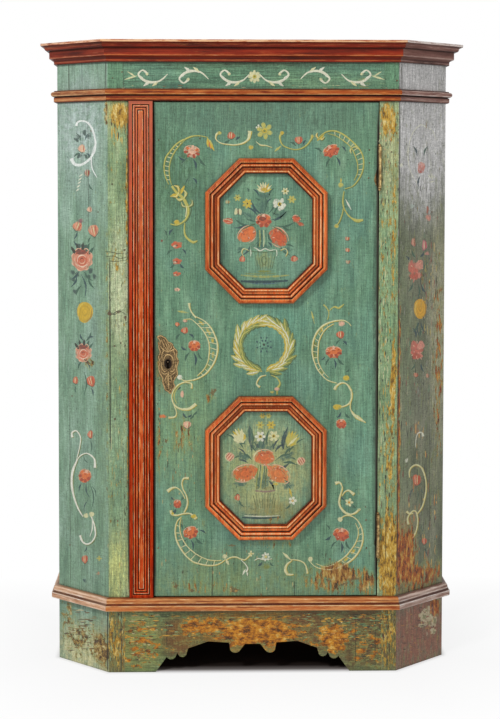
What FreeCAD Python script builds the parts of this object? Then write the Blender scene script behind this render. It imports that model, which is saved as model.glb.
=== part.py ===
# Painted farmhouse cupboard with one door and canted front corners.
# Millimetres, +Z up. The front faces -Y, the back +Y, and the origin lies on the
# floor under the middle of the whole cupboard, mouldings included.

import FreeCAD
import Part
import Sketcher
import os
import re

doc = FreeCAD.newDocument("cupboard")

# Driving dimensions
SIZES = {
    # Carcass
    "overall_high": 1800.0,
    "body_wide": 1131.0,
    "body_deep": 446.0,
    "cant_across": 154.0,
    "cant_back": 130.0,
    "wall": 22.0,
    "sill_high": 217.0,
    "frieze_high": 76.0,
    "stile_left_wide": 127.5,
    "stile_right_wide": 55.0,
    "post_left_wide": 45.5,
    "post_right_wide": 42.0,
    "cant_post_wide": 43.0,
    "top_board_thick": 22.0,
    "floor_thick": 22.0,
    "back_thick": 16.0,
    "back_cover": 11.0,
    "back_lap": 10.0,
    "back_board_bottom": 150.0,
    # Arch in the plinth board, seen from the front
    "arch_half_wide": 278.0,
    "foot_lobe_wide": 25.0,
    "foot_lobe_at": 221.0,
    "foot_lobe_up": 44.0,
    "foot_notch_up": 55.0,
    "inner_lobe_wide": 23.0,
    "inner_lobe_at": 190.0,
    "inner_lobe_up": 50.0,
    "haunch_at": 185.0,
    "haunch_up": 68.0,
    "crown_at": 128.0,
    "crown_up": 88.0,
    "pendant_at": 36.0,
    "pendant_wide": 28.0,
    "pendant_up": 62.0,
    "pendant_shoulder": 4.0,
    "middle_half_wide": 22.0,
    "middle_up": 80.0,
    "lobe_notch": 3.0,
    "lobe_fullness": 0.56,
    "pendant_fullness": 0.6,
    # Cornice
    "cornice_high": 59.0,
    "cornice_out": 46.0,
    "cornice_lip_high": 7.0,
    "cornice_fillet": 4.0,
    "cornice_ogee_round": 7.0,
    "cornice_bed_out": 9.0,
    "cornice_bed_high": 6.0,
    "cornice_cove_round": 10.0,
    "cornice_fascia_step": 3.0,
    # Moulding under the frieze
    "waist_high": 34.0,
    "waist_out": 18.0,
    "waist_torus_round": 7.0,
    "waist_top_fillet": 3.0,
    "waist_top_set_in": 2.0,
    "waist_quirk_deep": 4.0,
    "waist_quirk_high": 2.5,
    "waist_band_set_in": 8.0,
    "waist_bead_round": 5.0,
    # Moulding over the plinth
    "base_high": 36.0,
    "base_out": 21.0,
    "base_nose_round": 4.0,
    "base_cove_round": 5.0,
    "base_lower_high": 16.0,
    "base_ovolo_round": 8.0,
    "base_ovolo_set_in": 6.0,
    "mitre_waste": 1.2,
    # Reeded strip on the left stile
    "strip_wide": 68.0,
    "strip_proud": 9.0,
    "strip_border": 10.0,
    "strip_groove_wide": 2.5,
    "strip_groove_deep": 3.5,
    "strip_reed_wide": 5.0,
    # Door
    "door_gap": 3.0,
    "door_thick": 21.5,
    "door_board_left_wide": 165.0,
    "door_batten_wide": 76.0,
    "door_batten_thick": 24.0,
    "door_batten_let_in": 7.0,
    "dovetail_undercut": 4.0,
    "door_batten_end": 18.0,
    "door_batten_margin": 190.0,
    "door_stop_thick": 14.0,
    "door_stop_high": 30.0,
    "door_stop_lap": 9.0,
    # Octagonal frames on the door
    "octagon_wide": 346.0,
    "octagon_high": 410.0,
    "octagon_corner": 96.0,
    "octagon_upper_from_top": 363.0,
    "octagon_lower_from_bottom": 369.0,
    "frame_wide": 43.0,
    "frame_proud": 24.0,
    "frame_edge_high": 14.0,
    "frame_step": 2.0,
    "frame_ovolo_round": 8.0,
    "frame_crown_flat": 2.0,
    "frame_groove_wide": 3.0,
    "frame_groove_deep": 5.0,
    "frame_reed_round": 4.5,
    "frame_inner_high": 13.0,
    "frame_inner_reed_round": 4.0,
    "frame_slip_high": 9.0,
    # Hinges
    "hinge_high": 134.0,
    "hinge_barrel_round": 5.5,
    "hinge_pin_round": 3.0,
    "hinge_pin_clearance": 0.1,
    "hinge_off_face": 0.5,
    "hinge_finial_high": 9.0,
    "hinge_finial_round": 4.0,
    "hinge_finial_swell_up": 4.0,
    "hinge_finial_neck_round": 2.8,
    "hinge_finial_neck_up": 1.5,
    "hinge_finial_tip_round": 2.4,
    "hinge_finial_tip_down": 1.0,
    "hinge_cap_thick": 4.0,
    "hinge_blade_off_pin": 0.6,
    "hinge_neck_thick": 1.8,
    "hinge_neck_clearance": 0.4,
    "hinge_blade_long": 38.0,
    "hinge_blade_thick": 2.0,
    "hinge_blade_in": 7.0,
    "hinge_blade_clearance": 0.15,
    "hinge_part_line": 0.4,
    "hinge_upper_from_top": 183.0,
    "hinge_lower_from_bottom": 175.0,
    # Lock
    "keyhole_from_edge": 39.0,
    "keyhole_above_door_bottom": 672.0,
    "keyhole_round": 6.5,
    "keyhole_slot_wide": 7.0,
    "keyhole_slot_down": 19.0,
    "lock_wide": 92.0,
    "lock_below": 45.0,
    "lock_above": 55.0,
    "lock_deep": 20.0,
    "lock_wall": 1.5,
    "lock_from_edge": 2.5,
    "lock_flange": 10.0,
    "bolt_high": 22.0,
    "bolt_thick": 8.0,
    "bolt_long": 62.0,
    "bolt_above_keyhole": 30.0,
    "bolt_behind_stile": 5.0,
    "bolt_clearance": 0.35,
    "bolt_guide_thick": 3.0,
    "bolt_throw": 18.0,
    "drill_pin_round": 2.5,
    "drill_pin_short_of_face": 3.0,
    "keeper_wide": 16.0,
    "keeper_from_edge": 4.0,
    "keeper_wall": 4.0,
    "keeper_slack": 2.0,
    # Keyhole plate and small nails
    "plate_thick": 1.6,
    "plate_half_wide": 25.5,
    "plate_up": 73.0,
    "plate_down": 89.0,
    "plate_shoulder_up": 44.0,
    "plate_shoulder_half": 17.0,
    "plate_waist_down": 44.0,
    "plate_waist_half": 15.0,
    "plate_side_bow": 1.6,
    "plate_point_bow": 2.2,
    "plate_rim_wide": 3.0,
    "plate_rim_proud": 2.0,
    "plate_nail_up": 52.0,
    "plate_nail_down": 62.0,
    "nail_round": 1.2,
    "nail_long": 9.0,
    "nail_head_round": 2.8,
    "nail_head_high": 1.2,
    # Shelves and what carries them
    "shelf_thick": 20.0,
    "shelf_set_back": 74.0,
    "shelf_clearance": 1.0,
    "shelf_lower_up": 560.0,
    "shelf_middle_up": 905.0,
    "shelf_upper_up": 1250.0,
    "batten_high": 34.0,
    "batten_thick": 22.0,
    "batten_end": 12.0,
}

# Dimensions that follow from the driving ones
FOLLOWING = {
    "half_body": "body_wide / 2",
    "half_front": "half_body - cant_across",
    "cant_run": "sqrt(cant_across * cant_across + cant_back * cant_back)",
    "side_run": "body_deep - cant_back",
    "front_run": "2 * half_front",
    "mitre_front": "(cant_run - cant_across) / cant_back",
    "mitre_side": "(cant_run - cant_back) / cant_across",
    "mitre_octagon": "sqrt(2) - 1",
    "back_at": "(body_deep + cornice_out) / 2",
    "front_at": "back_at - body_deep",
    "wall_top": "overall_high - top_board_thick",
    "cornice_bottom": "overall_high - cornice_high",
    "waist_top": "cornice_bottom - frieze_high",
    "waist_bottom": "waist_top - waist_high",
    "base_bottom": "sill_high - base_high",
    "stile_left_edge": "stile_left_wide - half_front",
    "stile_right_edge": "half_front - stile_right_wide",
    "door_left": "stile_left_edge + door_gap",
    "door_right": "stile_right_edge - door_gap",
    "door_middle": "(door_left + door_right) / 2",
    "door_board_wide": "(door_right - door_left - door_board_left_wide) / 2",
    "door_bottom": "sill_high + door_gap",
    "door_top": "waist_bottom - door_gap",
    "keyhole_x": "door_left + keyhole_from_edge",
    "keyhole_z": "door_bottom + keyhole_above_door_bottom",
    "hinge_off": "hinge_barrel_round + hinge_off_face",
    "hinge_half": "hinge_high / 2",
    "hinge_leaf_high": "hinge_half - hinge_finial_high",
    "hinge_upper_z": "door_top - hinge_upper_from_top",
    "hinge_lower_z": "door_bottom + hinge_lower_from_bottom",
    "blade_front": "hinge_off + hinge_blade_in",
    "octagon_upper_z": "door_top - octagon_upper_from_top",
    "octagon_lower_z": "door_bottom + octagon_lower_from_bottom",
    "frame_crown_edge": "frame_wide - frame_step - frame_ovolo_round - frame_crown_flat",
    "lock_left": "door_left + lock_from_edge",
    "lock_right": "lock_left + lock_wide",
    "lock_bottom": "keyhole_z - lock_below",
    "lock_top": "keyhole_z + lock_above",
    "lock_back": "door_thick + lock_deep",
    "bolt_z": "keyhole_z + bolt_above_keyhole",
    "bolt_front": "wall + bolt_behind_stile",
    "keeper_right": "stile_left_edge - keeper_from_edge",
    "inner_half_front": "half_front - wall * mitre_front",
    "inner_half_body": "half_body - wall",
    "inner_corner_y": "cant_back + wall * mitre_side",
    "back_board_front": "body_deep - back_thick",
    "back_half": "half_body - back_cover",
    "back_board_wide": "back_half / 2",
    "shelf_half_front": "inner_half_front + (shelf_set_back - wall) * cant_across / cant_back",
}

sheet = doc.addObject("Spreadsheet::Sheet", "Sizes")
row = 0
for alias, number in SIZES.items():
    row += 1
    sheet.set("A%d" % row, alias)
    sheet.set("B%d" % row, str(number))
    sheet.setAlias("B%d" % row, alias)
for alias, formula in FOLLOWING.items():
    row += 1
    sheet.set("A%d" % row, alias)
    sheet.set("B%d" % row, "=" + formula)
    sheet.setAlias("B%d" % row, alias)
doc.recompute()

subparts = []


def cells(formula):
    """Writes a formula of plain size names as one that reads the sheet's cells."""
    def name_in_sheet(match):
        word = match.group(0)
        return "Sizes." + word if word in SIZES or word in FOLLOWING else word
    return re.sub(r"[a-z][a-z_]*", name_in_sheet, str(formula))


def size(formula):
    """The number that a formula of size names gives."""
    return float(sheet.evalExpression(cells(formula)))


def plane(body, role):
    """One of a body's own three origin planes."""
    for feature in body.Origin.OriginFeatures:
        if feature.Role == role:
            return feature
    raise ValueError(role)


def body_at(name, x="0", y="0", z="0", turn=0.0):
    """A new body whose local frame stands at x, y, z, turned about Z by turn degrees."""
    body = doc.addObject("PartDesign::Body", name)
    body.Label = name
    body.Placement = FreeCAD.Placement(
        FreeCAD.Vector(size(x), size(y), size(z)),
        FreeCAD.Rotation(FreeCAD.Vector(0, 0, 1), turn),
    )
    for axis, formula in zip("xyz", (x, y, z)):
        body.setExpression("Placement.Base." + axis, cells(formula))
    return body


def sketch_on(body, role, offset="0"):
    """An empty sketch on a plane of the body, moved along that plane's normal."""
    sketch = body.newObject("Sketcher::SketchObject", body.Name + "_sketch")
    sketch.AttachmentSupport = (plane(body, role), [""])
    sketch.MapMode = "FlatFace"
    sketch.setExpression("AttachmentOffset.Base.z", cells(offset))
    return sketch


def tie(sketch, kind, geometry, point, formula):
    """Ties one coordinate of a sketch point to a formula of size names."""
    number = sketch.addConstraint(
        Sketcher.Constraint(kind, -1, 1, geometry, point, size(formula)))
    sketch.setExpression("Constraints[%d]" % number, cells(formula))


def arc_between(start, end, radius, turn):
    """The arc from start to end that bulges to the right of its way for turn +1."""
    chord = end - start
    half = chord.Length / 2
    across = FreeCAD.Vector(-chord.y, chord.x, 0).normalize()
    reach = max(radius * radius - half * half, 0.0) ** 0.5
    centre = (start + end) / 2 + across * reach * turn
    x_axis = FreeCAD.Vector(1, 0, 0)
    up = FreeCAD.Vector(0, 0, 1)

    def angle_of(point):
        ray = point - centre
        angle = x_axis.getAngle(ray)
        return angle if ray.y >= 0 else -angle
    first, last = (start, end) if turn > 0 else (end, start)
    return Part.ArcOfCircle(Part.Circle(centre, up, radius), angle_of(first), angle_of(last))


def outline(sketch, points):
    """Draws a closed outline. A point is (u, v) where a straight line follows, or
    (u, v, radius, turn) where an arc follows. Each value is a formula of size names."""
    corners = [FreeCAD.Vector(size(point[0]), size(point[1]), 0) for point in points]
    count = len(points)
    ends = []
    for index, point in enumerate(points):
        start = corners[index]
        end = corners[(index + 1) % count]
        if len(point) == 2:
            number = sketch.addGeometry(Part.LineSegment(start, end), False)
            ends.append((number, 1, 2))
            continue
        turn = point[3]
        number = sketch.addGeometry(arc_between(start, end, size(point[2]), turn), False)
        ends.append((number, 1, 2) if turn > 0 else (number, 2, 1))
    for index in range(count):
        number, first, last = ends[index]
        following = ends[(index + 1) % count]
        sketch.addConstraint(
            Sketcher.Constraint("Coincident", number, last, following[0], following[1]))
    for index, point in enumerate(points):
        number, first, last = ends[index]
        tie(sketch, "DistanceX", number, first, point[0])
        tie(sketch, "DistanceY", number, first, point[1])
        if len(point) == 4:
            radius = sketch.addConstraint(
                Sketcher.Constraint("Radius", number, size(point[2])))
            sketch.setExpression("Constraints[%d]" % radius, cells(point[2]))


def rectangle(sketch, left, bottom, right, top):
    """Draws a rectangle between two opposite corners."""
    outline(sketch, [(left, bottom), (right, bottom), (right, top), (left, top)])


def circle(sketch, u, v, radius):
    """Draws a circle about u, v."""
    centre = FreeCAD.Vector(size(u), size(v), 0)
    number = sketch.addGeometry(
        Part.Circle(centre, FreeCAD.Vector(0, 0, 1), size(radius)), False)
    tie(sketch, "DistanceX", number, 3, u)
    tie(sketch, "DistanceY", number, 3, v)
    constraint = sketch.addConstraint(Sketcher.Constraint("Radius", number, size(radius)))
    sketch.setExpression("Constraints[%d]" % constraint, cells(radius))


def feature(kind, body, sketch, length, backwards, both_ways):
    """A pad or pocket of the sketch."""
    made = body.newObject("PartDesign::" + kind, body.Name + "_" + kind.lower())
    made.Profile = sketch
    made.Type = "Length"
    made.Reversed = backwards
    made.Midplane = both_ways
    made.setExpression("Length", cells(length))
    sketch.Visibility = False
    return made


def pad(body, sketch, length, backwards=False, both_ways=False):
    """Adds material along the sketch's normal, or against it."""
    return feature("Pad", body, sketch, length, backwards, both_ways)


def pocket(body, sketch, length, backwards=False, both_ways=False):
    """Cuts material against the sketch's normal, or along it."""
    return feature("Pocket", body, sketch, length, backwards, both_ways)


def revolve(body, sketch):
    """Turns the sketch on the front plane about the body's own upright axis."""
    made = body.newObject("PartDesign::Revolution", body.Name + "_turned")
    made.Profile = sketch
    made.ReferenceAxis = (sketch, ["V_Axis"])
    made.Angle = 360.0
    return made


def keep(thing, label=None):
    """Lists a finished piece among those that are written out."""
    if label:
        thing.Label = label
    subparts.append(thing)
    return thing


def group(label, pieces):
    """Several like pieces that share one name."""
    compound = doc.addObject("Part::Compound", label)
    compound.Links = pieces
    return keep(compound, label)


def board(name, corners, height, x="0", y="0", z="0", turn=0.0):
    """A board drawn in plan and raised by its height."""
    body = body_at(name, x, y, z, turn)
    sketch = sketch_on(body, "XY_Plane")
    outline(sketch, corners)
    pad(body, sketch, height)
    return body


def block(name, left, right, front, behind, bottom, top, y="front_at"):
    """A square-edged piece between three pairs of faces."""
    corners = [(left, front), (right, front), (right, behind), (left, behind)]
    return board(name, corners, "%s - (%s)" % (top, bottom), y=y, z=bottom)


cant_turn = FreeCAD.Units.Quantity(size("atan(cant_back / cant_across)")).Value

# The five faces round the front, from the back left corner to the back right one.
# Each runs from left to right as seen from outside, along its local X.
FACES = {
    "side_left": ("-half_body", "back_at", -90.0, "side_run", None, "mitre_side"),
    "cant_left": ("-half_body", "front_at + cant_back", -cant_turn, "cant_run",
                  "mitre_side", "mitre_front"),
    "front": ("-half_front", "front_at", 0.0, "front_run", "mitre_front", "mitre_front"),
    "cant_right": ("half_front", "front_at", cant_turn, "cant_run",
                   "mitre_front", "mitre_side"),
    "side_right": ("half_body", "front_at + cant_back", 90.0, "side_run",
                   "mitre_side", None),
}


# Walls, stiles and boards of the carcass
def side_wall(side):
    """A side board to the floor, rebated at the back for the back boards."""
    x, y, turn = FACES["side_" + side][:3]
    if side == "left":
        corners = [
            ("0", "0"), ("side_run", "0"), ("side_run - wall * mitre_side", "wall"),
            ("back_thick", "wall"), ("back_thick", "back_cover"), ("0", "back_cover"),
        ]
    else:
        corners = [
            ("0", "0"), ("side_run", "0"), ("side_run", "back_cover"),
            ("side_run - back_thick", "back_cover"), ("side_run - back_thick", "wall"),
            ("wall * mitre_side", "wall"),
        ]
    return keep(board("side_wall_" + side, corners, "wall_top", x, y, "0", turn))


def cant_wall(side):
    """A canted corner board, cut away at the top for its piece of the frieze."""
    x, y, turn, run, start, end = FACES["cant_" + side]
    corners = [
        ("0", "0"), (run, "0"), ("%s - wall * %s" % (run, end), "wall"),
        ("wall * " + start, "wall"),
    ]
    body = board("cant_board_" + side, corners, "wall_top", x, y, "0", turn)
    notch = sketch_on(body, "XZ_Plane")
    if side == "left":
        rectangle(notch, "cant_post_wide", "waist_bottom", "cant_run + wall", "overall_high")
        frieze = [
            ("cant_post_wide", "0"), ("cant_run", "0"),
            ("cant_run - wall * mitre_front", "wall"), ("cant_post_wide", "wall"),
        ]
    else:
        rectangle(notch, "-wall", "waist_bottom", "cant_run - cant_post_wide", "overall_high")
        frieze = [
            ("0", "0"), ("cant_run - cant_post_wide", "0"),
            ("cant_run - cant_post_wide", "wall"), ("wall * mitre_front", "wall"),
        ]
    pocket(body, notch, "3 * wall", both_ways=True)
    keep(body)
    keep(board("cant_frieze_" + side, frieze, "wall_top - waist_bottom",
               x, y, "waist_bottom", turn))


def stile(side, wide, post, blade_z):
    """A front stile to the floor, with a narrower post beside the plinth and the frieze."""
    sign = "-" if side == "left" else ""
    outer = sign + "half_front"
    inner = "%s(half_front - %s)" % (sign, wide)
    shoulder = "%s(half_front - %s)" % (sign, post)
    beyond = "%s(half_front - %s - 2 * wall)" % (sign, wide)
    corners = [(outer, "0"), (inner, "0"), (inner, "wall"), (sign + "inner_half_front", "wall")]
    body = board("stile_" + side, corners, "wall_top", y="front_at")
    ends = sketch_on(body, "XZ_Plane")
    rectangle(ends, beyond, "-wall", shoulder, "sill_high")
    rectangle(ends, beyond, "waist_bottom", shoulder, "overall_high")
    pocket(body, ends, "3 * wall", both_ways=True)
    if blade_z:
        blade_slots(body, "stile_right_edge", "+", "-", blade_z)
    return keep(body)


def blade_slots(body, edge, into, along, hinges):
    """Slots in an upright edge for the hinge blades: into gives the side where the
    wood is, and along the half of the hinge, above or below its part line."""
    front = "-(blade_front - hinge_off - hinge_blade_clearance)"
    slots = sketch_on(body, "XZ_Plane", front)
    inner = "%s %s (hinge_blade_long + hinge_blade_clearance)" % ("stile_right_edge", into)
    outer = "%s %s (-2 * hinge_neck_thick)" % (edge, into)
    for hinge in hinges:
        near = "%s %s (hinge_part_line - hinge_blade_clearance)" % (hinge, along)
        far = "%s %s (hinge_leaf_high + hinge_blade_clearance)" % (hinge, along)
        rectangle(slots, outer, near, inner, far)
    pocket(body, slots, "hinge_blade_thick + 2 * hinge_blade_clearance")


def plinth_front():
    """The plinth board between the posts, sawn below into feet, lobes and pendants."""
    body = body_at("plinth_front", y="front_at")
    elevation = sketch_on(body, "XZ_Plane")
    left = "post_left_wide - half_front"
    right = "half_front - post_right_wide"
    arch = [
        ("arch_half_wide", "0"),
        ("foot_lobe_at + foot_lobe_wide", "foot_lobe_up"),
        ("foot_lobe_at", "foot_lobe_up"),
        ("inner_lobe_at + inner_lobe_wide + lobe_notch", "foot_notch_up"),
        ("inner_lobe_at + inner_lobe_wide", "inner_lobe_up"),
        ("inner_lobe_at", "inner_lobe_up"),
        ("haunch_at", "haunch_up"),
        ("crown_at", "crown_up"),
        ("pendant_at + pendant_wide + pendant_shoulder", "crown_up - pendant_shoulder"),
        ("pendant_at + pendant_wide", "pendant_up"),
        ("pendant_at", "pendant_up"),
        ("middle_half_wide", "middle_up"),
    ]
    # The rounded ends: the arch point where each starts, seen from its foot, and its radius
    rounds = {
        1: "lobe_fullness * foot_lobe_wide",
        4: "lobe_fullness * inner_lobe_wide",
        9: "pendant_fullness * pendant_wide",
    }
    points = [(right, "sill_high"), (left, "sill_high"), (left, "0")]
    for index, (across, up) in enumerate(arch):
        rounded = (rounds[index], 1) if index in rounds else ()
        points.append(("-(%s)" % across, up) + rounded)
    for index in reversed(range(len(arch))):
        rounded = (rounds[index - 1], 1) if index - 1 in rounds else ()
        points.append(arch[index] + rounded)
    points.append((right, "0"))
    outline(elevation, points)
    pad(body, elevation, "wall", backwards=True)
    return keep(body)


side_wall("left")
side_wall("right")
cant_wall("left")
cant_wall("right")
HINGES = ("hinge_upper_z", "hinge_lower_z")
stile("left", "stile_left_wide", "post_left_wide", None)
stile("right", "stile_right_wide", "post_right_wide", HINGES)
plinth_front()
keep(block("frieze_front", "post_left_wide - half_front", "half_front - post_right_wide",
           "0", "wall", "waist_bottom", "wall_top"))
keep(board("top_board", [
    ("-half_front", "0"), ("half_front", "0"), ("half_body", "cant_back"),
    ("half_body", "body_deep"), ("-half_body", "body_deep"), ("-half_body", "cant_back"),
], "top_board_thick", y="front_at", z="wall_top"))
keep(board("floor_board", [
    ("-inner_half_front", "wall"), ("inner_half_front", "wall"),
    ("inner_half_body", "inner_corner_y"), ("inner_half_body", "back_board_front"),
    ("-inner_half_body", "back_board_front"), ("-inner_half_body", "inner_corner_y"),
], "floor_thick", y="front_at", z="sill_high - floor_thick"))


def back_board(number):
    """One of the four upright back boards, half-lapped over its neighbours."""
    left = "-back_half + %d * back_board_wide" % (number - 1)
    right = "-back_half + %d * back_board_wide" % number
    middle = "back_board_front + back_thick / 2"
    left_lap = " + back_lap / 2" if number > 1 else ""
    right_lap = " + back_lap / 2" if number < 4 else ""
    left_under = " - back_lap / 2" if number > 1 else ""
    right_under = " - back_lap / 2" if number < 4 else ""
    corners = [
        (left + left_lap, "back_board_front"),
        (right + right_lap, "back_board_front"),
        (right + right_lap, middle),
        (right + right_under, middle),
        (right + right_under, "body_deep"),
        (left + left_under, "body_deep"),
        (left + left_under, middle),
        (left + left_lap, middle),
    ]
    if number == 1:
        corners = corners[:6]
    if number == 4:
        corners = corners[:2] + corners[4:]
    keep(board("back_board_%d" % number, corners, "wall_top - back_board_bottom",
               y="front_at", z="back_board_bottom"))


for number in (1, 2, 3, 4):
    back_board(number)


# Shelves, each on two battens, and the battens under the floor board
def shelf(name, up):
    """A shelf between the side walls, behind the door's own battens."""
    keep(board("shelf_" + name, [
        ("-shelf_half_front + shelf_clearance", "shelf_set_back"),
        ("shelf_half_front - shelf_clearance", "shelf_set_back"),
        ("inner_half_body - shelf_clearance", "inner_corner_y"),
        ("inner_half_body - shelf_clearance", "back_board_front"),
        ("-inner_half_body + shelf_clearance", "back_board_front"),
        ("-inner_half_body + shelf_clearance", "inner_corner_y"),
    ], "shelf_thick", y="front_at", z=up + " - shelf_thick"))
    batten_pair("shelf_battens_" + name, up + " - shelf_thick")


def batten_pair(label, top):
    """Two battens nailed to the side walls under what they carry."""
    front = "inner_corner_y + batten_end"
    behind = "back_board_front - batten_end"
    bottom = top + " - batten_high"
    left = block(label + "_left", "-inner_half_body", "-inner_half_body + batten_thick",
                 front, behind, bottom, top)
    right = block(label + "_right", "inner_half_body - batten_thick", "inner_half_body",
                  front, behind, bottom, top)
    group(label, [left, right])


shelf("lower", "shelf_lower_up")
shelf("middle", "shelf_middle_up")
shelf("upper", "shelf_upper_up")
batten_pair("floor_battens", "sill_high - floor_thick")

# Moulding profiles: u is the distance out from the wall, v the height above its foot
CORNICE = [
    ("0", "0"),
    ("cornice_bed_out", "0"),
    ("cornice_bed_out", "cornice_bed_high", "cornice_cove_round", -1),
    ("cornice_bed_out + cornice_cove_round", "cornice_bed_high + cornice_cove_round"),
    ("cornice_bed_out + cornice_cove_round + cornice_fascia_step",
     "cornice_bed_high + cornice_cove_round"),
    ("cornice_bed_out + cornice_cove_round + cornice_fascia_step",
     "cornice_high - cornice_lip_high - 2 * cornice_ogee_round"),
    ("cornice_out - cornice_fillet - 2 * cornice_ogee_round",
     "cornice_high - cornice_lip_high - 2 * cornice_ogee_round", "cornice_ogee_round", 1),
    ("cornice_out - cornice_fillet - cornice_ogee_round",
     "cornice_high - cornice_lip_high - cornice_ogee_round", "cornice_ogee_round", -1),
    ("cornice_out - cornice_fillet", "cornice_high - cornice_lip_high"),
    ("cornice_out", "cornice_high - cornice_lip_high"),
    ("cornice_out", "cornice_high"),
    ("0", "cornice_high"),
]
WAIST_BAND = "waist_high - waist_top_fillet - 2 * waist_torus_round - waist_quirk_high"
WAIST = [
    ("0", "0"),
    ("waist_out - waist_band_set_in - waist_bead_round", "0", "waist_bead_round", 1),
    ("waist_out - waist_band_set_in", "waist_bead_round"),
    ("waist_out - waist_band_set_in", WAIST_BAND),
    ("waist_out - waist_band_set_in - waist_quirk_deep", WAIST_BAND),
    ("waist_out - waist_band_set_in - waist_quirk_deep", WAIST_BAND + " + waist_quirk_high"),
    ("waist_out - waist_torus_round", WAIST_BAND + " + waist_quirk_high",
     "waist_torus_round", 1),
    ("waist_out", WAIST_BAND + " + waist_quirk_high + waist_torus_round",
     "waist_torus_round", 1),
    ("waist_out - waist_torus_round", "waist_high - waist_top_fillet"),
    ("waist_out - waist_torus_round - waist_top_set_in", "waist_high - waist_top_fillet"),
    ("waist_out - waist_torus_round - waist_top_set_in", "waist_high"),
    ("0", "waist_high"),
]
BASE = [
    ("0", "0"),
    ("base_out - base_nose_round", "0", "base_nose_round", 1),
    ("base_out", "base_nose_round"),
    ("base_out", "base_lower_high", "base_cove_round", -1),
    ("base_out - base_cove_round", "base_lower_high + base_cove_round"),
    ("base_out - base_ovolo_set_in", "base_lower_high + base_cove_round"),
    ("base_out - base_ovolo_set_in", "base_high - base_ovolo_round", "base_ovolo_round", 1),
    ("base_out - base_ovolo_set_in - base_ovolo_round", "base_high"),
    ("0", "base_high"),
]


def mitred_run(body, profile, run, out, high, start, end):
    """A length of moulding along the body's X with its back on the XZ plane, mitred
    where start or end gives the tangent of half the turn, and square where it is None."""
    start_reach = "%s * %s" % (out, start) if start else "0"
    end_reach = "%s * %s" % (out, end) if end else "0"
    section = sketch_on(body, "YZ_Plane", "-(%s)" % start_reach)
    turned = []
    for point in profile:
        values = ("-(%s)" % point[0], point[1])
        turned.append(values + ((point[2], -point[3]) if len(point) == 4 else ()))
    outline(section, turned)
    pad(body, section, "%s + %s + %s" % (run, start_reach, end_reach))
    for slope, corner, sign in ((start, "0", "-"), (end, run, "+")):
        if slope:
            waste = sketch_on(body, "XY_Plane", "-" + high)
            tip = "%s %s mitre_waste * %s * %s" % (corner, sign, out, slope)
            outline(waste, [(corner, "0"), (tip, "-mitre_waste * %s" % out), (tip, "0")])
            pocket(body, waste, "3 * " + high, backwards=True)
    return body


def moulding_round(name, profile, out, high, bottom):
    """The five mitred lengths of one moulding round the front and the sides."""
    for face, (x, y, turn, run, start, end) in FACES.items():
        body = body_at(name + "_" + face, x, y, bottom, turn)
        keep(mitred_run(body, profile, run, out, high, start, end))


moulding_round("cornice", CORNICE, "cornice_out", "cornice_high", "cornice_bottom")
moulding_round("waist_moulding", WAIST, "waist_out", "waist_high", "waist_bottom")
moulding_round("base_moulding", BASE, "base_out", "base_high", "base_bottom")


# Reeded strip on the left stile, its reeds mitred into frames one inside the other
def reeded_strip():
    body = body_at("reeded_strip", "stile_left_edge", "front_at", "sill_high")
    face = sketch_on(body, "XZ_Plane")
    rectangle(face, "-strip_wide", "0", "0", "waist_bottom - sill_high")
    pad(body, face, "strip_proud")
    inset = "strip_border"
    for reed in range(3):
        grooves = sketch_on(body, "XZ_Plane", "strip_proud")
        outer = inset
        inner = inset + " + strip_groove_wide"
        for margin in (outer, inner):
            rectangle(grooves, "-strip_wide + " + margin, margin, "-(%s)" % margin,
                      "waist_bottom - sill_high - (%s)" % margin)
        pocket(body, grooves, "strip_groove_deep")
        inset = inner + " + strip_reed_wide"
    return keep(body)


reeded_strip()


# Door of three boards held flat by two dovetailed battens
def door_board(name, left, right):
    """One upright board of the door, with the dovetailed housings for the battens."""
    corners = [(left, "0"), (right, "0"), (right, "door_thick"), (left, "door_thick")]
    body = board("door_board_" + name, corners, "door_top - door_bottom",
                 y="front_at", z="door_bottom")
    housings = sketch_on(body, "YZ_Plane")
    for middle in BATTEN_HEIGHTS:
        outline(housings, dovetail(middle, "door_thick", "door_thick + wall"))
    pocket(body, housings, "6 * half_body", both_ways=True)
    return body


def dovetail(middle, face, behind):
    """The dovetailed section of a batten about its middle height above the door's foot:
    it widens from the door's back face into the wood."""
    floor = "door_thick - door_batten_let_in"
    narrow = "door_batten_wide / 2 - dovetail_undercut"
    wide = "door_batten_wide / 2"
    return [
        (floor, "%s - %s" % (middle, wide)),
        (face, "%s - (%s)" % (middle, narrow)),
        (behind, "%s - (%s)" % (middle, narrow)),
        (behind, "%s + %s" % (middle, narrow)),
        (face, "%s + %s" % (middle, narrow)),
        (floor, "%s + %s" % (middle, wide)),
    ]


BATTEN_HEIGHTS = ("door_batten_margin", "door_top - door_bottom - door_batten_margin")


def door_batten(name, middle):
    """A batten across the back of the door, driven into its housing."""
    body = body_at("door_batten_" + name, "door_left + door_batten_end", "front_at",
                   "door_bottom")
    section = sketch_on(body, "YZ_Plane")
    behind = "door_thick - door_batten_let_in + door_batten_thick"
    outline(section, dovetail(middle, "door_thick", behind))
    pad(body, section, "door_right - door_left - 2 * door_batten_end")
    return keep(body)


def keyhole(sketch, up):
    """A round hole with a slot below it, about keyhole_x and a height."""
    half = "keyhole_slot_wide / 2"
    join = "sqrt(keyhole_round * keyhole_round - keyhole_slot_wide * keyhole_slot_wide / 4)"
    outline(sketch, [
        ("keyhole_x - " + half, "%s - keyhole_slot_down" % up),
        ("keyhole_x + " + half, "%s - keyhole_slot_down" % up),
        ("keyhole_x + " + half, "%s - %s" % (up, join), "keyhole_round", 1),
        ("keyhole_x", "%s + keyhole_round" % up, "keyhole_round", 1),
        ("keyhole_x - " + half, "%s - %s" % (up, join)),
    ])


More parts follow.
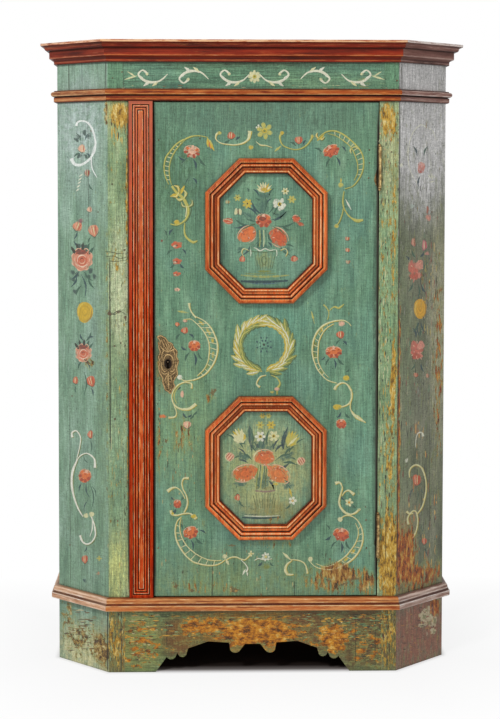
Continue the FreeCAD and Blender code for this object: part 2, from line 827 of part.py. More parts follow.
LOCK_NAILS = [
    (across, up)
    for across in ("lock_left + lock_flange", "lock_right - lock_flange")
    for up in ("lock_bottom - lock_flange / 2", "lock_top + lock_flange / 2")
]
PLATE_NAILS = [("keyhole_x", "keyhole_z + plate_nail_up"),
               ("keyhole_x", "keyhole_z - plate_nail_down")]

left_board = door_board("left", "door_left", "door_left + door_board_left_wide")
holes = sketch_on(left_board, "XZ_Plane")
keyhole(holes, "keyhole_z - door_bottom")
for across, up in PLATE_NAILS + LOCK_NAILS:
    circle(holes, across, up + " - door_bottom", "nail_round")
pocket(left_board, holes, "4 * door_thick", both_ways=True)
keep(left_board)
keep(door_board("middle", "door_left + door_board_left_wide",
                "door_right - door_board_wide"))
right_board = door_board("right", "door_right - door_board_wide", "door_right")
blade_slots(right_board, "door_right", "-", "+",
            ["%s - door_bottom" % hinge for hinge in HINGES])
keep(right_board)
door_batten("lower", BATTEN_HEIGHTS[0])
door_batten("upper", BATTEN_HEIGHTS[1])
keep(block("door_stop", "stile_left_edge", "stile_right_edge", "wall",
           "wall + door_stop_thick", "waist_bottom - door_stop_lap",
           "waist_bottom - door_stop_lap + door_stop_high"))

# Section of the octagonal frames: u runs out from the inner edge, v off the door
REED_FOOT = "frame_crown_edge - frame_groove_wide"
INNER_REED_FOOT = "frame_step + 2 * frame_inner_reed_round"
FRAME = [
    ("0", "0"),
    ("frame_wide", "0"),
    ("frame_wide", "frame_edge_high"),
    ("frame_wide - frame_step", "frame_edge_high"),
    ("frame_wide - frame_step", "frame_proud - frame_ovolo_round", "frame_ovolo_round", 1),
    ("frame_wide - frame_step - frame_ovolo_round", "frame_proud"),
    ("frame_crown_edge", "frame_proud"),
    ("frame_crown_edge", "frame_proud - frame_groove_deep"),
    (REED_FOOT, "frame_proud - frame_groove_deep", "frame_reed_round", 1),
    (REED_FOOT + " - frame_reed_round",
     "frame_proud - frame_groove_deep + frame_reed_round", "frame_reed_round", 1),
    (REED_FOOT + " - 2 * frame_reed_round", "frame_proud - frame_groove_deep"),
    (REED_FOOT + " - 2 * frame_reed_round", "frame_inner_high"),
    (INNER_REED_FOOT, "frame_inner_high", "frame_inner_reed_round", 1),
    (INNER_REED_FOOT + " - frame_inner_reed_round",
     "frame_inner_high + frame_inner_reed_round", "frame_inner_reed_round", 1),
    ("frame_step", "frame_inner_high"),
    ("frame_step", "frame_slip_high"),
    ("0", "frame_slip_high"),
]


def octagon_frame(name, middle):
    """Eight mitred lengths of moulding round an upright octagon on the door's face."""
    corner_in = "(octagon_corner - frame_wide * (2 - sqrt(2)))"
    half_wide = "(octagon_wide / 2 - frame_wide)"
    half_high = "(octagon_high / 2 - frame_wide)"
    flat_wide = "(2 * %s - 2 * %s)" % (half_wide, corner_in)
    flat_high = "(2 * %s - 2 * %s)" % (half_high, corner_in)
    slant = "(sqrt(2) * %s)" % corner_in
    right, top, cut = size(half_wide), size(half_high), size(corner_in)
    corners = [
        (right - cut, top), (cut - right, top), (-right, top - cut), (-right, cut - top),
        (cut - right, -top), (right - cut, -top), (right, cut - top), (right, top - cut),
    ]
    lengths = [flat_wide, slant, flat_high, slant] * 2
    pieces = []
    for index, corner in enumerate(corners):
        piece = doc.addObject("PartDesign::Body", "%s_side_%d" % (name, index + 1))
        mitred_run(piece, FRAME, lengths[index], "frame_wide", "frame_proud",
                   "mitre_octagon", "mitre_octagon")
        turn = 180.0 - 45.0 * index
        along = FreeCAD.Rotation(FreeCAD.Vector(0, -1, 0), -turn)
        lying = FreeCAD.Rotation(FreeCAD.Vector(1, 0, 0), 90.0)
        at = FreeCAD.Vector(size("door_middle") + corner[0], size("front_at"),
                            size(middle) + corner[1])
        piece.Placement = FreeCAD.Placement(at, along.multiply(lying))
        pieces.append(piece)
    group(name, pieces)


octagon_frame("octagon_frame_upper", "octagon_upper_z")
octagon_frame("octagon_frame_lower", "octagon_lower_z")


# Lift-off hinges: each half is a knuckle with a blade let into the edge of the wood
def hinge_half(name, height, door_side):
    """The door's half stands on the frame's half. Local Z runs from the part line to
    the half's own end, so the frame's half is drawn upside down by its signs."""
    body = body_at(name, "stile_right_edge", "front_at - hinge_off", height)
    way = "" if door_side else "-"
    bore = "hinge_pin_round + hinge_pin_clearance" if door_side else "hinge_pin_round"
    start = "hinge_part_line" if door_side else "0"
    section = sketch_on(body, "XZ_Plane")
    knuckle = [
        (bore, way + "(%s)" % start),
        ("hinge_barrel_round", way + "(%s)" % start),
        ("hinge_barrel_round", way + "hinge_leaf_high"),
        ("hinge_finial_neck_round", way + "(hinge_leaf_high + hinge_finial_neck_up)"),
        ("hinge_finial_round", way + "(hinge_leaf_high + hinge_finial_swell_up)"),
        ("hinge_finial_tip_round", way + "(hinge_half - hinge_finial_tip_down)"),
        ("0", way + "hinge_half"),
        ("0", way + "(hinge_leaf_high - hinge_cap_thick)"),
        (bore, way + "(hinge_leaf_high - hinge_cap_thick)"),
    ]
    outline(section, knuckle)
    revolve(body, section)
    plan = sketch_on(body, "XY_Plane", way + "hinge_part_line")
    gap_side = "-(door_gap - hinge_neck_clearance)" if door_side else "-hinge_neck_clearance"
    other_side = gap_side + (" + " if door_side else " - ") + "hinge_neck_thick"
    tip = "-hinge_blade_long" if door_side else "hinge_blade_long"
    inside = "hinge_pin_round + hinge_pin_clearance + hinge_blade_off_pin"
    outline(plan, [
        (gap_side, inside), (gap_side, "blade_front"), (tip, "blade_front"),
        (tip, "blade_front + hinge_blade_thick"),
        (other_side, "blade_front + hinge_blade_thick"), (other_side, inside),
    ])
    pad(body, plan, "hinge_leaf_high - hinge_part_line", backwards=not door_side)
    return keep(body)


pins = []
for place, height in (("upper", "hinge_upper_z"), ("lower", "hinge_lower_z")):
    hinge_half("hinge_%s_door_half" % place, height, True)
    hinge_half("hinge_%s_frame_half" % place, height, False)
    pin = body_at("hinge_pin_" + place, "stile_right_edge", "front_at - hinge_off",
                  height + " - hinge_leaf_high + hinge_cap_thick")
    section = sketch_on(pin, "XY_Plane")
    circle(section, "0", "0", "hinge_pin_round")
    pad(pin, section, "2 * (hinge_leaf_high - hinge_cap_thick) - 2 * hinge_pin_clearance")
    pins.append(pin)
group("hinge_pins", pins)


# Box lock on the back of the door
def lock_case():
    """A sheet iron case, open towards the door, with flanges above and below."""
    body = body_at("lock_case", y="front_at")
    outside = sketch_on(body, "XZ_Plane", "-door_thick")
    rectangle(outside, "lock_left", "lock_bottom", "lock_right", "lock_top")
    pad(body, outside, "lock_deep", backwards=True)
    flanges = sketch_on(body, "XZ_Plane", "-door_thick")
    rectangle(flanges, "lock_left", "lock_bottom - lock_flange", "lock_right", "lock_bottom")
    rectangle(flanges, "lock_left", "lock_top", "lock_right", "lock_top + lock_flange")
    pad(body, flanges, "lock_wall", backwards=True)
    inside = sketch_on(body, "XZ_Plane", "-door_thick")
    rectangle(inside, "lock_left + lock_wall", "lock_bottom + lock_wall",
              "lock_right - lock_wall", "lock_top - lock_wall")
    pocket(body, inside, "lock_deep - lock_wall")
    guide = sketch_on(body, "XZ_Plane", "-door_thick")
    guide_left = "lock_left + bolt_long - 4 * bolt_guide_thick"
    rectangle(guide, guide_left, "bolt_z - bolt_high", guide_left + " + bolt_guide_thick",
              "lock_top - lock_wall")
    pad(body, guide, "lock_deep - lock_wall", backwards=True)
    window = sketch_on(body, "YZ_Plane", "lock_left - lock_wall")
    rectangle(window, "bolt_front - bolt_clearance",
              "bolt_z - bolt_high / 2 - bolt_clearance",
              "bolt_front + bolt_thick + bolt_clearance",
              "bolt_z + bolt_high / 2 + bolt_clearance")
    pocket(body, window, "bolt_long + bolt_throw", backwards=True)
    nail_holes = sketch_on(body, "XZ_Plane", "-door_thick")
    for across, up in LOCK_NAILS:
        circle(nail_holes, across, up, "nail_round")
    pocket(body, nail_holes, "2 * lock_wall")
    return keep(body)


lock_case()
keep(block("lock_bolt", "lock_left", "lock_left + bolt_long", "bolt_front",
           "bolt_front + bolt_thick", "bolt_z - bolt_high / 2", "bolt_z + bolt_high / 2"))

drill_pin = body_at("lock_drill_pin", "keyhole_x", "front_at", "keyhole_z")
section = sketch_on(drill_pin, "XZ_Plane", "-(lock_back - lock_wall)")
circle(section, "0", "0", "drill_pin_round")
pad(drill_pin, section, "lock_back - lock_wall - drill_pin_short_of_face")
keep(drill_pin)

# Iron staple behind the left stile that takes the bolt
keeper = block("lock_keeper", "keeper_right - keeper_wide", "keeper_right", "wall",
               "bolt_front + bolt_thick + keeper_slack + keeper_wall",
               "bolt_z - bolt_high / 2 - keeper_slack - keeper_wall",
               "bolt_z + bolt_high / 2 + keeper_slack + keeper_wall")
window = sketch_on(keeper, "YZ_Plane", "keeper_right + keeper_wall")
rectangle(window, "bolt_front - keeper_slack", "keeper_wall",
          "bolt_front + bolt_thick + keeper_slack",
          "keeper_wall + bolt_high + 2 * keeper_slack")
pocket(keeper, window, "2 * keeper_wide")
keep(keeper)


# Keyhole plate and the small nails
def nail(name, x, z, face, head_side):
    """A wire nail along Y with its head on a face; head_side -1 looks to the front."""
    body = body_at(name, x, "front_at + (%s)" % face, z)
    shank = sketch_on(body, "XZ_Plane")
    circle(shank, "0", "0", "nail_round")
    pad(body, shank, "nail_long", backwards=head_side < 0)
    head = sketch_on(body, "XZ_Plane")
    circle(head, "0", "0", "nail_head_round")
    pad(body, head, "nail_head_high", backwards=head_side > 0)
    return body


def keyhole_plate():
    """The keyhole plate: a pointed cartouche with a raised rim round its keyhole."""
    body = body_at("keyhole_plate", y="front_at")
    x = "keyhole_x"
    z = "keyhole_z"
    right = [
        ("0", "-plate_down", "plate_point_bow * plate_waist_down", 1),
        ("plate_waist_half", "-plate_waist_down", "plate_side_bow * plate_waist_down", 1),
        ("plate_half_wide", "0", "plate_side_bow * plate_shoulder_up", 1),
        ("plate_shoulder_half", "plate_shoulder_up", "plate_shoulder_up", 1),
    ]
    left = [
        ("0", "plate_up", "plate_shoulder_up", 1),
        ("-plate_shoulder_half", "plate_shoulder_up", "plate_side_bow * plate_shoulder_up", 1),
        ("-plate_half_wide", "0", "plate_side_bow * plate_waist_down", 1),
        ("-plate_waist_half", "-plate_waist_down", "plate_point_bow * plate_waist_down", 1),
    ]
    face = sketch_on(body, "XZ_Plane")
    outline(face, [("%s + (%s)" % (x, u), "%s + (%s)" % (z, v), radius, turn)
                   for u, v, radius, turn in right + left])
    pad(body, face, "plate_thick")
    rim = sketch_on(body, "XZ_Plane", "plate_thick")
    circle(rim, x, z + " - keyhole_slot_down / 4",
           "keyhole_round + keyhole_slot_down / 4 + plate_rim_wide")
    pad(body, rim, "plate_rim_proud")
    holes = sketch_on(body, "XZ_Plane")
    keyhole(holes, z)
    for across, up in PLATE_NAILS:
        circle(holes, across, up, "nail_round")
    pocket(body, holes, "8 * plate_thick", both_ways=True)
    return keep(body)


keyhole_plate()
group("keyhole_plate_nails", [
    nail("plate_nail_%d" % (index + 1), across, up, "-plate_thick", -1)
    for index, (across, up) in enumerate(PLATE_NAILS)
])
group("lock_nails", [
    nail("lock_nail_%d" % (index + 1), across, up, "door_thick + lock_wall", 1)
    for index, (across, up) in enumerate(LOCK_NAILS)
])

doc.recompute()

for thing in doc.Objects:
    for word in ("Invalid", "Error"):
        if word in thing.State:
            raise RuntimeError("%s is %s" % (thing.Name, word))
for thing in subparts:
    if thing.Shape.isNull() or not thing.Shape.isValid():
        raise RuntimeError("%s has no sound shape" % thing.Label)

os.makedirs("parts", exist_ok=True)
for thing in subparts:
    thing.Shape.exportStep("parts/%s.step" % thing.Label)

whole = FreeCAD.BoundBox()
for thing in subparts:
    whole.add(thing.Shape.BoundBox)
print("%d sub-parts, box %.1f x %.1f x %.1f" % (
    len(subparts), whole.XLength, whole.YLength, whole.ZLength))
print("from", whole.XMin, whole.YMin, whole.ZMin, "to", whole.XMax, whole.YMax, whole.ZMax)
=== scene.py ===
import math
import random

import bmesh
import bpy
from mathutils import Matrix, Vector


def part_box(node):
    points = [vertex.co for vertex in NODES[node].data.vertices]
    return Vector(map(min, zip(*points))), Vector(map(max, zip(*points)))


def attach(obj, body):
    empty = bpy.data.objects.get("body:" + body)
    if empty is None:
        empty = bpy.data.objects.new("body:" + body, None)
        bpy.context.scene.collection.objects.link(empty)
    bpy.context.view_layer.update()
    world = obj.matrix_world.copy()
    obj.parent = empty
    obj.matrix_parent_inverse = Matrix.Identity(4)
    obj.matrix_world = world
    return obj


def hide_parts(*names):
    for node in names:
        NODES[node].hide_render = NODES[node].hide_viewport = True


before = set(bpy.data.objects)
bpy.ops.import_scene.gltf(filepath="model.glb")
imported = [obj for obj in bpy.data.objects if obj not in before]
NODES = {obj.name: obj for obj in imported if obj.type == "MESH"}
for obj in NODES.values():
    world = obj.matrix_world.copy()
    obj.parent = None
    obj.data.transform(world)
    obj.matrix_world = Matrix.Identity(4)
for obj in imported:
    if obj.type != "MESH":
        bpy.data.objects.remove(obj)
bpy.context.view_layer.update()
MM = 0.001

# The photograph's camera, in millimetres, degrees and pixels of its 500 x 719 picture
PICTURE_WIDE = 500
PICTURE_HIGH = 719
FOCAL = 1417.3
SHIFT_UP = -0.18
CENTRE_X = 235.06
CENTRE_Y = PICTURE_HIGH * (0.5 + SHIFT_UP)
EYE = Vector((-138.2, -4206.8, 1436.5)) * MM
PITCH = math.radians(2.4204)
YAW = math.radians(1.2338)
ROLL = math.radians(0.0675)
FORWARD = Vector((math.sin(YAW) * math.cos(PITCH), math.cos(YAW) * math.cos(PITCH), -math.sin(PITCH)))
LEVEL_RIGHT = Vector((math.cos(YAW), -math.sin(YAW), 0))
LEVEL_UP = LEVEL_RIGHT.cross(FORWARD)
RIGHT = LEVEL_RIGHT * math.cos(ROLL) + LEVEL_UP * math.sin(ROLL)
UP = LEVEL_UP * math.cos(ROLL) - LEVEL_RIGHT * math.sin(ROLL)
SENSOR = 36.0

# How strongly the white surround lights the case, and how far its floor runs, in metres
AROUND = 0.36
FLOOR_REACH = 12.0

# How far grime and painted shade creep out of a corner, how far an edge is worn round, how deep brush
# marks are, and how far dirt lies in stamped metal, in millimetres
GRIME_AND_SHADE_REACH = 9
EASED_EDGE = 1.2
PAINT_RELIEF = 0.5
HOLLOW_REACH = 3

# The cupboard's own places, in millimetres, as the CAD source has them
FRONT = -200.0
BACK = 246.0
FRONT_HALF = 411.5
SIDE_HALF = 565.5
SIDE_FRONT = -70.0
CANT_TURN = math.atan2(SIDE_FRONT - FRONT, SIDE_HALF - FRONT_HALF)
KEYHOLE = (-242.0, 892.0)
STRIP_CENTRE = (-318.0, 924.0)
STRIP_HALF = (34.0, 707.0)
DOOR_MIDDLE = 36.25
OCTAGON_HEIGHTS = (1265.0, 589.0)
OCTAGON_HALF = (173.0, 205.0)
OCTAGON_CORNER = 96.0


def linear(code):
    """A hex colour as the eye sees it, as linear numbers."""
    values = [int(code[i:i + 2], 16) / 255 for i in (1, 3, 5)]
    return tuple(v / 12.92 if v <= 0.04045 else ((v + 0.055) / 1.055) ** 2.4 for v in values) + (1.0,)


def node(tree, kind, inputs=(), stops=(), **settings):
    """Adds a node: settings are its own, and inputs are numbers, or sockets that it links to."""
    made = tree.nodes.new(kind)
    for name, value in settings.items():
        setattr(made, name, value)
    for name, value in inputs.items() if isinstance(inputs, dict) else enumerate(inputs):
        if isinstance(value, bpy.types.NodeSocket):
            tree.links.new(value, made.inputs[name])
        else:
            made.inputs[name].default_value = value
    for i, (position, colour) in enumerate(stops):
        held = made.color_ramp.elements
        stop = held[i] if i < 1 or i == len(stops) - 1 and len(held) > i else held.new(position)
        stop.position = position
        stop.color = linear(colour) if isinstance(colour, str) else colour
    return made


def reckon(tree, how, *values, **settings):
    """The number that an operation makes of others."""
    return node(tree, "ShaderNodeMath", values, operation=how, **settings).outputs[0]


def ranged(tree, value, low=0.0, high=1.0, least=0.0, most=1.0, soft=False):
    """A value that runs from low to high, as one from least to most. Soft eases both ends."""
    ease = "SMOOTHSTEP" if soft else "LINEAR"
    return node(tree, "ShaderNodeMapRange", {"Value": value, "From Min": low, "From Max": high,
                "To Min": least, "To Max": most}, interpolation_type=ease).outputs[0]


def mixed(tree, share, under, over):
    """The colour under, covered by the colour over for that share."""
    over = linear(over) if isinstance(over, str) else over
    return node(tree, "ShaderNodeMix", {0: share, 6: under, 7: over}, data_type="RGBA").outputs[2]


def vectors(tree, how, *values):
    return node(tree, "ShaderNodeVectorMath", values, operation=how).outputs[0]


def scaled(tree, vector, level):
    """A colour or a way, made stronger or weaker."""
    return node(tree, "ShaderNodeVectorMath", {0: vector, "Scale": level}, operation="SCALE").outputs[0]


def ramp(tree, value, stops):
    return node(tree, "ShaderNodeValToRGB", (value,), stops).outputs[0]


def place_on(tree):
    """The place on the object, in metres."""
    return node(tree, "ShaderNodeTexCoord").outputs["Object"]


def place_parts(tree):
    """That place as X, Y and Z."""
    return node(tree, "ShaderNodeSeparateXYZ", (place_on(tree),)).outputs


def new_group(name, *floats):
    """A pattern's tree, which gives a colour and these further numbers."""
    tree = bpy.data.node_groups.new(name, "ShaderNodeTree")
    tree.interface.new_socket(name="Color", in_out="OUTPUT", socket_type="NodeSocketColor")
    for output in floats:
        tree.interface.new_socket(name=output, in_out="OUTPUT", socket_type="NodeSocketFloat")
    return tree


def new_material(name):
    """An empty material, with its tree."""
    material = bpy.data.materials.new(name)
    material.use_nodes = True
    material.node_tree.nodes.clear()
    return material, material.node_tree


def laid_over(tree, size, centre=(0, 0, 0), turn=0.0):
    """The place on the object as seen from a centre, where size is one unit, both in millimetres."""
    centre, size = (tuple(v * MM for v in given) for given in (centre, size))
    return node(tree, "ShaderNodeMapping",
                {"Vector": place_on(tree), "Location": centre, "Rotation": (0, 0, turn), "Scale": size},
                vector_type="TEXTURE").outputs[0]


# Patterns that the finishes share. A noise's size is across the grain and along it, in millimetres.
def noises(tree, table, upright=True, turn=0.0):
    """The noises of a table, by name, on the wood's own grain, which turn lays along a moulding's run."""
    made = {}
    for name, (across, along, detail, rough) in table.items():
        scale = (across, across, along) if upright else (along, across, across)
        where = laid_over(tree, scale, turn=turn)
        made[name] = node(tree, "ShaderNodeTexNoise", {"Vector": where, "Scale": 1.0, "Detail": detail,
                          "Roughness": rough}).outputs["Fac"]
    return made


def near_place(tree, centre, reach, strength):
    """How near a soft ellipsoid's centre: strength there, falling to nothing at its reach."""
    near = laid_over(tree, reach, centre)
    far = node(tree, "ShaderNodeVectorMath", (near,), operation="LENGTH").outputs["Value"]
    return ranged(tree, far, 0.15, 1.0, strength, 0.0, soft=True)


def crack(tree, along, x, low, high, wide, wobble):
    """A dark line down a board at x, from height low to high."""
    parts = place_parts(tree)
    bent = reckon(tree, "MULTIPLY_ADD", along, wobble * MM, parts["X"])
    aside = reckon(tree, "ADD", bent, -(x + wobble / 2) * MM)
    aside = reckon(tree, "ABSOLUTE", aside)
    line = ranged(tree, aside, wide * 0.3 * MM, wide * MM, 1.0, 0.0)
    middle, half = (low + high) / 2 * MM, (high - low) / 2 * MM
    above = reckon(tree, "ADD", parts["Z"], -middle)
    above = reckon(tree, "ABSOLUTE", above)
    ends = ranged(tree, above, half * 0.9, half, 1.0, 0.0)
    return reckon(tree, "MULTIPLY", line, ends)


def worn_green(name, tones, coats, wear, places, stains_and_painted_light=(), cracks=(), upright=True, tint=0.3, patch=(9, 36),
               dashes=0.5, depth=1.15):
    """Blue-green oil paint over older coats: brushed, crazed, split along the grain, and worn away.
    depth is how strongly its small marks show."""
    tree = new_group(name, "Worn", "High")
    grown = noises(tree, {
        "tone": (34, 150, 5, 0.62),
        "streak": (1.9, 90, 5, 0.65),
        "cloud": (150, 210, 3, 0.5),
        "chip": (*patch, 9, 0.70),
        "fine": (2.2, 6, 4, 0.6),
        "craze": (16, 2.4, 4, 0.6),
        "speck": (3.4, 6.0, 3, 0.55),
        "split": (1.7, 19, 4, 0.62),
        "pale": (5, 60, 5, 0.62),
        "coat": (patch[0] * 1.3, patch[1] * 0.9, 9, 0.74),
    }, upright)
    dark, mid, light, grey = tones
    green = ramp(tree, grown["tone"], ((0.3, dark), (0.5, mid), (0.72, light)))
    clouded = ranged(tree, grown["cloud"], 0.42, 0.66, most=tint, soft=True)
    green = mixed(tree, clouded, green, grey)
    patchy = ranged(tree, grown["coat"], 0.42, 0.56, least=0.4)
    # stains, and the patches of painted shade and sheen that the tables mark
    for centre, reach, strength, colour in stains_and_painted_light:
        stain_and_light = reckon(tree, "MULTIPLY", near_place(tree, centre, reach, strength), patchy,
                       use_clamp=True)
        green = mixed(tree, stain_and_light, green, colour)
    for pattern, low, high, least, most in (("streak", 0.3, 0.7, 0.74, 1.24),
                                            ("craze", 0.32, 0.68, 0.84, 1.12),
                                            ("fine", 0.3, 0.7, 0.78, 1.18),
                                            ("pale", 0.36, 0.72, 0.92, 1.22)):
        level = ranged(tree, grown[pattern], low, high, 1 - (1 - least) * depth, 1 + (most - 1) * depth)
        green = scaled(tree, green, level)
    for low, high, colour, most in ((0.64, 0.70, "#22332a", 0.8), (0.33, 0.28, "#a9b68f", 0.35)):
        specks = ranged(tree, grown["speck"], low, high, most=most)
        green = mixed(tree, specks, green, colour)
    worn = reckon(tree, "ADD", grown["chip"], wear)
    for centre, reach, strength in places:
        worn = reckon(tree, "ADD", worn, near_place(tree, centre, reach, strength))
    ragged = reckon(tree, "MULTIPLY_ADD", grown["fine"], 0.2, worn)
    worn = ranged(tree, ragged, 0.8, 0.822, soft=True)
    halo = ranged(tree, ragged, 0.7, 0.8, most=0.6, soft=True)
    steps = [(0.38 + 0.054 * k + end, coat) for k, coat in enumerate(coats) for end in (0, 0.042)]
    under = ramp(tree, grown["coat"], steps)
    thin = mixed(tree, halo, green, "#929a5a")
    colour = mixed(tree, worn, thin, under)
    # a dark rim where the paint breaks off
    rim = reckon(tree, "COMPARE", ragged, 0.811, 0.012)
    rim = reckon(tree, "MULTIPLY", rim, 0.45)
    colour = mixed(tree, rim, colour, "#2e2818")
    level = ranged(tree, grown["streak"], 0.3, 0.7, 0.85, 1.1)
    colour = scaled(tree, colour, level)
    # short dark splits in the paint along the grain, more of them where it is worn
    nearer = reckon(tree, "MULTIPLY_ADD", halo, 0.05, grown["split"])
    split = ranged(tree, nearer, 0.685 - 0.06 * dashes, 0.735 - 0.06 * dashes, most=0.45 + 0.4 * dashes)
    colour = mixed(tree, split, colour, "#23261b")
    for x, low, high, wide, wobble in cracks:
        line = crack(tree, grown["chip"], x, low, high, wide, wobble)
        colour = mixed(tree, line, colour, "#2a2a1d")
    high = reckon(tree, "MULTIPLY_ADD", worn, -0.6, grown["craze"])
    high = reckon(tree, "MULTIPLY_ADD", split, -0.7, high)
    node(tree, "NodeGroupOutput", {"Color": colour, "Worn": worn, "High": high})
    return tree


def bare_spruce(name, upright=True, turn=0.0):
    """Old unpainted spruce: pale early wood and brown late wood in lines a few millimetres apart."""
    tree = new_group(name, "High")
    grown = noises(tree,
                   {"ring": (7, 900, 3, 0.5), "streak": (1.4, 70, 4, 0.6), "cloud": (90, 400, 3, 0.5)},
                   upright, turn)
    wood = ramp(tree, grown["ring"], ((0.36, "#8d6a40"), (0.46, "#b08a56"), (0.6, "#c09c67")))
    aged = mixed(tree, grown["cloud"], wood, "#8f7350")
    # a knot in one cell of five, as spruce has them every hand or two
    cells = laid_over(tree, (85, 85, 140) if upright else (140, 85, 85), turn=turn)
    cell = node(tree, "ShaderNodeTexVoronoi", {"Vector": cells, "Scale": 1.0}).outputs
    near = ranged(tree, cell["Distance"], 0.06, 0.11, 1.0, 0.0)
    number = node(tree, "ShaderNodeSeparateColor", (cell["Color"],)).outputs[0]
    chosen = reckon(tree, "GREATER_THAN", number, 0.8)
    knot = reckon(tree, "MULTIPLY", near, chosen)
    aged = mixed(tree, knot, aged, "#4e3018")
    brushed = ranged(tree, grown["streak"], 0.3, 0.7, 0.82, 1.12)
    colour = scaled(tree, aged, brushed)
    node(tree, "NodeGroupOutput", {"Color": colour, "High": grown["streak"]})
    return tree


# How far a point lies across a moulding, in millimetres from the edge where its profile starts
def up_from(foot):
    """For a moulding that runs level, whose profile starts at the height foot."""
    def across(tree, parts):
        up = reckon(tree, "MULTIPLY", parts["Z"], 1 / MM)
        return reckon(tree, "SUBTRACT", up, foot)
    return across


def from_rectangle_edge(tree, parts, centre, half):
    """How far within an upright rectangle a point lies, along each of its two directions."""
    within = []
    for part, middle, reach in zip((parts["X"], parts["Z"]), centre, half):
        aside = reckon(tree, "MULTIPLY", part, 1 / MM)
        aside = reckon(tree, "SUBTRACT", aside, middle)
        aside = reckon(tree, "ABSOLUTE", aside)
        within.append(reckon(tree, "SUBTRACT", reach, aside))
    return within


def inside_strip(tree, parts):
    """How far within the upright strip's edge."""
    beside, above = from_rectangle_edge(tree, parts, STRIP_CENTRE, STRIP_HALF)
    return reckon(tree, "MINIMUM", beside, above)


def inside_octagon(tree, parts):
    """How far within the nearer octagon's outer edge."""
    depths = []
    for middle in OCTAGON_HEIGHTS:
        beside, above = from_rectangle_edge(tree, parts, (DOOR_MIDDLE, middle), OCTAGON_HALF)
        corner = reckon(tree, "ADD", beside, above)
        corner = reckon(tree, "SUBTRACT", corner, OCTAGON_CORNER)
        corner = reckon(tree, "DIVIDE", corner, math.sqrt(2))
        depth = reckon(tree, "MINIMUM", beside, above)
        depths.append(reckon(tree, "MINIMUM", depth, corner))
    return reckon(tree, "MAXIMUM", *depths)


def worn_red(name, tones, across, profile, upright=True, turn=0.0, wear=0.0, faded=None, places=()):
    """Red-brown oil paint on planed mouldings: rubbed pale on the ridges, partly as painted highlight,
    and dark in the grooves as painted shade. The profile gives millimetres across the moulding, with
    how rubbed and lit and how dark with shade it is there."""
    tree = new_group(name, "Worn", "High")
    grown = noises(tree, {
        "tone": (16, 170, 5, 0.6),
        "streak": (1.5, 70, 5, 0.65),
        "chip": (4, 38, 8, 0.70),
        "coat": (9, 60, 5, 0.6),
        "fine": (2.0, 5, 4, 0.6),
    }, upright, turn)
    dark, mid, light, rubbed, bare = tones
    red = ramp(tree, grown["tone"], ((0.32, dark), (0.5, mid), (0.7, light)))
    for pattern, least, most in (("streak", 0.72, 1.24), ("fine", 0.86, 1.12)):
        level = ranged(tree, grown[pattern], 0.3, 0.7, least, most)
        red = scaled(tree, red, level)
    parts = place_parts(tree)
    if faded:
        low, high, share, colour = faded
        fade = ranged(tree, parts["Z"], low * MM, high * MM, most=share)
        red = mixed(tree, fade, red, colour)
    reach = profile[-1][0]
    share = reckon(tree, "DIVIDE", across(tree, parts), reach)
    stops = [(at / reach, (rub, groove_shade, 0, 1)) for at, rub, groove_shade in profile]
    held = ramp(tree, share, stops)
    rub, groove_shade = node(tree, "ShaderNodeSeparateColor", (held,)).outputs[:2]
    rub = reckon(tree, "MULTIPLY_ADD", rub, 0.5, grown["chip"])
    rub = reckon(tree, "ADD", rub, wear)
    # painted highlight and wear: each place rubs the red paler and brightens it
    for centre, width, strength in places:
        near = near_place(tree, centre, width, strength)
        rub = reckon(tree, "MULTIPLY_ADD", near, 0.09, rub)
        level = reckon(tree, "ADD", near, 1.0)
        red = scaled(tree, red, level)
    # pale on the ridges: rubbed paint, and a painted highlight
    pale = ranged(tree, rub, 0.62, 0.92, soft=True)
    worn = ranged(tree, rub, 0.97, 1.08, soft=True)
    broken = ranged(tree, grown["chip"], 0.25, 0.5, least=0.45)
    groove_shade = reckon(tree, "MULTIPLY", groove_shade, broken)
    bared = ranged(tree, grown["coat"], 0.35, 0.62, least=0.35)
    pale = reckon(tree, "MULTIPLY", pale, bared)
    colour = mixed(tree, pale, red, rubbed)
    colour = mixed(tree, worn, colour, bare)
    # painted shade: near black in the grooves
    colour = mixed(tree, groove_shade, colour, "#2c0d06")
    node(tree, "NodeGroupOutput", {"Color": colour, "Worn": worn, "High": grown["streak"]})
    return tree


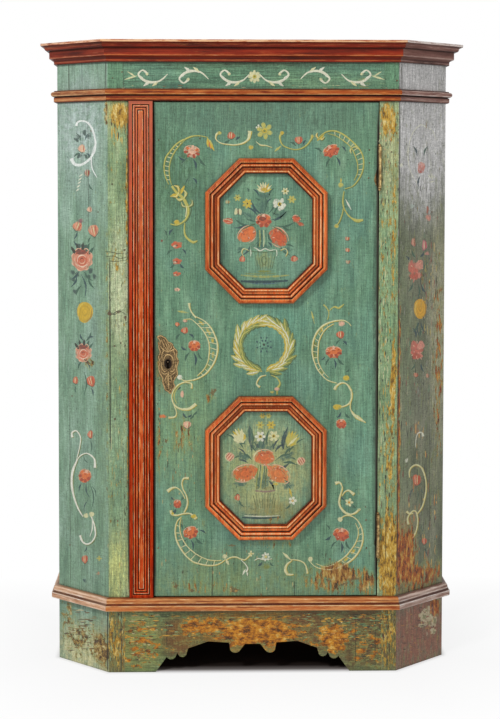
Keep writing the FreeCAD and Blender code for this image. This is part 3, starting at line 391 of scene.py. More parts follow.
def finish(name, pattern, rough, worn_rough=0.7, bump=0.35, inside=None, grime_and_shade=0.7, metal=0.0, gloss=0.4):
    """A material from a pattern group, with eased edges, and grime and painted shade darkening its corners.
    inside is the wood within the case, which the faces that look inwards keep."""
    material, tree = new_material(name)
    ground = node(tree, "ShaderNodeGroup", node_tree=pattern)
    colour = ground.outputs["Color"]
    roughness = rough
    if "Worn" in ground.outputs:
        roughness = node(tree, "ShaderNodeMix",
                         {0: ground.outputs["Worn"], 2: rough, 3: worn_rough}).outputs[0]
    if inside:
        wood = node(tree, "ShaderNodeGroup", node_tree=inside).outputs["Color"]
        place = node(tree, "ShaderNodeTexCoord")
        flat = vectors(tree, "MULTIPLY", place.outputs["Object"], (1, 1, 0))
        faces = node(tree, "ShaderNodeVectorMath", (place.outputs["Normal"], flat),
                     operation="DOT_PRODUCT").outputs["Value"]
        outer = reckon(tree, "GREATER_THAN", faces, 0.02)
        colour = mixed(tree, outer, wood, colour)
    # grime and painted shade: darker brown wherever ambient occlusion finds a corner or crease
    near = node(tree, "ShaderNodeAmbientOcclusion", {"Distance": GRIME_AND_SHADE_REACH * MM}, samples=6).outputs["AO"]
    hollow_dark = ranged(tree, near, 0.8, 0.35, most=grime_and_shade, soft=True)
    colour = mixed(tree, hollow_dark, colour, "#241b10")
    eased = node(tree, "ShaderNodeBevel", {"Radius": EASED_EDGE * MM}, samples=4).outputs[0]
    bumped = node(tree, "ShaderNodeBump", {"Strength": bump, "Distance": PAINT_RELIEF * MM,
                                           "Height": ground.outputs["High"], "Normal": eased}).outputs[0]
    shader = node(tree, "ShaderNodeBsdfPrincipled", {"Base Color": colour, "Roughness": roughness,
                  "Normal": bumped, "Metallic": metal, "Specular IOR Level": gloss})
    node(tree, "ShaderNodeOutputMaterial", {"Surface": shader.outputs[0]})
    return material


# The green grounds: dark, middle, light and greyed tone. Every painted board has its own worn places,
# stains, painted shade and sheen, and cracks, where the photograph shows them.
GREEN = ("#4f735a", "#678e70", "#80a384", "#67938a")
# painted light: the left cant's green is painted paler, as if lit by the lamp
LEFT_GREEN = ("#5f7f6a", "#7a9a80", "#93b09a", "#9fb3ac")
# painted shade and sheen: the right cant's green is painted darker and greyer
RIGHT_GREEN = ("#4f5541", "#70765b", "#8f8f76", "#8b8b7d")
STILE_GREEN = ("#627c58", "#869e74", "#aabb90", "#a3b68d")
FRIEZE_GREEN = ("#43664f", "#5c8264", "#74987a", "#5d8880")
PLINTH_GREEN = ("#3f4c2c", "#647548", "#8c9a6c", "#76805a")

# What shows where that paint is gone, from its darkest to its palest
DOOR_COATS = ("#43301c", "#86592c", "#a5793a", "#b79750", "#c2b27c")
STILE_COATS = ("#6d5222", "#ab822d", "#c59a38", "#d2b35e", "#dccb8c")
LEFT_COATS = ("#40301c", "#6b5230", "#94783e", "#b9a468", "#cac39c")
RIGHT_COATS = ("#43281b", "#8f4a26", "#b2652b", "#c08c3d", "#cfae66")
PLINTH_COATS = ("#503214", "#965a1a", "#c27c20", "#d2922c", "#dfb864")

# Worn places: centre, reach in X, Y and Z, and how worn, in millimetres. Stains, and the painted shade and
# sheen among them, have a tone too. Cracks: X, lowest and highest point, how wide and how wavy.
DOOR_WEAR = [
    ((-262, FRONT, 880), (20, 60, 110), 0.26),
    ((-268, FRONT, 640), (12, 60, 160), 0.18),
    ((-200, FRONT, 680), (60, 60, 90), 0.20),
    ((230, FRONT, 262), (190, 60, 80), 0.22),
    ((-150, FRONT, 244), (210, 60, 44), 0.16),
    ((330, FRONT, 250), (34, 60, 80), 0.20),
    ((250, FRONT, 290), (80, 60, 40), 0.22),
    ((-122, FRONT, 790), (26, 60, 26), 0.26),
    ((-140, FRONT, 480), (14, 60, 190), 0.16),
    ((40, FRONT, 370), (170, 60, 26), 0.12),
    ((60, FRONT, 455), (90, 60, 60), 0.12),
]
DOOR_STAINS_AND_SHADE = [
    ((-220, FRONT, 1440), (150, 60, 300), 1.0, "#507254"),
    # painted shade: darker along the top, under the waist moulding
    ((36, FRONT, 1600), (520, 60, 130), 1.1, "#5b7a64"),
    ((36, FRONT, 1230), (130, 60, 170), 0.5, "#7a9a80"),
    ((-60, FRONT, 250), (420, 60, 150), 0.7, "#7f8f5c"),
    ((-200, FRONT, 700), (130, 60, 320), 0.6, "#87a06c"),
    ((36, FRONT, 580), (180, 60, 210), 1.5, "#a9ae78"),
    ((-40, FRONT, 560), (60, 60, 90), 0.8, "#7f9262"),
    ((110, FRONT, 640), (50, 60, 70), 0.8, "#86905c"),
    ((50, FRONT, 470), (110, 60, 40), 0.9, "#8c8452"),
    ((60, FRONT, 1010), (150, 60, 130), 0.5, "#6aa08c"),
    ((330, FRONT, 700), (60, 60, 700), 0.45, "#7aa88c"),
    ((-262, FRONT, 890), (34, 60, 130), 0.9, "#5f5a36"),
    ((346, FRONT, 900), (10, 60, 900), 0.9, "#3c5240"),
]
DOOR_CRACKS = [
    (-116, 218, 318, 1.6, 3), (119, 218, 262, 1.3, 3), (-279, 220, 1628, 3.0, 1.2),
    (352, 220, 1628, 4.5, 2.5),
]

STILE_WEAR = [
    ((-374, FRONT, 1590), (40, 60, 50), 0.40),
    ((-356, FRONT, 1350), (8, 60, 300), 0.22),
    ((-385, FRONT, 1190), (40, 60, 60), 0.10),
    ((-354, FRONT, 700), (7, 60, 600), 0.16),
    ((380, FRONT, 1580), (40, 60, 80), 0.26),
    ((400, FRONT, 1300), (14, 60, 420), 0.14),
    ((400, FRONT, 850), (14, 60, 160), 0.32),
    ((392, FRONT, 620), (24, 60, 260), 0.16),
    ((375, FRONT, 1200), (30, 60, 400), 0.06),
    ((390, FRONT, 330), (42, 60, 170), 0.56),
    ((-380, FRONT, 300), (50, 60, 130), -0.12),
    ((0, FRONT, 1700), (2000, 60, 60), -0.2),
    ((0, FRONT, 90), (2000, 60, 150), 0.16),
]
STILE_STAINS = [
    ((-380, FRONT, 1590), (60, 60, 60), 1.0, "#c6ac58"),
    ((-376, FRONT, 1110), (50, 60, 270), 1.2, "#c3cba2"),
    ((-390, FRONT, 620), (60, 60, 380), 0.6, "#7fa184"),
    ((-385, FRONT, 300), (50, 60, 150), 1.2, "#bcc27c"),
    ((385, FRONT, 1450), (50, 60, 260), 0.9, "#b9b98a"),
    ((378, FRONT, 1130), (60, 60, 420), 0.9, "#86a67c"),
    ((0, FRONT, 90), (2000, 60, 150), 1.4, "#77683a"),
    ((395, FRONT, 90), (60, 60, 120), 2.2, "#5e4828"),
    ((-385, FRONT, 50), (60, 60, 110), 1.2, "#6f5c36"),
    ((0, FRONT, 1705), (2000, 60, 70), 3.0, "#628a6a"),
]
STILE_CRACKS = [
    (-366, 1640, 1760, 1.4, 1.5), (-376, 0, 190, 1.4, 2), (369, 1640, 1760, 1.4, 1.5),
    (-354, 217, 1631, 2.4, 2), (380, 300, 560, 1.2, 4), (-406, 640, 1195, 2.6, 2),
    (386, 0, 181, 1.4, 2),
]

LEFT_WEAR = [
    ((-415, FRONT, 900), (10, 20, 800), 0.18),
    ((-470, -150, 884), (30, 40, 34), 0.30),
    ((-540, -90, 150), (44, 50, 60), 0.20),
    ((-430, -186, 60), (44, 50, 90), 0.26),
    ((-490, -130, 70), (170, 160, 100), 0.22),
    ((-415, -198, 1600), (16, 24, 60), 0.3),
]
LEFT_STAINS_AND_SHEEN = [
    # painted sheen: paler and bluer over the top
    ((-490, -130, 1560), (200, 160, 230), 1.0, "#a9bab3"),
    ((-425, -190, 900), (44, 60, 900), 0.9, "#7c9676"),
    ((-470, -130, 30), (200, 160, 140), 1.3, "#c9c698"),
    ((-430, -190, 80), (60, 60, 120), 0.7, "#8a7446"),
    ((-490, -130, 420), (160, 120, 260), 0.5, "#6c8c6c"),
]
LEFT_CRACKS = [(-529, 1665, 1741, 1.8, 0.6), (-416, 1665, 1741, 1.8, 0.6), (-415, 0, 181, 2.2, 1.5),
               (-530, 217, 800, 0.9, 4), (-470, 1250, 1631, 0.8, 5)]

RIGHT_WEAR = [
    ((416, FRONT, 700), (12, 26, 700), 0.26),
    ((505, -140, 1130), (40, 60, 150), 0.09),
    ((440, -180, 330), (80, 80, 130), 0.34),
    ((500, -120, 250), (140, 140, 70), 0.24),
    ((540, -90, 150), (36, 40, 50), 0.34),
    ((545, -86, 900), (40, 40, 500), 0.16),
    ((490, -130, 60), (190, 170, 110), 0.02),
]
RIGHT_STAINS_AND_SHEEN = [
    # painted sheen: whitish over the top
    ((490, -130, 1620), (260, 200, 420), 2.2, "#cdccca"),
    ((430, -190, 800), (70, 80, 700), 0.6, "#7d8b68"),
    ((490, -130, 90), (260, 220, 180), 1.5, "#8a5c48"),
    ((430, -190, 340), (90, 80, 150), 0.9, "#c08f48"),
    # painted sheen: paler down the outer edge
    ((545, -86, 980), (70, 60, 460), 1.0, "#adaa8e"),
]
RIGHT_CRACKS = [(414, 217, 1741, 2.0, 1.5), (420, 1665, 1741, 2.2, 0.8), (520, 217, 700, 0.9, 4)]

PLINTH_WEAR = [
    ((-150, FRONT, 132), (90, 60, 40), 0.26),
    ((20, FRONT, 112), (170, 60, 60), 0.34),
    ((232, FRONT, 100), (70, 60, 70), 0.26),
    ((-320, FRONT, 80), (70, 60, 90), 0.12),
    ((340, FRONT, 70), (90, 60, 90), 0.08),
    ((0, FRONT, 172), (420, 60, 16), -0.10),
]
PLINTH_STAINS_AND_SHADE = [
    ((-212, FRONT, 100), (80, 60, 80), 2.2, "#6a4c28"),
    ((0, FRONT, 120), (280, 60, 100), 2.0, "#8e6a2a"),
    ((150, FRONT, 110), (90, 60, 110), 2.2, "#74512a"),
    ((310, FRONT, 100), (190, 60, 140), 2.0, "#63502c"),
    ((-320, FRONT, 90), (90, 60, 110), 1.2, "#8f8c48"),
    # painted shade: dark band under the base moulding
    ((0, FRONT, 185), (500, 60, 22), 0.9, "#3c4a30"),
]
PLINTH_CRACKS = [(296, 20, 170, 1.2, 3), (-246, 70, 150, 1.0, 3), (352, 10, 165, 1.3, 4)]

FRIEZE_WEAR = [
    ((-395, FRONT, 1700), (26, 60, 60), 0.12),
    ((330, FRONT, 1680), (120, 60, 30), 0.12),
]
FRIEZE_STAINS_AND_SHADE = [
    # painted shade: dark band under the cornice
    ((0, FRONT, 1741), (600, 60, 26), 0.9, "#43583f"),
    ((200, FRONT, 1690), (240, 60, 40), 0.5, "#7a9a70"),
]

SIDE_WEAR = [
    ((-565, -60, 900), (30, 26, 900), 0.16),
    ((565, -60, 900), (30, 26, 900), 0.18),
    ((-565, 90, 0), (60, 420, 100), 0.24),
    ((565, 90, 0), (60, 420, 100), 0.26),
    ((565, 60, 900), (60, 160, 500), 0.08),
]

door_ground = worn_green("door_ground", GREEN, DOOR_COATS, -0.02, DOOR_WEAR, DOOR_STAINS_AND_SHADE, DOOR_CRACKS,
                         dashes=0.3)
stile_ground = worn_green("stile_ground", STILE_GREEN, STILE_COATS, 0.06, STILE_WEAR, STILE_STAINS,
                          STILE_CRACKS, tint=0.2, patch=(6, 26), dashes=1.1, depth=1.5)
left_ground = worn_green("left_cant_ground", LEFT_GREEN, LEFT_COATS, -0.03, LEFT_WEAR, LEFT_STAINS_AND_SHEEN,
                         LEFT_CRACKS, patch=(15, 20), dashes=0.3)
right_ground = worn_green("right_cant_ground", RIGHT_GREEN, RIGHT_COATS, 0.03, RIGHT_WEAR, RIGHT_STAINS_AND_SHEEN,
                          RIGHT_CRACKS, dashes=1.2, depth=1.35)
frieze_ground = worn_green("frieze_ground", FRIEZE_GREEN, DOOR_COATS, -0.04, FRIEZE_WEAR, FRIEZE_STAINS_AND_SHADE,
                           upright=False, tint=0.2, dashes=0.8, depth=1.7)
left_frieze_ground = worn_green("left_frieze_ground", LEFT_GREEN, LEFT_COATS, -0.04, (), LEFT_STAINS_AND_SHEEN,
                                LEFT_CRACKS)
right_frieze_ground = worn_green("right_frieze_ground", RIGHT_GREEN, RIGHT_COATS, -0.04, (), RIGHT_STAINS_AND_SHEEN,
                                 RIGHT_CRACKS, dashes=1.2)
plinth_ground = worn_green("plinth_ground", PLINTH_GREEN, PLINTH_COATS, 0.10, PLINTH_WEAR, PLINTH_STAINS_AND_SHADE,
                           PLINTH_CRACKS, upright=False, patch=(14, 30), dashes=1.1, depth=1.6)
side_ground = worn_green("side_ground", LEFT_GREEN, LEFT_COATS, -0.01, SIDE_WEAR)
wood_up = bare_spruce("spruce_upright")
wood_across = bare_spruce("spruce_across", upright=False)
wood_deep = bare_spruce("spruce_deep", upright=False, turn=math.pi / 2)

# Oil paint on planed spruce, dull and dry. Within the case the same boards are bare.
PAINTED = {
    # even cool green that is barely crazed, rubbed to ochre beside the lock and along the foot
    "painted_door_boards": (door_ground, wood_up, ("door_board_left", "door_board_middle",
                                                   "door_board_right")),
    # paler yellow-green, full of short splits, that flakes to ochre along its edges
    "painted_stiles": (stile_ground, wood_up, ("stile_left", "stile_right")),
    # pale blue-green, painted paler as if in the lamp's light, worn only at its edges and its foot
    "painted_left_cant": (left_ground, wood_up, ("cant_board_left",)),
    # green partly gone grey, painted darker and greyer as shade and sheen, rubbed to red-brown and ochre
    # below
    "painted_right_cant": (right_ground, wood_up, ("cant_board_right",)),
    # darker green across the front, a quiet ground for the cream flourish
    "painted_frieze": (frieze_ground, wood_across, ("frieze_front",)),
    # that band's two ends, each in the tone of the board below it
    "painted_left_frieze": (left_frieze_ground, wood_up, ("cant_frieze_left",)),
    "painted_right_frieze": (right_frieze_ground, wood_up, ("cant_frieze_right",)),
    # green broken down to brown and orange coats, as feet and mops leave it
    "painted_plinth": (plinth_ground, wood_across, ("plinth_front",)),
    # plain pale green, worn along the front edge and the foot
    "painted_sides": (side_ground, wood_up, ("side_wall_left", "side_wall_right")),
}

# Planed spruce that was never painted: warm, matt and full of knots, so that the inside and the back
# read as the wood below the paint. Only its grain runs another way from board to board.
BARE = {
    "spruce_back_boards": (wood_up, ("back_board_1", "back_board_2", "back_board_3", "back_board_4")),
    "spruce_shelves": (wood_across, ("shelf_lower", "shelf_middle", "shelf_upper", "floor_board",
                                     "top_board", "door_batten_lower", "door_batten_upper",
                                     "door_stop")),
    "spruce_battens": (wood_deep, ("shelf_battens_lower", "shelf_battens_middle",
                                   "shelf_battens_upper", "floor_battens")),
}


def dress(material, names):
    """Gives the material to CAD pieces."""
    for name in names:
        for slot in NODES[name].material_slots:
            slot.material = material


for name, (ground, wood, names) in PAINTED.items():
    dress(finish(name, ground, rough=0.46, worn_rough=0.62, inside=wood), names)
for name, (ground, names) in BARE.items():
    dress(finish(name, ground, rough=0.68, grime_and_shade=0.3), names)

# The red mouldings: groove, middle, light, rubbed and bare tone
RED = ("#541608", "#8c2810", "#a63c1e", "#c4703e", "#e6b88c")
WAIST_RED = ("#56180a", "#8c3210", "#aa4c1e", "#cf7c3c", "#ecb878")
BASE_RED = ("#7c341a", "#b45626", "#ca743c", "#e4a262", "#f4d3a0")
FRAME_RED = ("#7e2808", "#b84818", "#d4662e", "#e89a58", "#f8d2a0")
STRIP_RED = ("#661402", "#ac2a04", "#d2400c", "#ea8446", "#f8d4ac")
# painted light: the left cant's lengths, the cornice's painted darker and the waist's and base's paler
LEFT_DARK = ("#451208", "#7c2a16", "#96402a", "#b87050", "#dcb090")
LEFT_WAIST = ("#5c2414", "#97502c", "#ae6a40", "#d09a68", "#ecc898")
LEFT_BASE = ("#9a664a", "#cc9670", "#e0b090", "#f2d0b2", "#faeade")
# painted sheen: the right cant's lengths in grey pink, partly faded and partly as painted sheen
RIGHT_FADED_AND_SHEEN = ("#43231c", "#7c5248", "#9c7468", "#c4a498", "#ece0d8")
RIGHT_BASE = ("#4e2c22", "#8e685a", "#b09484", "#dcc6b8", "#f8f2ee")

# Across each profile: millimetres from its edge, how rubbed (with painted light) and how dark (painted
# shade)
CORNICE_ACROSS = [(0, 0.2, 0.5), (5, 0.6, 0), (8, 0, 0.7), (15, 0.2, 0.2), (17, 0.9, 0), (21, 0.2, 0),
                  (35, 0.1, 0), (37.5, 0.1, 0.9), (41, 0.1, 0.2), (47, 0.5, 0), (51.5, 0, 0.5),
                  (53, 1.15, 0), (59, 1.0, 0)]
WAIST_ACROSS = [(0, 0, 0.9), (3, 0.3, 0.1), (6, 0.6, 0), (12, 0.2, 0.1), (14.5, 0, 1), (17, 0, 0.9),
                (19, 1.1, 0), (22, 0.4, 0), (27, 0.4, 0), (30, 0.8, 0), (32, 0, 0.6), (34, 0.3, 0.2)]
BASE_ACROSS = [(0, 0.2, 0.6), (2, 0.9, 0), (5, 0.4, 0), (13, 0.4, 0), (15.5, 1.1, 0), (17.5, 0, 0.9),
               (20.5, 0, 0.7), (22.5, 0.9, 0), (28, 0.3, 0.1), (33, 0.8, 0), (36, 0.2, 0.4)]
FRAME_ACROSS = [(0, 0.3, 0.5), (1.5, 0.8, 0), (4, 0.2, 0), (10, 0.4, 0), (12, 0.9, 0), (13, 0, 1),
                (14.4, 0, 1), (16, 0.3, 0), (18.6, 0.3, 0), (20.4, 1.0, 0), (22.5, 0.2, 0), (24, 0, 1),
                (25.4, 0, 1), (27, 0.4, 0), (31, 0.3, 0), (32.6, 0, 0.9), (34.2, 0.3, 0), (37, 1.0, 0),
                (39.6, 0.3, 0), (41, 0, 0.9), (43, 0, 0.8)]
STRIP_ACROSS = [(0, 0.2, 0.6), (2, 0.3, 0.1), (6, 0.1, 0), (9, 0.5, 0), (10, 0, 1), (11.8, 0, 1),
                (13, 1.15, 0), (14.8, 0.4, 0), (17.2, 0, 0.1), (17.8, 0, 0.9), (19, 0, 0.9),
                (20.4, 0.8, 0), (24, 0.2, 0), (25.2, 0, 0.8), (26.4, 0, 0.8), (28, 1.1, 0),
                (30.4, 0.4, 0), (34, 0.6, 0)]

# How far each length of a moulding is turned from the front, and each moulding's foot in millimetres,
# its profile, its tones and how worn it is
RUNS = {"front": 0.0, "cant_left": -CANT_TURN, "cant_right": CANT_TURN, "side_left": math.pi / 2,
        "side_right": math.pi / 2}
MOULDINGS = {
    "cornice": (1741, CORNICE_ACROSS,
                {"front": RED, "left": LEFT_DARK, "right": RIGHT_FADED_AND_SHEEN}, 0.0),
    "waist_moulding": (1631, WAIST_ACROSS,
                       {"front": WAIST_RED, "left": LEFT_WAIST, "right": RIGHT_FADED_AND_SHEEN}, 0.04),
    "base_moulding": (181, BASE_ACROSS,
                      {"front": BASE_RED, "left": LEFT_BASE, "right": RIGHT_BASE}, 0.06),
}

# Satin red-brown paint, rubbed pale on every ridge with a painted highlight, and painted black-red in
# the grooves as painted shade, so that the profiles read from far off. The left and right lengths are lit
# and shaded copies: the left ones painted as the lamp lights them, and the right ones grey pink, partly
# bleached and partly as painted sheen.
for moulding, (foot, profile, tones, wear) in MOULDINGS.items():
    for run, turn in RUNS.items():
        pattern = worn_red(f"{moulding}_{run}_pattern", tones[run.split("_")[-1]], up_from(foot), profile,
                           upright=False, turn=turn, wear=wear)
        dress(finish(f"red_{moulding}_{run}", pattern, rough=0.46, grime_and_shade=0.6, gloss=0.2),
              (f"{moulding}_{run}",))

# The clearest red of all, faded towards the top, in fine reeds down the left stile, with painted shade in
# their grooves
strip_pattern = worn_red("strip_pattern", STRIP_RED, inside_strip, STRIP_ACROSS, wear=0.0,
                         faded=(1020, 1640, 0.7, "#c2735a"))
dress(finish("red_reeds", strip_pattern, rough=0.5, grime_and_shade=0.8, gloss=0.08), ("reeded_strip",))

# Orange-red frames, rubbed nearly bare where hands and cloths went over them, and painted brighter on some
# sides as painted highlight
FRAMES_WORN_AND_LIT = [
    ((192, FRONT, 1265), (60, 60, 230), 1.0),
    ((192, FRONT, 589), (60, 60, 230), 0.6),
    ((30, FRONT, 404), (220, 60, 90), 1.5),
    ((-110, FRONT, 440), (70, 60, 90), 0.6),
    ((60, FRONT, 1080), (190, 60, 80), 0.8),
    ((-116, FRONT, 589), (60, 60, 230), 0.8),
]
frame_pattern = worn_red("frame_pattern", FRAME_RED, inside_octagon, FRAME_ACROSS, wear=0.03,
                         places=FRAMES_WORN_AND_LIT)
dress(finish("red_octagon_frames", frame_pattern, rough=0.46, grime_and_shade=0.8, gloss=0.2),
      ("octagon_frame_lower", "octagon_frame_upper"))


def worked_metal(name, tones, size, rough, shine, hollow_dark, raised=None, shaded_places=()):
    """The first tone in its hollows, the second between and the third where hands rub it. raised gives,
    in millimetres off the door's face, where the hollows end and where the rubbed tops start. Its
    shaded places are painted dark all over, as painted shade."""
    tree = new_group(name + "_pattern", "Worn", "High")
    grown = noises(tree, {"patch": (size, size, 5, 0.6), "pit": (1.2, 1.2, 3, 0.6)})
    hollow, middle, rubbed = (linear(tone) for tone in tones)
    out = node(tree, "ShaderNodeAmbientOcclusion", {"Distance": HOLLOW_REACH * MM}, samples=6,
               only_local=True).outputs["AO"]
    deep = ranged(tree, out, 0.9, 0.5, most=hollow_dark, soft=True)
    bright = ranged(tree, grown["patch"], 0.4, 0.62, soft=True)
    if raised:
        parts = place_parts(tree)
        low, high = (FRONT * MM - proud * MM for proud in raised)
        sunk = ranged(tree, parts["Y"], high, low, soft=True)
        # worn gilding is left in flecks between the ridges too
        flecked = ranged(tree, grown["pit"], 0.44, 0.58, 1.0, 0.35)
        sunk = reckon(tree, "MULTIPLY", sunk, flecked)
        deep = reckon(tree, "MAXIMUM", deep, sunk)
        bright = ranged(tree, grown["patch"], 0.3, 0.5, soft=True)
    for centre, reach, strength in shaded_places:
        deep = reckon(tree, "MAXIMUM", deep, near_place(tree, centre, reach, strength), use_clamp=True)
    colour = mixed(tree, bright, middle, rubbed)
    colour = mixed(tree, deep, colour, hollow)
    node(tree, "NodeGroupOutput", {"Color": colour, "Worn": deep, "High": grown["pit"]})
    return finish(name, tree, rough, 0.75, bump=0.4, grime_and_shade=0.2, metal=shine, gloss=0.5)


# Forged iron: dull brown-black, so that the lock and the nails stay quiet. The hinges' iron is rubbed
# to a warm shine, partly a painted highlight, and painted dark on the door's side as painted shade.
# Stamped brass sheet: dark hollows and the last gilding on the ridges, and painted shade about the
# keyhole.
HINGE_SHADE = [((350.5, -206, z), (7.5, 30, 150), 1.1) for z in (1445, 395)]
KEYHOLE_SHADE = [((KEYHOLE[0], FRONT, KEYHOLE[1] - 5), (19, 14, 27), 1.5)]
old_iron = worked_metal("forged_iron", ("#17110c", "#4a3b2c", "#7c6a52"), 9, 0.48, 0.6, 0.8)
hinge_iron = worked_metal("rubbed_hinge_iron", ("#1c130b", "#7c6036", "#cfb277"), 9, 0.42, 0.6, 0.8,
                          shaded_places=HINGE_SHADE)
old_brass = worked_metal("stamped_brass", ("#22160c", "#664a28", "#bb9c6a"), 4, 0.38, 0.6, 0.95,
                         (1.0, 1.8), KEYHOLE_SHADE)
dress(hinge_iron, ("hinge_lower_door_half", "hinge_lower_frame_half", "hinge_upper_door_half",
                   "hinge_upper_frame_half", "hinge_pins"))
dress(old_iron, ("lock_bolt", "lock_case", "lock_drill_pin", "lock_keeper", "lock_nails"))
dress(old_brass, ("keyhole_plate", "keyhole_plate_nails"))


class Board:
    """A painted face: a point of it, and the way that it faces. Places on it are pixels of the photograph."""

    def __init__(self, x, y, out):
        self.point = Vector((x, y, 0)) * MM
        self.out = Vector(out).normalized()

    def at(self, px, py, proud):
        """The point of the board that the camera sees at this pixel, raised by proud metres."""
        ray = FORWARD + RIGHT * ((px - CENTRE_X) / FOCAL) - UP * ((py - CENTRE_Y) / FOCAL)
        reach = (self.point - EYE).dot(self.out) / ray.dot(self.out)
        return EYE + ray * reach + self.out * proud


class Bench:
    """Where a stroke that repeats is painted: a metre long in X and a metre wide in Y."""

    def at(self, x, y, proud):
        return Vector((x, y, proud))


ON_FRONT = Board(0, FRONT, (0, -1, 0))
ON_LEFT = Board(-FRONT_HALF, FRONT, (-math.sin(CANT_TURN), -math.cos(CANT_TURN), 0))
ON_RIGHT = Board(FRONT_HALF, FRONT, (math.sin(CANT_TURN), -math.cos(CANT_TURN), 0))


def smooth_line(points, steps):
    """A Catmull-Rom line through points."""
    ends = [points[0]] + list(points) + [points[-1]]
    line = []
    for i in range(1, len(ends) - 2):
        a, b, c, d = (Vector(p) for p in ends[i - 1:i + 3])
        for k in range(steps):
            t = k / steps
            line.append(0.5 * ((2 * b) + (c - a) * t + (2 * a - 5 * b + 4 * c - d) * t * t
                               + (3 * b - a - 3 * c + d) * t * t * t))
    line.append(Vector(points[-1]))
    return line


def drawn_along(points, widths, steps):
    """The places along a smooth line: each with the one before it, the way across, and half its width."""
    line = smooth_line(points, steps)
    for i, here in enumerate(line):
        before, after = line[max(i - 1, 0)], line[min(i + 1, len(line) - 1)]
        way = (after - before).normalized() if (after - before).length > 1e-6 else Vector((1, 0))
        share = i / (len(line) - 1) * (len(widths) - 1)
        k = min(int(share), len(widths) - 2)
        half = (widths[k] + (widths[k + 1] - widths[k]) * (share - k)) / 2
        yield here, before, Vector((-way.y, way.x)), half


def skin(rings):
    """The faces round a row of rings of points, closed at both ends."""
    faces = [tuple(rings[0])]
    for seen, ring in zip(rings, rings[1:]):
        for k in range(len(ring)):
            after = (k + 1) % len(ring)
            faces.append((seen[k], ring[k], ring[after], seen[after]))
    return faces + [tuple(reversed(rings[-1]))]


def turned(x, y, dx, dy, turn):
    """The place that lies dx, dy from x, y after a turn in degrees."""
    turn = math.radians(turn)
    return x + dx * math.cos(turn) - dy * math.sin(turn), y + dx * math.sin(turn) + dy * math.cos(turn)


class Paintwork:
    """The brush strokes on one board, as one thin mesh. Sizes and places are pixels of the photograph."""

    LAYER = 0.16 * MM
    SUNK = -0.15 * MM

    def __init__(self, board, seed, finest=0.12):
        self.board = board
        self.finest = finest
        self.points = []
        self.faces = []
        self.paint = []
        self.stroke_of = []
        self.count = 0
        self.chance = random.Random(seed)

    def add(self, px, py, high, edge, along, thin, colour):
        self.points.append(self.board.at(px, py, high))
        self.paint.append(linear(colour) if isinstance(colour, str) else colour)
        self.stroke_of.append((edge, along, thin))
        return len(self.points) - 1

    def height(self, level):
        self.count += 1
        return self.LAYER * (1 + level) + 0.004 * MM * (self.count % 12)

    def stroke(self, colour, points, widths, level=0, thin=0.0, steps=5):
        """One pull of the brush along points. Its width follows the widths from end to end."""
        high = self.height(level)
        rings, along = [], self.chance.uniform(0, 50)
        for here, before, side, half in drawn_along(points, widths, steps):
            half = max(half * (1 + 0.10 * self.chance.uniform(-1, 1)), self.finest)
            along += (here - before).length
            ring = []
            for edge, reach, lift in ((1, 1, self.SUNK), (0.6, 0.6, high), (0, 0, high),
                                      (0.6, -0.6, high), (1, -1, self.SUNK)):
                spot = here + side * half * reach
                ring.append(self.add(spot.x, spot.y, lift, edge, along, thin, colour))
            rings.append(ring)
        self.faces += skin(rings)

    def dab(self, colour, x, y, wide, high_px, turn=0, lobes=0, lobe=0.0, level=0, thin=0.0, wobble=0.05):
        """A filled spot: half sizes wide and high_px, turned by degrees, with round lobes to its rim."""
        high = self.height(level)
        around = 22
        phase = self.chance.uniform(0, 6)
        along = self.chance.uniform(0, 50)
        middle = self.add(x, y, high, 0, along, thin, colour)
        rings = []
        for share, lift in ((0.72, high), (1.0, self.SUNK)):
            ring = []
            for k in range(around):
                angle = 2 * math.pi * k / around
                reach = share * (1 + lobe * math.cos(lobes * angle + phase)
                                 + wobble * math.sin(3 * angle + phase))
                spot = turned(x, y, wide * reach * math.cos(angle), high_px * reach * math.sin(angle), turn)
                ring.append(self.add(*spot, lift, share, along + 3 * math.sin(angle), thin, colour))
            rings.append(ring)
        top, rim = rings
        for k in range(around):
            after = (k + 1) % around
            self.faces.append((middle, top[after], top[k]))
            self.faces.append((top[k], top[after], rim[after], rim[k]))
        self.faces.append(tuple(rim))

    def arc(self, colour, x, y, wide, high_px, start, end, turn, widths, level=1, thin=0.0):
        """A stroke along part of an oval, from angle start to end in degrees."""
        points = []
        for k in range(6):
            angle = math.radians(start + (end - start) * k / 5)
            points.append(turned(x, y, wide * math.cos(angle), high_px * math.sin(angle), turn))
        self.stroke(colour, points, widths, level, thin, steps=2)

    def mesh(self, name):
        """The strokes as one mesh, with each point's colour and place in its stroke."""
        mesh = drawn_mesh(name, self.points, self.faces)
        paint = mesh.attributes.new("paint", "FLOAT_COLOR", "POINT")
        stroke = mesh.attributes.new("stroke", "FLOAT_VECTOR", "POINT")
        for i, (colour, what) in enumerate(zip(self.paint, self.stroke_of)):
            paint.data[i].color = colour
            stroke.data[i].vector = what
        mesh.validate()
        mesh.update()
        return mesh

    def piece(self, name, body, material):
        """The strokes as a piece that rides on its body."""
        made = placed(name, self.mesh(name))
        made.data.materials.append(material)
        outwards(made)
        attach(made, body)


def drawn_mesh(name, points, faces=()):
    """A mesh from points and faces."""
    mesh = bpy.data.meshes.new(name)
    mesh.from_pydata(points, [], faces)
    return mesh


def placed(name, data):
    """A new object in the scene."""
    made = bpy.data.objects.new(name, data)
    bpy.context.scene.collection.objects.link(made)
    return made


def outwards(made):
    """Turns every closed shell's faces outwards."""
    shape = bmesh.new()
    shape.from_mesh(made.data)
    bmesh.ops.recalc_face_normals(shape, faces=shape.faces)
    shape.to_mesh(made.data)
    shape.free()


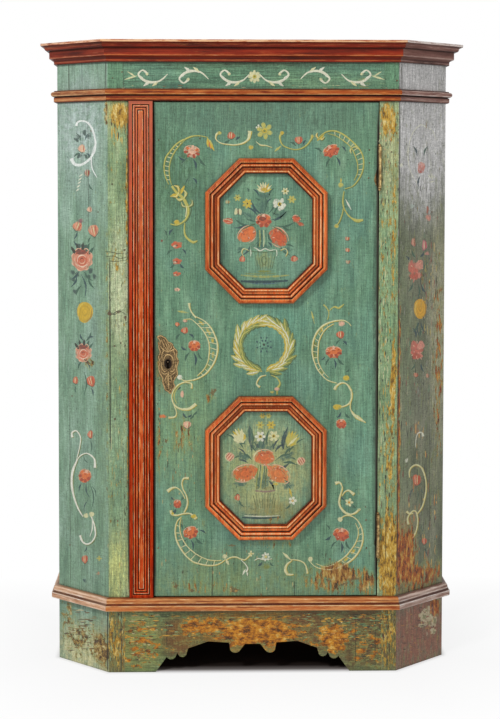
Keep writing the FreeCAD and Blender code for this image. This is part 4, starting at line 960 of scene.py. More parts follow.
def brushed_paint(name, ground):
    """Thin oil colour over the green: brush marks along the stroke, dry at its rims, worn as the board is."""
    material, tree = new_material(name)
    under = node(tree, "ShaderNodeGroup", node_tree=ground)
    paint = node(tree, "ShaderNodeAttribute", attribute_name="paint").outputs["Color"]
    stroke = node(tree, "ShaderNodeAttribute", attribute_name="stroke").outputs["Vector"]
    edge, along, thin = node(tree, "ShaderNodeSeparateXYZ", (stroke,)).outputs
    grown = noises(tree, {"rub": (8, 17, 7, 0.68), "fine": (1.3, 2.6, 3, 0.6), "flow": (3.4, 9, 3, 0.6)})
    hairs = node(tree, "ShaderNodeCombineXYZ", (
        reckon(tree, "MULTIPLY", edge, 3.0), reckon(tree, "MULTIPLY", along, 0.12))).outputs[0]
    marks = node(tree, "ShaderNodeTexNoise", {"Vector": hairs, "Scale": 2.0, "Detail": 3}).outputs["Fac"]
    colour = paint
    for pattern, least, most in ((marks, 0.76, 1.12), (grown["flow"], 0.80, 1.14)):
        level = ranged(tree, pattern, 0.3, 0.7, least, most)
        colour = scaled(tree, colour, level)
    loss = reckon(tree, "ADD", grown["rub"], thin)
    for source, share in ((edge, 0.24), (grown["fine"], 0.26), (under.outputs["Worn"], 0.30)):
        loss = reckon(tree, "MULTIPLY_ADD", source, share, loss)
    kept = ranged(tree, loss, 1.04, 0.74, most=0.93, soft=True)
    colour = mixed(tree, kept, under.outputs["Color"], colour)
    shader = node(tree, "ShaderNodeBsdfPrincipled", {"Base Color": colour, "Roughness": 0.48})
    node(tree, "ShaderNodeOutputMaterial", {"Surface": shader.outputs[0]})
    return material


# Ornament colours: ground pigments in oil
CREAM = "#dcd8a6"
WHITE = "#e2e2cc"
YELLOW = "#cdb23c"
STRAW = "#bfb85e"
OLIVE = "#7d8640"
MOSS = "#4c5c35"
CORAL = "#cc5c38"
ORANGE = "#de7238"
PALE = "#e6b496"
RUST = "#a8442a"
BRICK = "#803423"
LEAF = "#3b5b49"
DEEP = "#2c4349"
SOOT = "#2b2a22"
FOLIAGE_SHADE = "#48685a"
LEAF_RIB = "#7f9a7c"
SCROLL_WHITE = "#eaeee8"
SCROLL_IVORY = "#eceada"
BAND_CREAM = "#e4e2c8"
SPLIT_DARK = "#26261a"
SPLIT_BROWN = "#5c4630"
OLD_OCHRE = "#c39a3a"
OLD_CREAM = "#d3cd9e"

# The wreath's oval, the star in it and the frieze's middle line, in pixels of the photograph
WREATH_X, WREATH_Y, WREATH_WIDE, WREATH_HIGH = 264.0, 346.4, 25.6, 25.0
STAR_Y = 344.6
BAND_X, BAND_Y = 254.5, 76.6


def scroll(work, colour, points, widths=(0.8, 2.2, 1.0), end=0.0, thin=0.0, shade=True):
    """A scroll's long stroke: dark below, yellow beside, pale where the brush was full."""
    if shade:
        work.stroke(MOSS, [(x + 0.75, y + 0.65) for x, y in points], [w * 0.8 for w in widths], 0,
                    thin + 0.10)
        side = YELLOW if colour == CREAM else OLIVE
        work.stroke(side, [(x + 0.35, y + 0.3) for x, y in points], [w * 0.95 for w in widths], 1, thin)
        work.stroke(colour, [(x - 0.1, y - 0.1) for x, y in points], [w * 0.85 for w in widths], 2,
                    thin - 0.06)
    else:
        work.stroke(colour, points, widths, 1, thin)
    if end:
        x, y = points[-1]
        work.dab(colour, x, y, end, end * 0.85, level=2, thin=thin)
        work.dab(YELLOW, x + 0.3, y + 0.3, end * 0.5, end * 0.45, level=3, thin=thin)


def leaf(work, colour, start, end, wide, level=1, thin=0.0, bow=0.0):
    """A pointed leaf or petal from start to end."""
    a, b = Vector(start), Vector(end)
    side = Vector((-(b - a).y, (b - a).x)) * bow
    work.stroke(colour, [a, a.lerp(b, 0.5) + side, b], (0.3, wide, 0.3), level, thin, steps=4)


def flecks(work, tones, x, y, wide, high, turn, count, thin=0.12):
    """Short touches of light and shade across an oval, each along its petal."""
    for k in range(count):
        angle = work.chance.uniform(0, 2 * math.pi)
        reach = math.sqrt(work.chance.uniform(0.04, 0.62))
        dx, dy = wide * math.cos(angle), high * math.sin(angle)
        a = turned(x, y, dx * reach, dy * reach, turn)
        b = turned(x, y, dx * (reach + 0.24), dy * (reach + 0.24), turn)
        work.stroke(tones[k % len(tones)], [a, b], (0.4, 0.12 * wide + 0.5, 0.4), 1, thin, steps=3)


def rose(work, x, y, wide, high, turn=0, colour=CORAL, thin=0.0):
    """A full rose: scalloped round, petals in lighter and darker strokes, a heart above its middle."""
    petals = 7
    work.dab(colour, x, y, wide, high, turn, lobes=petals, lobe=0.07, thin=thin)
    for k in range(petals):
        angle = math.radians(360 * k / petals + 12)
        px, py = turned(x, y, 0.66 * wide * math.cos(angle), 0.66 * high * math.sin(angle), turn)
        upper = math.sin(angle) < 0.2
        work.dab(PALE if upper and k % 2 else ORANGE if upper else RUST, px, py, 0.30 * wide, 0.26 * high,
                 math.degrees(angle) + turn, level=1, thin=thin - 0.14)
    work.dab(colour, x, y - 0.05 * high, 0.50 * wide, 0.44 * high, turn, level=2, thin=thin - 0.18,
             wobble=0.12)
    flecks(work, (PALE, RUST, ORANGE), x, y, wide, high, turn, int(3 + wide), thin - 0.12)
    rim = max(0.12 * wide, 0.7)
    for start, end, far, tone in ((185, 262, 0.93, PALE), (278, 340, 0.88, PALE), (205, 300, 0.46, PALE),
                                  (20, 92, 0.50, RUST), (215, 320, 0.24, BRICK)):
        work.arc(tone, x, y - 0.04 * high, far * wide, far * high, start, end, turn,
                 (rim * 0.4, rim, rim * 0.3), 3, thin - 0.12)


def cabbage_rose(work, x, y, wide, high):
    """A full pale rose in rings of cream petal rims, with its shade and dark leaves above it."""
    for spread in (-52, -24, 4, 30, 55):
        foot, tip = turned(x, y, 0, -0.6 * high, spread), turned(x, y, 0, -1.32 * high, spread * 0.8)
        work.stroke(LEAF if spread % 4 else SOOT, [foot, tip], (2.0, 0.40 * wide, 0.4), 0, -0.05,
                    steps=3)
    work.dab("#d98c70", x, y, wide, high, lobes=9, lobe=0.05, thin=-0.05)
    work.dab("#7c4034", x - 0.08 * wide, y - 0.56 * high, 0.62 * wide, 0.24 * high, level=1,
             thin=-0.05)
    work.dab("#cc6a4c", x, y + 0.14 * high, 0.60 * wide, 0.50 * high, level=1, thin=-0.15, wobble=0.1)
    for k in range(16):
        angle = math.radians(22.5 * k + work.chance.uniform(-6, 6))
        far = 0.86 if k % 2 else 0.62
        a = (x + far * wide * math.cos(angle - 0.26), y + far * high * math.sin(angle - 0.26))
        b = (x + far * 1.06 * wide * math.cos(angle), y + far * 1.06 * high * math.sin(angle))
        c = (x + far * wide * math.cos(angle + 0.26), y + far * high * math.sin(angle + 0.26))
        tone = PALE if math.sin(angle) > -0.5 or k % 2 else RUST
        work.stroke(tone, [a, b, c], (0.3, 0.13 * wide, 0.3), 2, -0.1, steps=3)
    for far, start, end, tone in ((0.40, 150, 330, "#f0d2b8"), (0.26, -20, 160, PALE),
                                  (0.16, 180, 330, BRICK), (0.5, 20, 140, "#f0d2b8")):
        work.arc(tone, x, y + 0.08 * high, far * wide, far * high, start, end, 0, (0.3, 0.14 * wide, 0.3),
                 3, -0.1)


def worn_rose(work, x, y, wide, high, thin=0.0):
    """What is left of a rose: broad pink petals about a cup, rubbed and run together."""
    for k, (dx, dy, share, tone) in enumerate((
            (-0.42, -0.38, 0.60, "#cd7462"), (0.42, -0.44, 0.54, "#dc937f"),
            (-0.05, -0.12, 0.74, "#d0705c"), (-0.16, 0.42, 0.50, "#c4624e"),
            (0.24, 0.32, 0.42, "#d98a76"))):
        work.dab(tone, x + dx * wide, y + dy * high, share * wide, share * high * 0.85, 30 * k, lobes=3,
                 lobe=0.12, level=k % 2, thin=thin)
    flecks(work, (PALE, "#b0503f", "#e0a894"), x, y, wide, high, 0, 12, thin - 0.04)


def acanthus(work, points, turn, reach, tones):
    """Lobed leaves that curl off both sides of a scroll, each with a dark edge and a pale rib."""
    for k, (x, y) in enumerate(points):
        for side in (-1, 1):
            bend = turn[k] + side * 52
            mid = turned(x, y, reach * 0.55, side * reach * 0.16, bend)
            tip = turned(x, y, reach * 0.95, side * -reach * 0.18, bend)
            wide = reach * 0.42
            shade = [(px + 0.7, py + 0.7) for px, py in ((x, y), mid, tip)]
            work.stroke(MOSS, shade, (wide * 0.5, wide, 0.4), 0, steps=4)
            work.stroke(tones[k % len(tones)], [(x, y), mid, tip], (wide * 0.5, wide, 0.5), 1, steps=4)
            work.stroke(CREAM, [(x, y), mid, tip], (0.4, wide * 0.3, 0.3), 2, -0.05, steps=4)


def fan(work, x, y, wide, high, turn, colour, rims=((190, 300),), thin=0.0):
    """A rose seen from its side: one broad touch with a thin pale rim."""
    work.dab(colour, x, y, wide, high, turn, lobes=3, lobe=0.03, thin=thin)
    flecks(work, (PALE, RUST, ORANGE, colour), x, y, wide, high, turn, int(4 + 0.7 * wide), thin - 0.10)
    for start, end in rims:
        work.arc(PALE, x, y, 0.97 * wide, 0.97 * high, start, end, turn, (0.4, 1.3, 0.5), 2, thin - 0.02)
    work.arc(RUST, x, y, 0.6 * wide, 0.55 * high, 200, 330, turn, (0.3, 0.9, 0.3), 2, thin - 0.08)


def bud(work, x, y, wide, high, turn=0, colour=CORAL, thin=0.0):
    """A closed flower: a round touch with pale stripes, and a dark calyx below."""
    foot = turned(x, y, 0, 0.95 * high, turn)
    for way in (-1, 1):
        tip = turned(x, y, way * 0.95 * wide, 0.25 * high, turn)
        work.stroke(LEAF, [foot, tip], (1.2, 0.9, 0.3), 0, thin + 0.06, steps=3)
    work.dab(colour, x, y, wide, high, turn, wobble=0.10, thin=thin)
    for way, tone in ((-0.42, PALE), (0.05, CREAM if wide > 3 else PALE), (0.5, RUST)):
        a = turned(x, y, way * wide, -0.75 * high, turn)
        b = turned(x, y, way * 0.7 * wide, 0.6 * high, turn)
        work.stroke(tone, [a, b], (0.3, 0.26 * wide + 0.2, 0.3), 1, thin - 0.12, steps=3)


def daisy(work, x, y, reach, petals=6, colour=CREAM, heart=SOOT, turn=0, thin=0.0):
    """Round petals about a yellow ring and a dark heart."""
    for k in range(petals):
        angle = turn + 360 * k / petals
        px, py = turned(x, y, 0.62 * reach, 0, angle)
        work.dab(colour, px, py, reach * 0.44, reach * (0.36 if petals < 6 else 0.30), angle, level=1,
                 thin=thin)
    work.dab(YELLOW, x, y, reach * 0.34, reach * 0.34, level=2, thin=thin - 0.15)
    work.dab(heart, x, y, reach * 0.2, reach * 0.2, level=3, thin=thin - 0.1)


def tulip(work, x, y, reach, turn=0, colour=CREAM, inner=YELLOW):
    """A round cup with pointed petals, that opens along turn, in degrees from straight up."""
    foot = turned(x, y, 0, 0.62 * reach, turn)
    for way in (-1, 1):
        tip = turned(x, y, way * 0.72 * reach, 0.1 * reach, turn)
        work.stroke(LEAF, [turned(x, y, 0, 0.8 * reach, turn), tip], (1.6, 1.2, 0.3), 0, 0.05,
                    steps=3)
    work.dab(colour, x, y + 0.06 * reach, 0.70 * reach, 0.70 * reach, turn, level=1, wobble=0.04)
    work.dab(inner, *turned(x, y, 0.1 * reach, 0.1 * reach, turn), 0.50 * reach, 0.54 * reach, turn,
             level=2, thin=-0.1, wobble=0.06)
    for spread, size, tone in ((-40, 0.90, colour), (42, 0.88, colour), (-18, 0.94, inner),
                               (20, 0.92, STRAW), (0, 0.98, colour), (-30, 0.7, colour),
                               (32, 0.66, CREAM)):
        tip = turned(x, y, size * reach * math.sin(math.radians(spread)),
                     -size * reach * math.cos(math.radians(spread)), turn)
        leaf(work, tone, foot, tip, reach * 0.44, 3, -0.1)


def leaves(work, tones, spots, wide=3.0, thin=-0.02):
    """Plump dark leaves: each from its foot to its tip, with a lighter vein on some."""
    for i, (x0, y0, x1, y1) in enumerate(spots):
        size = wide * work.chance.uniform(0.85, 1.25)
        leaf(work, tones[i % len(tones)], (x0, y0), (x1, y1), size, 0, thin, bow=0.12 * (-1) ** i)
        if i % 3 == 0:
            work.stroke(LEAF_RIB, [(x0, y0), (x1, y1)], (0.2, 0.5, 0.2), 1, thin + 0.14, steps=3)


def splits(work, tones, box, count, longest, widest, upright=True):
    """Short marks along the grain: dark where the paint has split, other tones where a coat shows."""
    left, top, right, bottom = box
    for k in range(count):
        x, y = work.chance.uniform(left, right), work.chance.uniform(top, bottom)
        long = longest * work.chance.uniform(0.25, 1) ** 1.5
        wide = widest * work.chance.uniform(0.4, 1)
        bend = work.chance.uniform(-0.08, 0.08) * long
        steps = ((0, 0), (bend, long / 2), (bend * 0.3, long))
        line = [(x + dx, y + dy) if upright else (x + dy, y + dx) for dx, dy in steps]
        work.stroke(tones[k % len(tones)], line, (wide * 0.4, wide, wide * 0.3), 0, -0.04, steps=2)


# The C-scrolls between whose two lines rungs are grown later
LADDERS = []


def ladder(work, outer, inner, colour=CREAM, rungs=9, first=0.12, last=0.9, thin=0.0):
    """A C-scroll of two lines. Its rungs are grown later, between these lines."""
    scroll(work, colour, outer, (0.8, 2.1, 1.7, 1.0), thin=thin)
    scroll(work, colour, inner, (0.6, 1.4, 1.2, 0.7), thin=thin + 0.02)
    start = min(range(len(outer)), key=lambda i: (Vector(outer[i]) - Vector(inner[0])).length)
    stop = min(range(len(outer)), key=lambda i: (Vector(outer[i]) - Vector(inner[-1])).length)
    LADDERS.append((outer[start:stop + 1], inner, rungs, first, last))


def top_garland(work):
    """Over the upper octagon: a flower between two C-scrolls, with roses and hanging buds."""
    ladder(work, [(208, 137.5), (200, 135.9), (192.9, 136.2), (184.8, 139.3), (176.8, 143.8),
                  (170.5, 150.9), (166.1, 157.1), (164.3, 164.3), (164.3, 171.4), (166.5, 179.5),
                  (168.8, 184.4)],
           [(185.7, 139.3), (179.5, 145.5), (174.1, 152.7), (170.5, 160.7), (169.2, 167.9),
            (169.6, 176.8), (171.4, 184.8)], STRAW, rungs=9, thin=0.04)
    for tone, tip, wide in ((YELLOW, (214.4, 151), 4.4), (ORANGE, (211, 149), 2.2),
                            (STRAW, (212.6, 145), 3.0), (YELLOW, (208.2, 147.4), 3.4)):
        leaf(work, tone, (207.4, 138), tip, wide, 1)
    scroll(work, STRAW, [(172, 186), (176.8, 192.9), (182.3, 197.3), (186.3, 203.7), (188.4, 210),
                         (187.5, 216.1), (183.9, 221.4), (176.8, 225), (170.5, 224)],
           (3.0, 4.6, 3.6, 2.0, 1.2))
    work.dab(YELLOW, 176.8, 222.3, 3.2, 2.6, level=2)
    acanthus(work, [(179, 192), (184, 198), (187.6, 207)], (190, 225, 262), 8.6, (YELLOW, STRAW, OLIVE))
    leaf(work, YELLOW, (180, 195), (184.5, 185.5), 4)
    leaf(work, YELLOW, (178, 194), (170, 196.5), 4.4)
    scroll(work, CREAM, [(173, 188), (178.5, 194), (184.3, 201), (186.6, 209), (185.4, 217)],
           (0.8, 1.6, 0.8), shade=False)
    work.stroke(MOSS, [(190.4, 203), (191.2, 211), (188.4, 219), (182, 226)], (0.5, 1.3, 0.5), 0)
    scroll(work, STRAW, [(184.8, 223), (184.4, 231.5), (186.7, 237.6), (192.8, 242.2), (197.4, 240.7)],
           (1.0, 2.0, 2.6, 3.4, 1.0))
    scroll(work, CREAM, [(219.5, 132.5), (216.3, 134.5), (216, 139.3), (220.5, 142.9), (226.8, 144.2),
                         (233.9, 144.8), (241.1, 143.8), (246.4, 141.1), (249.1, 137.5), (250, 131)],
           (3.0, 1.4, 1.2, 1.4, 2.2, 5.0))
    work.dab(STRAW, 219.3, 133, 2.4, 1.9, level=2)
    daisy(work, 264.5, 130.8, 8.4, 6, STRAW, OLIVE, turn=20)
    daisy(work, 258.5, 127.5, 3.0, 4, WHITE, WHITE)
    work.dab(YELLOW, 250.9, 147.3, 2.6, 2.4, level=1)
    scroll(work, CREAM, [(256, 141.5), (260.5, 145), (266, 145.5), (272, 147.5)], (0.5, 1.6, 1.2, 0.4))
    scroll(work, STRAW, [(282.5, 132.6), (279.8, 137.5), (282.3, 144.6), (288.6, 148.2), (295.7, 149.6),
                         (302, 148.2), (307.3, 144.6), (311, 139.5), (312.5, 136.2)],
           (3.2, 1.8, 1.3, 1.4, 1.8, 2.6), end=2.0)
    work.dab(YELLOW, 282, 133, 2.2, 2.2, level=2)
    leaf(work, STRAW, (281, 146), (274.5, 151.5), 3)
    ladder(work, [(317.1, 139.3), (320.7, 135.7), (326.1, 132.1), (333.2, 130.8), (340.4, 133),
                  (347.5, 137.5), (354.6, 143.8), (360, 150), (363.1, 157.1), (363.6, 165.2),
                  (361.8, 173.2), (357.3, 181.3), (352, 186.6), (344.8, 188.8)],
           [(327.9, 133.7), (335.9, 135.9), (343.9, 141.1), (351.1, 147.3), (355, 155.4), (357.6, 164.3),
            (357.3, 173.2), (354.2, 180.4)], STRAW, rungs=10)
    acanthus(work, [(318.6, 138.6), (352.6, 147.4)], (300, 60), 6.4, (YELLOW, STRAW))
    leaf(work, YELLOW, (317, 141), (325, 133), 3.6)
    work.dab(STRAW, 340.8, 185.2, 3.0, 2.8, level=1)
    leaf(work, YELLOW, (341, 183), (341, 178), 2)
    scroll(work, STRAW,
           [(344, 191), (342.8, 202.7), (345.7, 211.6), (351.1, 217.9), (357, 220.8), (363, 220)],
           (0.8, 1.8, 1.6, 2.0, 4.6, 2.4))
    leaf(work, WHITE, (345.4, 199), (351.3, 210), 2.0, 2)
    scroll(work, STRAW, [(343.9, 205.4), (342.1, 214.3), (339.5, 221.4), (336.4, 226)],
           (0.7, 1.2, 1.4, 1.2), end=2.6)
    for x, y, size in ((176.8, 244.9, 6.2), (176.8, 261.3, 5.4), (176.8, 273.9, 4.4), (177.2, 289.6, 3.2)):
        work.dab(CORAL if size > 4 else PALE, x, y, size, size * 0.66, lobes=5, lobe=0.12, thin=0.03)
        work.dab(PALE, x - size * 0.3, y + size * 0.2, size * 0.4, size * 0.26, level=1, thin=0.08)
        work.dab(BRICK, x, y + size * 0.1, size * 0.22, size * 0.18, level=2, thin=0.05)
    for x, y in ((347.4, 238.6), (347.4, 250.2), (347.8, 262)):
        bud(work, x, y, 3.6, 2.4, thin=0.10 if y < 255 else 0.2)
    bud(work, 231.3, 135.7, 4.6, 4.2)
    bud(work, 298.8, 140.2, 4.6, 4.6)
    rose(work, 192, 151.8, 9, 6.5, 10, PALE, thin=0.08)
    rose(work, 331.4, 150.9, 9.2, 6.2, -25)
    leaves(work, (LEAF, DEEP), [
        (188, 158, 181, 165), (193, 159, 196, 170), (199, 157, 206, 166), (186, 160, 178, 156),
        (230, 140, 224, 146), (236, 140, 240, 137), (166.8, 236, 164, 230), (169, 235, 173, 229),
        (172, 250, 167, 255), (182, 249, 186, 255), (170, 268, 174, 264), (184, 268, 180, 264),
        (331, 158, 326, 168), (336, 157, 340, 166), (322, 152, 314, 148), (341, 146, 346, 152),
        (296, 146, 290, 142), (303, 145, 306, 140), (189, 178, 186, 184), (193, 178, 197, 184)])
    work.dab(BRICK, 161.9, 240.7, 1.4, 1.4, thin=0.1)


def middle_scrolls(work):
    """Between the octagons: a C-scroll at each side, round a rose and buds."""
    scroll(work, CREAM, [(189, 303.1), (189.8, 308.4), (192.1, 313), (195.9, 317.6)], (3.2, 1.4, 1.6, 2.0))
    leaf(work, STRAW, (189, 313), (177, 311), 3.4, thin=0.12)
    ladder(work, [(192.8, 315.3), (199.7, 318.4), (205.9, 322.2), (211.2, 328.3), (215, 336),
                  (217.3, 343.6), (217.3, 352), (215, 360.4), (211.2, 367.3), (205.9, 373.5), (199, 378),
                  (191.3, 380.3), (184.4, 380.7), (179.6, 377.8)],
           [(183.7, 319.5), (190.6, 319.1), (195.9, 323), (200.5, 327.5), (205.1, 333.7), (208.2, 340.6),
            (209.3, 347.4), (208.9, 355.1), (207.4, 362.7), (203.6, 369.6), (197.4, 375.7)],
           CREAM, rungs=10, first=0.2, last=0.94)
    for x, y, turn in ((201.5, 323, 40), (208.5, 331.5, 60), (212.6, 341, 80), (213, 355, 95),
                       (207.5, 367, 130)):
        work.dab(YELLOW if y < 360 else OLIVE, x, y, 4.4, 1.7, turn, thin=0.10)
    work.dab(WHITE, 179.8, 377.3, 2.9, 2.6, level=2)
    bud(work, 184.8, 330.6, 4.2, 3.8)
    bud(work, 177.3, 324.5, 2.4, 2.6, colour=ORANGE)
    bud(work, 185.2, 321, 3.0, 1.8, colour=PALE, thin=0.08)
    rose(work, 194.4, 345.9, 6.6, 5.8, 0, ORANGE)
    scroll(work, CREAM, [(191.5, 388.4), (191.6, 384), (187, 382.4), (183.7, 382.4), (178.3, 384.9),
                         (173.7, 390.3), (171.8, 396.4), (173, 402.5), (176.8, 407.1), (182.9, 409.4),
                         (189.8, 408.6), (196, 404)], (2.6, 1.4, 1.6, 1.5, 1.4, 2.0, 3.0, 4.2))
    scroll(work, STRAW, [(180, 386), (175.4, 391.5), (174.3, 397.5), (176.6, 403.5)], (0.5, 1.2, 0.6),
           shade=False)
    scroll(work, CREAM,
           [(172.4, 399), (173.6, 404.5), (176, 410.2), (176.4, 414), (174.5, 417), (168.4, 417.6)],
           (0.6, 1.1, 1.2, 2.6))
    work.dab(PALE, 182.1, 394.1, 1.9, 3.8, level=1)
    work.dab(ORANGE, 162.6, 416.3, 4.4, 2.2, thin=0.06)
    ladder(work, [(350.8, 325.7), (347.9, 322.4), (342.9, 320.3), (336.3, 320.7), (329.7, 322.4),
                  (323, 325.7), (318, 330.7), (314.7, 336.5), (312.7, 343.9), (312.2, 352.2),
                  (313.9, 360.5), (317.2, 368.8), (322.2, 375.5), (328, 380.4), (336.3, 382.9)],
           [(333.8, 323.7), (326.3, 328.4), (321.6, 334.8), (318.8, 341.5), (318, 348.9), (317.7, 357.2),
            (318.9, 363.8), (323, 371.3), (328, 377.1)], CREAM, rungs=9)
    for x, y, turn in ((321.5, 331, 125), (315.6, 345, 95), (315.4, 356, 85), (322, 372.5, 50)):
        work.dab(OLIVE if y > 340 else YELLOW, x, y, 4.2, 1.6, turn, thin=0.10)
    leaf(work, STRAW, (314.5, 324), (311.4, 311), 2.8, thin=0.10)
    scroll(work, STRAW, [(327.5, 320), (329, 313), (326.5, 307.5), (323.5, 305)], (0.8, 1.4, 2.8),
           thin=0.12)
    scroll(work, STRAW, [(329, 311), (334, 307), (339, 308), (344, 304)], (0.8, 1.8, 3.0, 0.8), thin=0.12)
    work.dab(PALE, 341.5, 323.5, 3.6, 3.0, level=2, thin=0.05)
    bud(work, 340.4, 334.8, 4.6, 4.4)
    rose(work, 333.8, 352.2, 9.0, 6.2, 0, ORANGE)
    work.dab(YELLOW, 346.2, 378, 3.6, 3.0, level=1)
    scroll(work, CREAM, [(334.6, 389.6), (336.3, 386.2), (341.3, 382.9), (346.2, 383.8), (349.6, 387.9),
                         (351.6, 392.9), (351.2, 399.5), (347.9, 404.5), (341.3, 407)],
           (4.0, 2.2, 1.7, 2.4, 2.4, 1.8, 1.4))
    work.dab(YELLOW, 337.4, 407, 5.0, 3.0, level=1)
    scroll(work, CREAM, [(351.2, 397.5), (350.2, 407.8), (353.7, 414.4), (359.5, 418.6), (365.3, 422.4)],
           (0.8, 1.4, 5.0, 1.0))
    rose(work, 341.3, 424, 5.6, 5.2, 0)
    leaves(work, (LEAF, DEEP), [
        (190, 352, 185, 362), (194, 353, 195, 366), (198, 352, 203, 360), (187, 350, 181, 346),
        (180, 334, 176, 340), (189, 334, 194, 338), (330, 358, 326, 366), (334, 359, 335, 369),
        (338, 358, 344, 365), (325, 356, 321, 360), (340, 340, 336, 345), (343, 341, 347, 345),
        (345, 372, 350, 368), (341, 412, 337, 418), (345, 413, 350, 418), (192, 414, 187, 417),
        (193, 415, 197, 411), (178, 390, 181, 387)])


def wreath_stem(work):
    """The wreath's two stems, the small star in it and its bow. Its leaves are grown later."""
    for side in (-1, 1):
        stem = []
        for k in range(15):
            angle = math.radians(90 - side * (4 + 12.1 * k))
            stem.append((WREATH_X + WREATH_WIDE * math.cos(angle),
                         WREATH_Y + WREATH_HIGH * math.sin(angle)))
        work.stroke(MOSS, stem, (2.2, 1.8, 1.0), 0, 0.06)
        work.stroke(STRAW, stem, (1.4, 1.0, 0.6), 1)
    for k in range(8):
        angle = math.radians(22 + 45 * k)
        for reach in (4.2, 7.4):
            work.dab(DEEP, WREATH_X + reach * math.cos(angle), STAR_Y + reach * math.sin(angle), 1.5, 1.1,
                     math.degrees(angle), thin=0.08)
    work.dab(SOOT, WREATH_X, STAR_Y, 1.5, 1.5, level=1)
    scroll(work, CREAM, [(266, 375.2), (261, 376.4), (257.8, 380), (256.6, 384), (259.5, 387)],
           (0.8, 1.6, 1.4, 3.0))
    scroll(work, STRAW, [(271, 375.3), (277, 378), (280, 383.4), (277.5, 388.7), (277, 394.6)],
           (0.8, 1.7, 2.6, 1.4))
    work.dab(PALE, 277, 389, 2.8, 2.2, level=2, thin=0.04)
    work.dab(STRAW, 272, 392, 2.2, 1.6, level=1, thin=0.1)


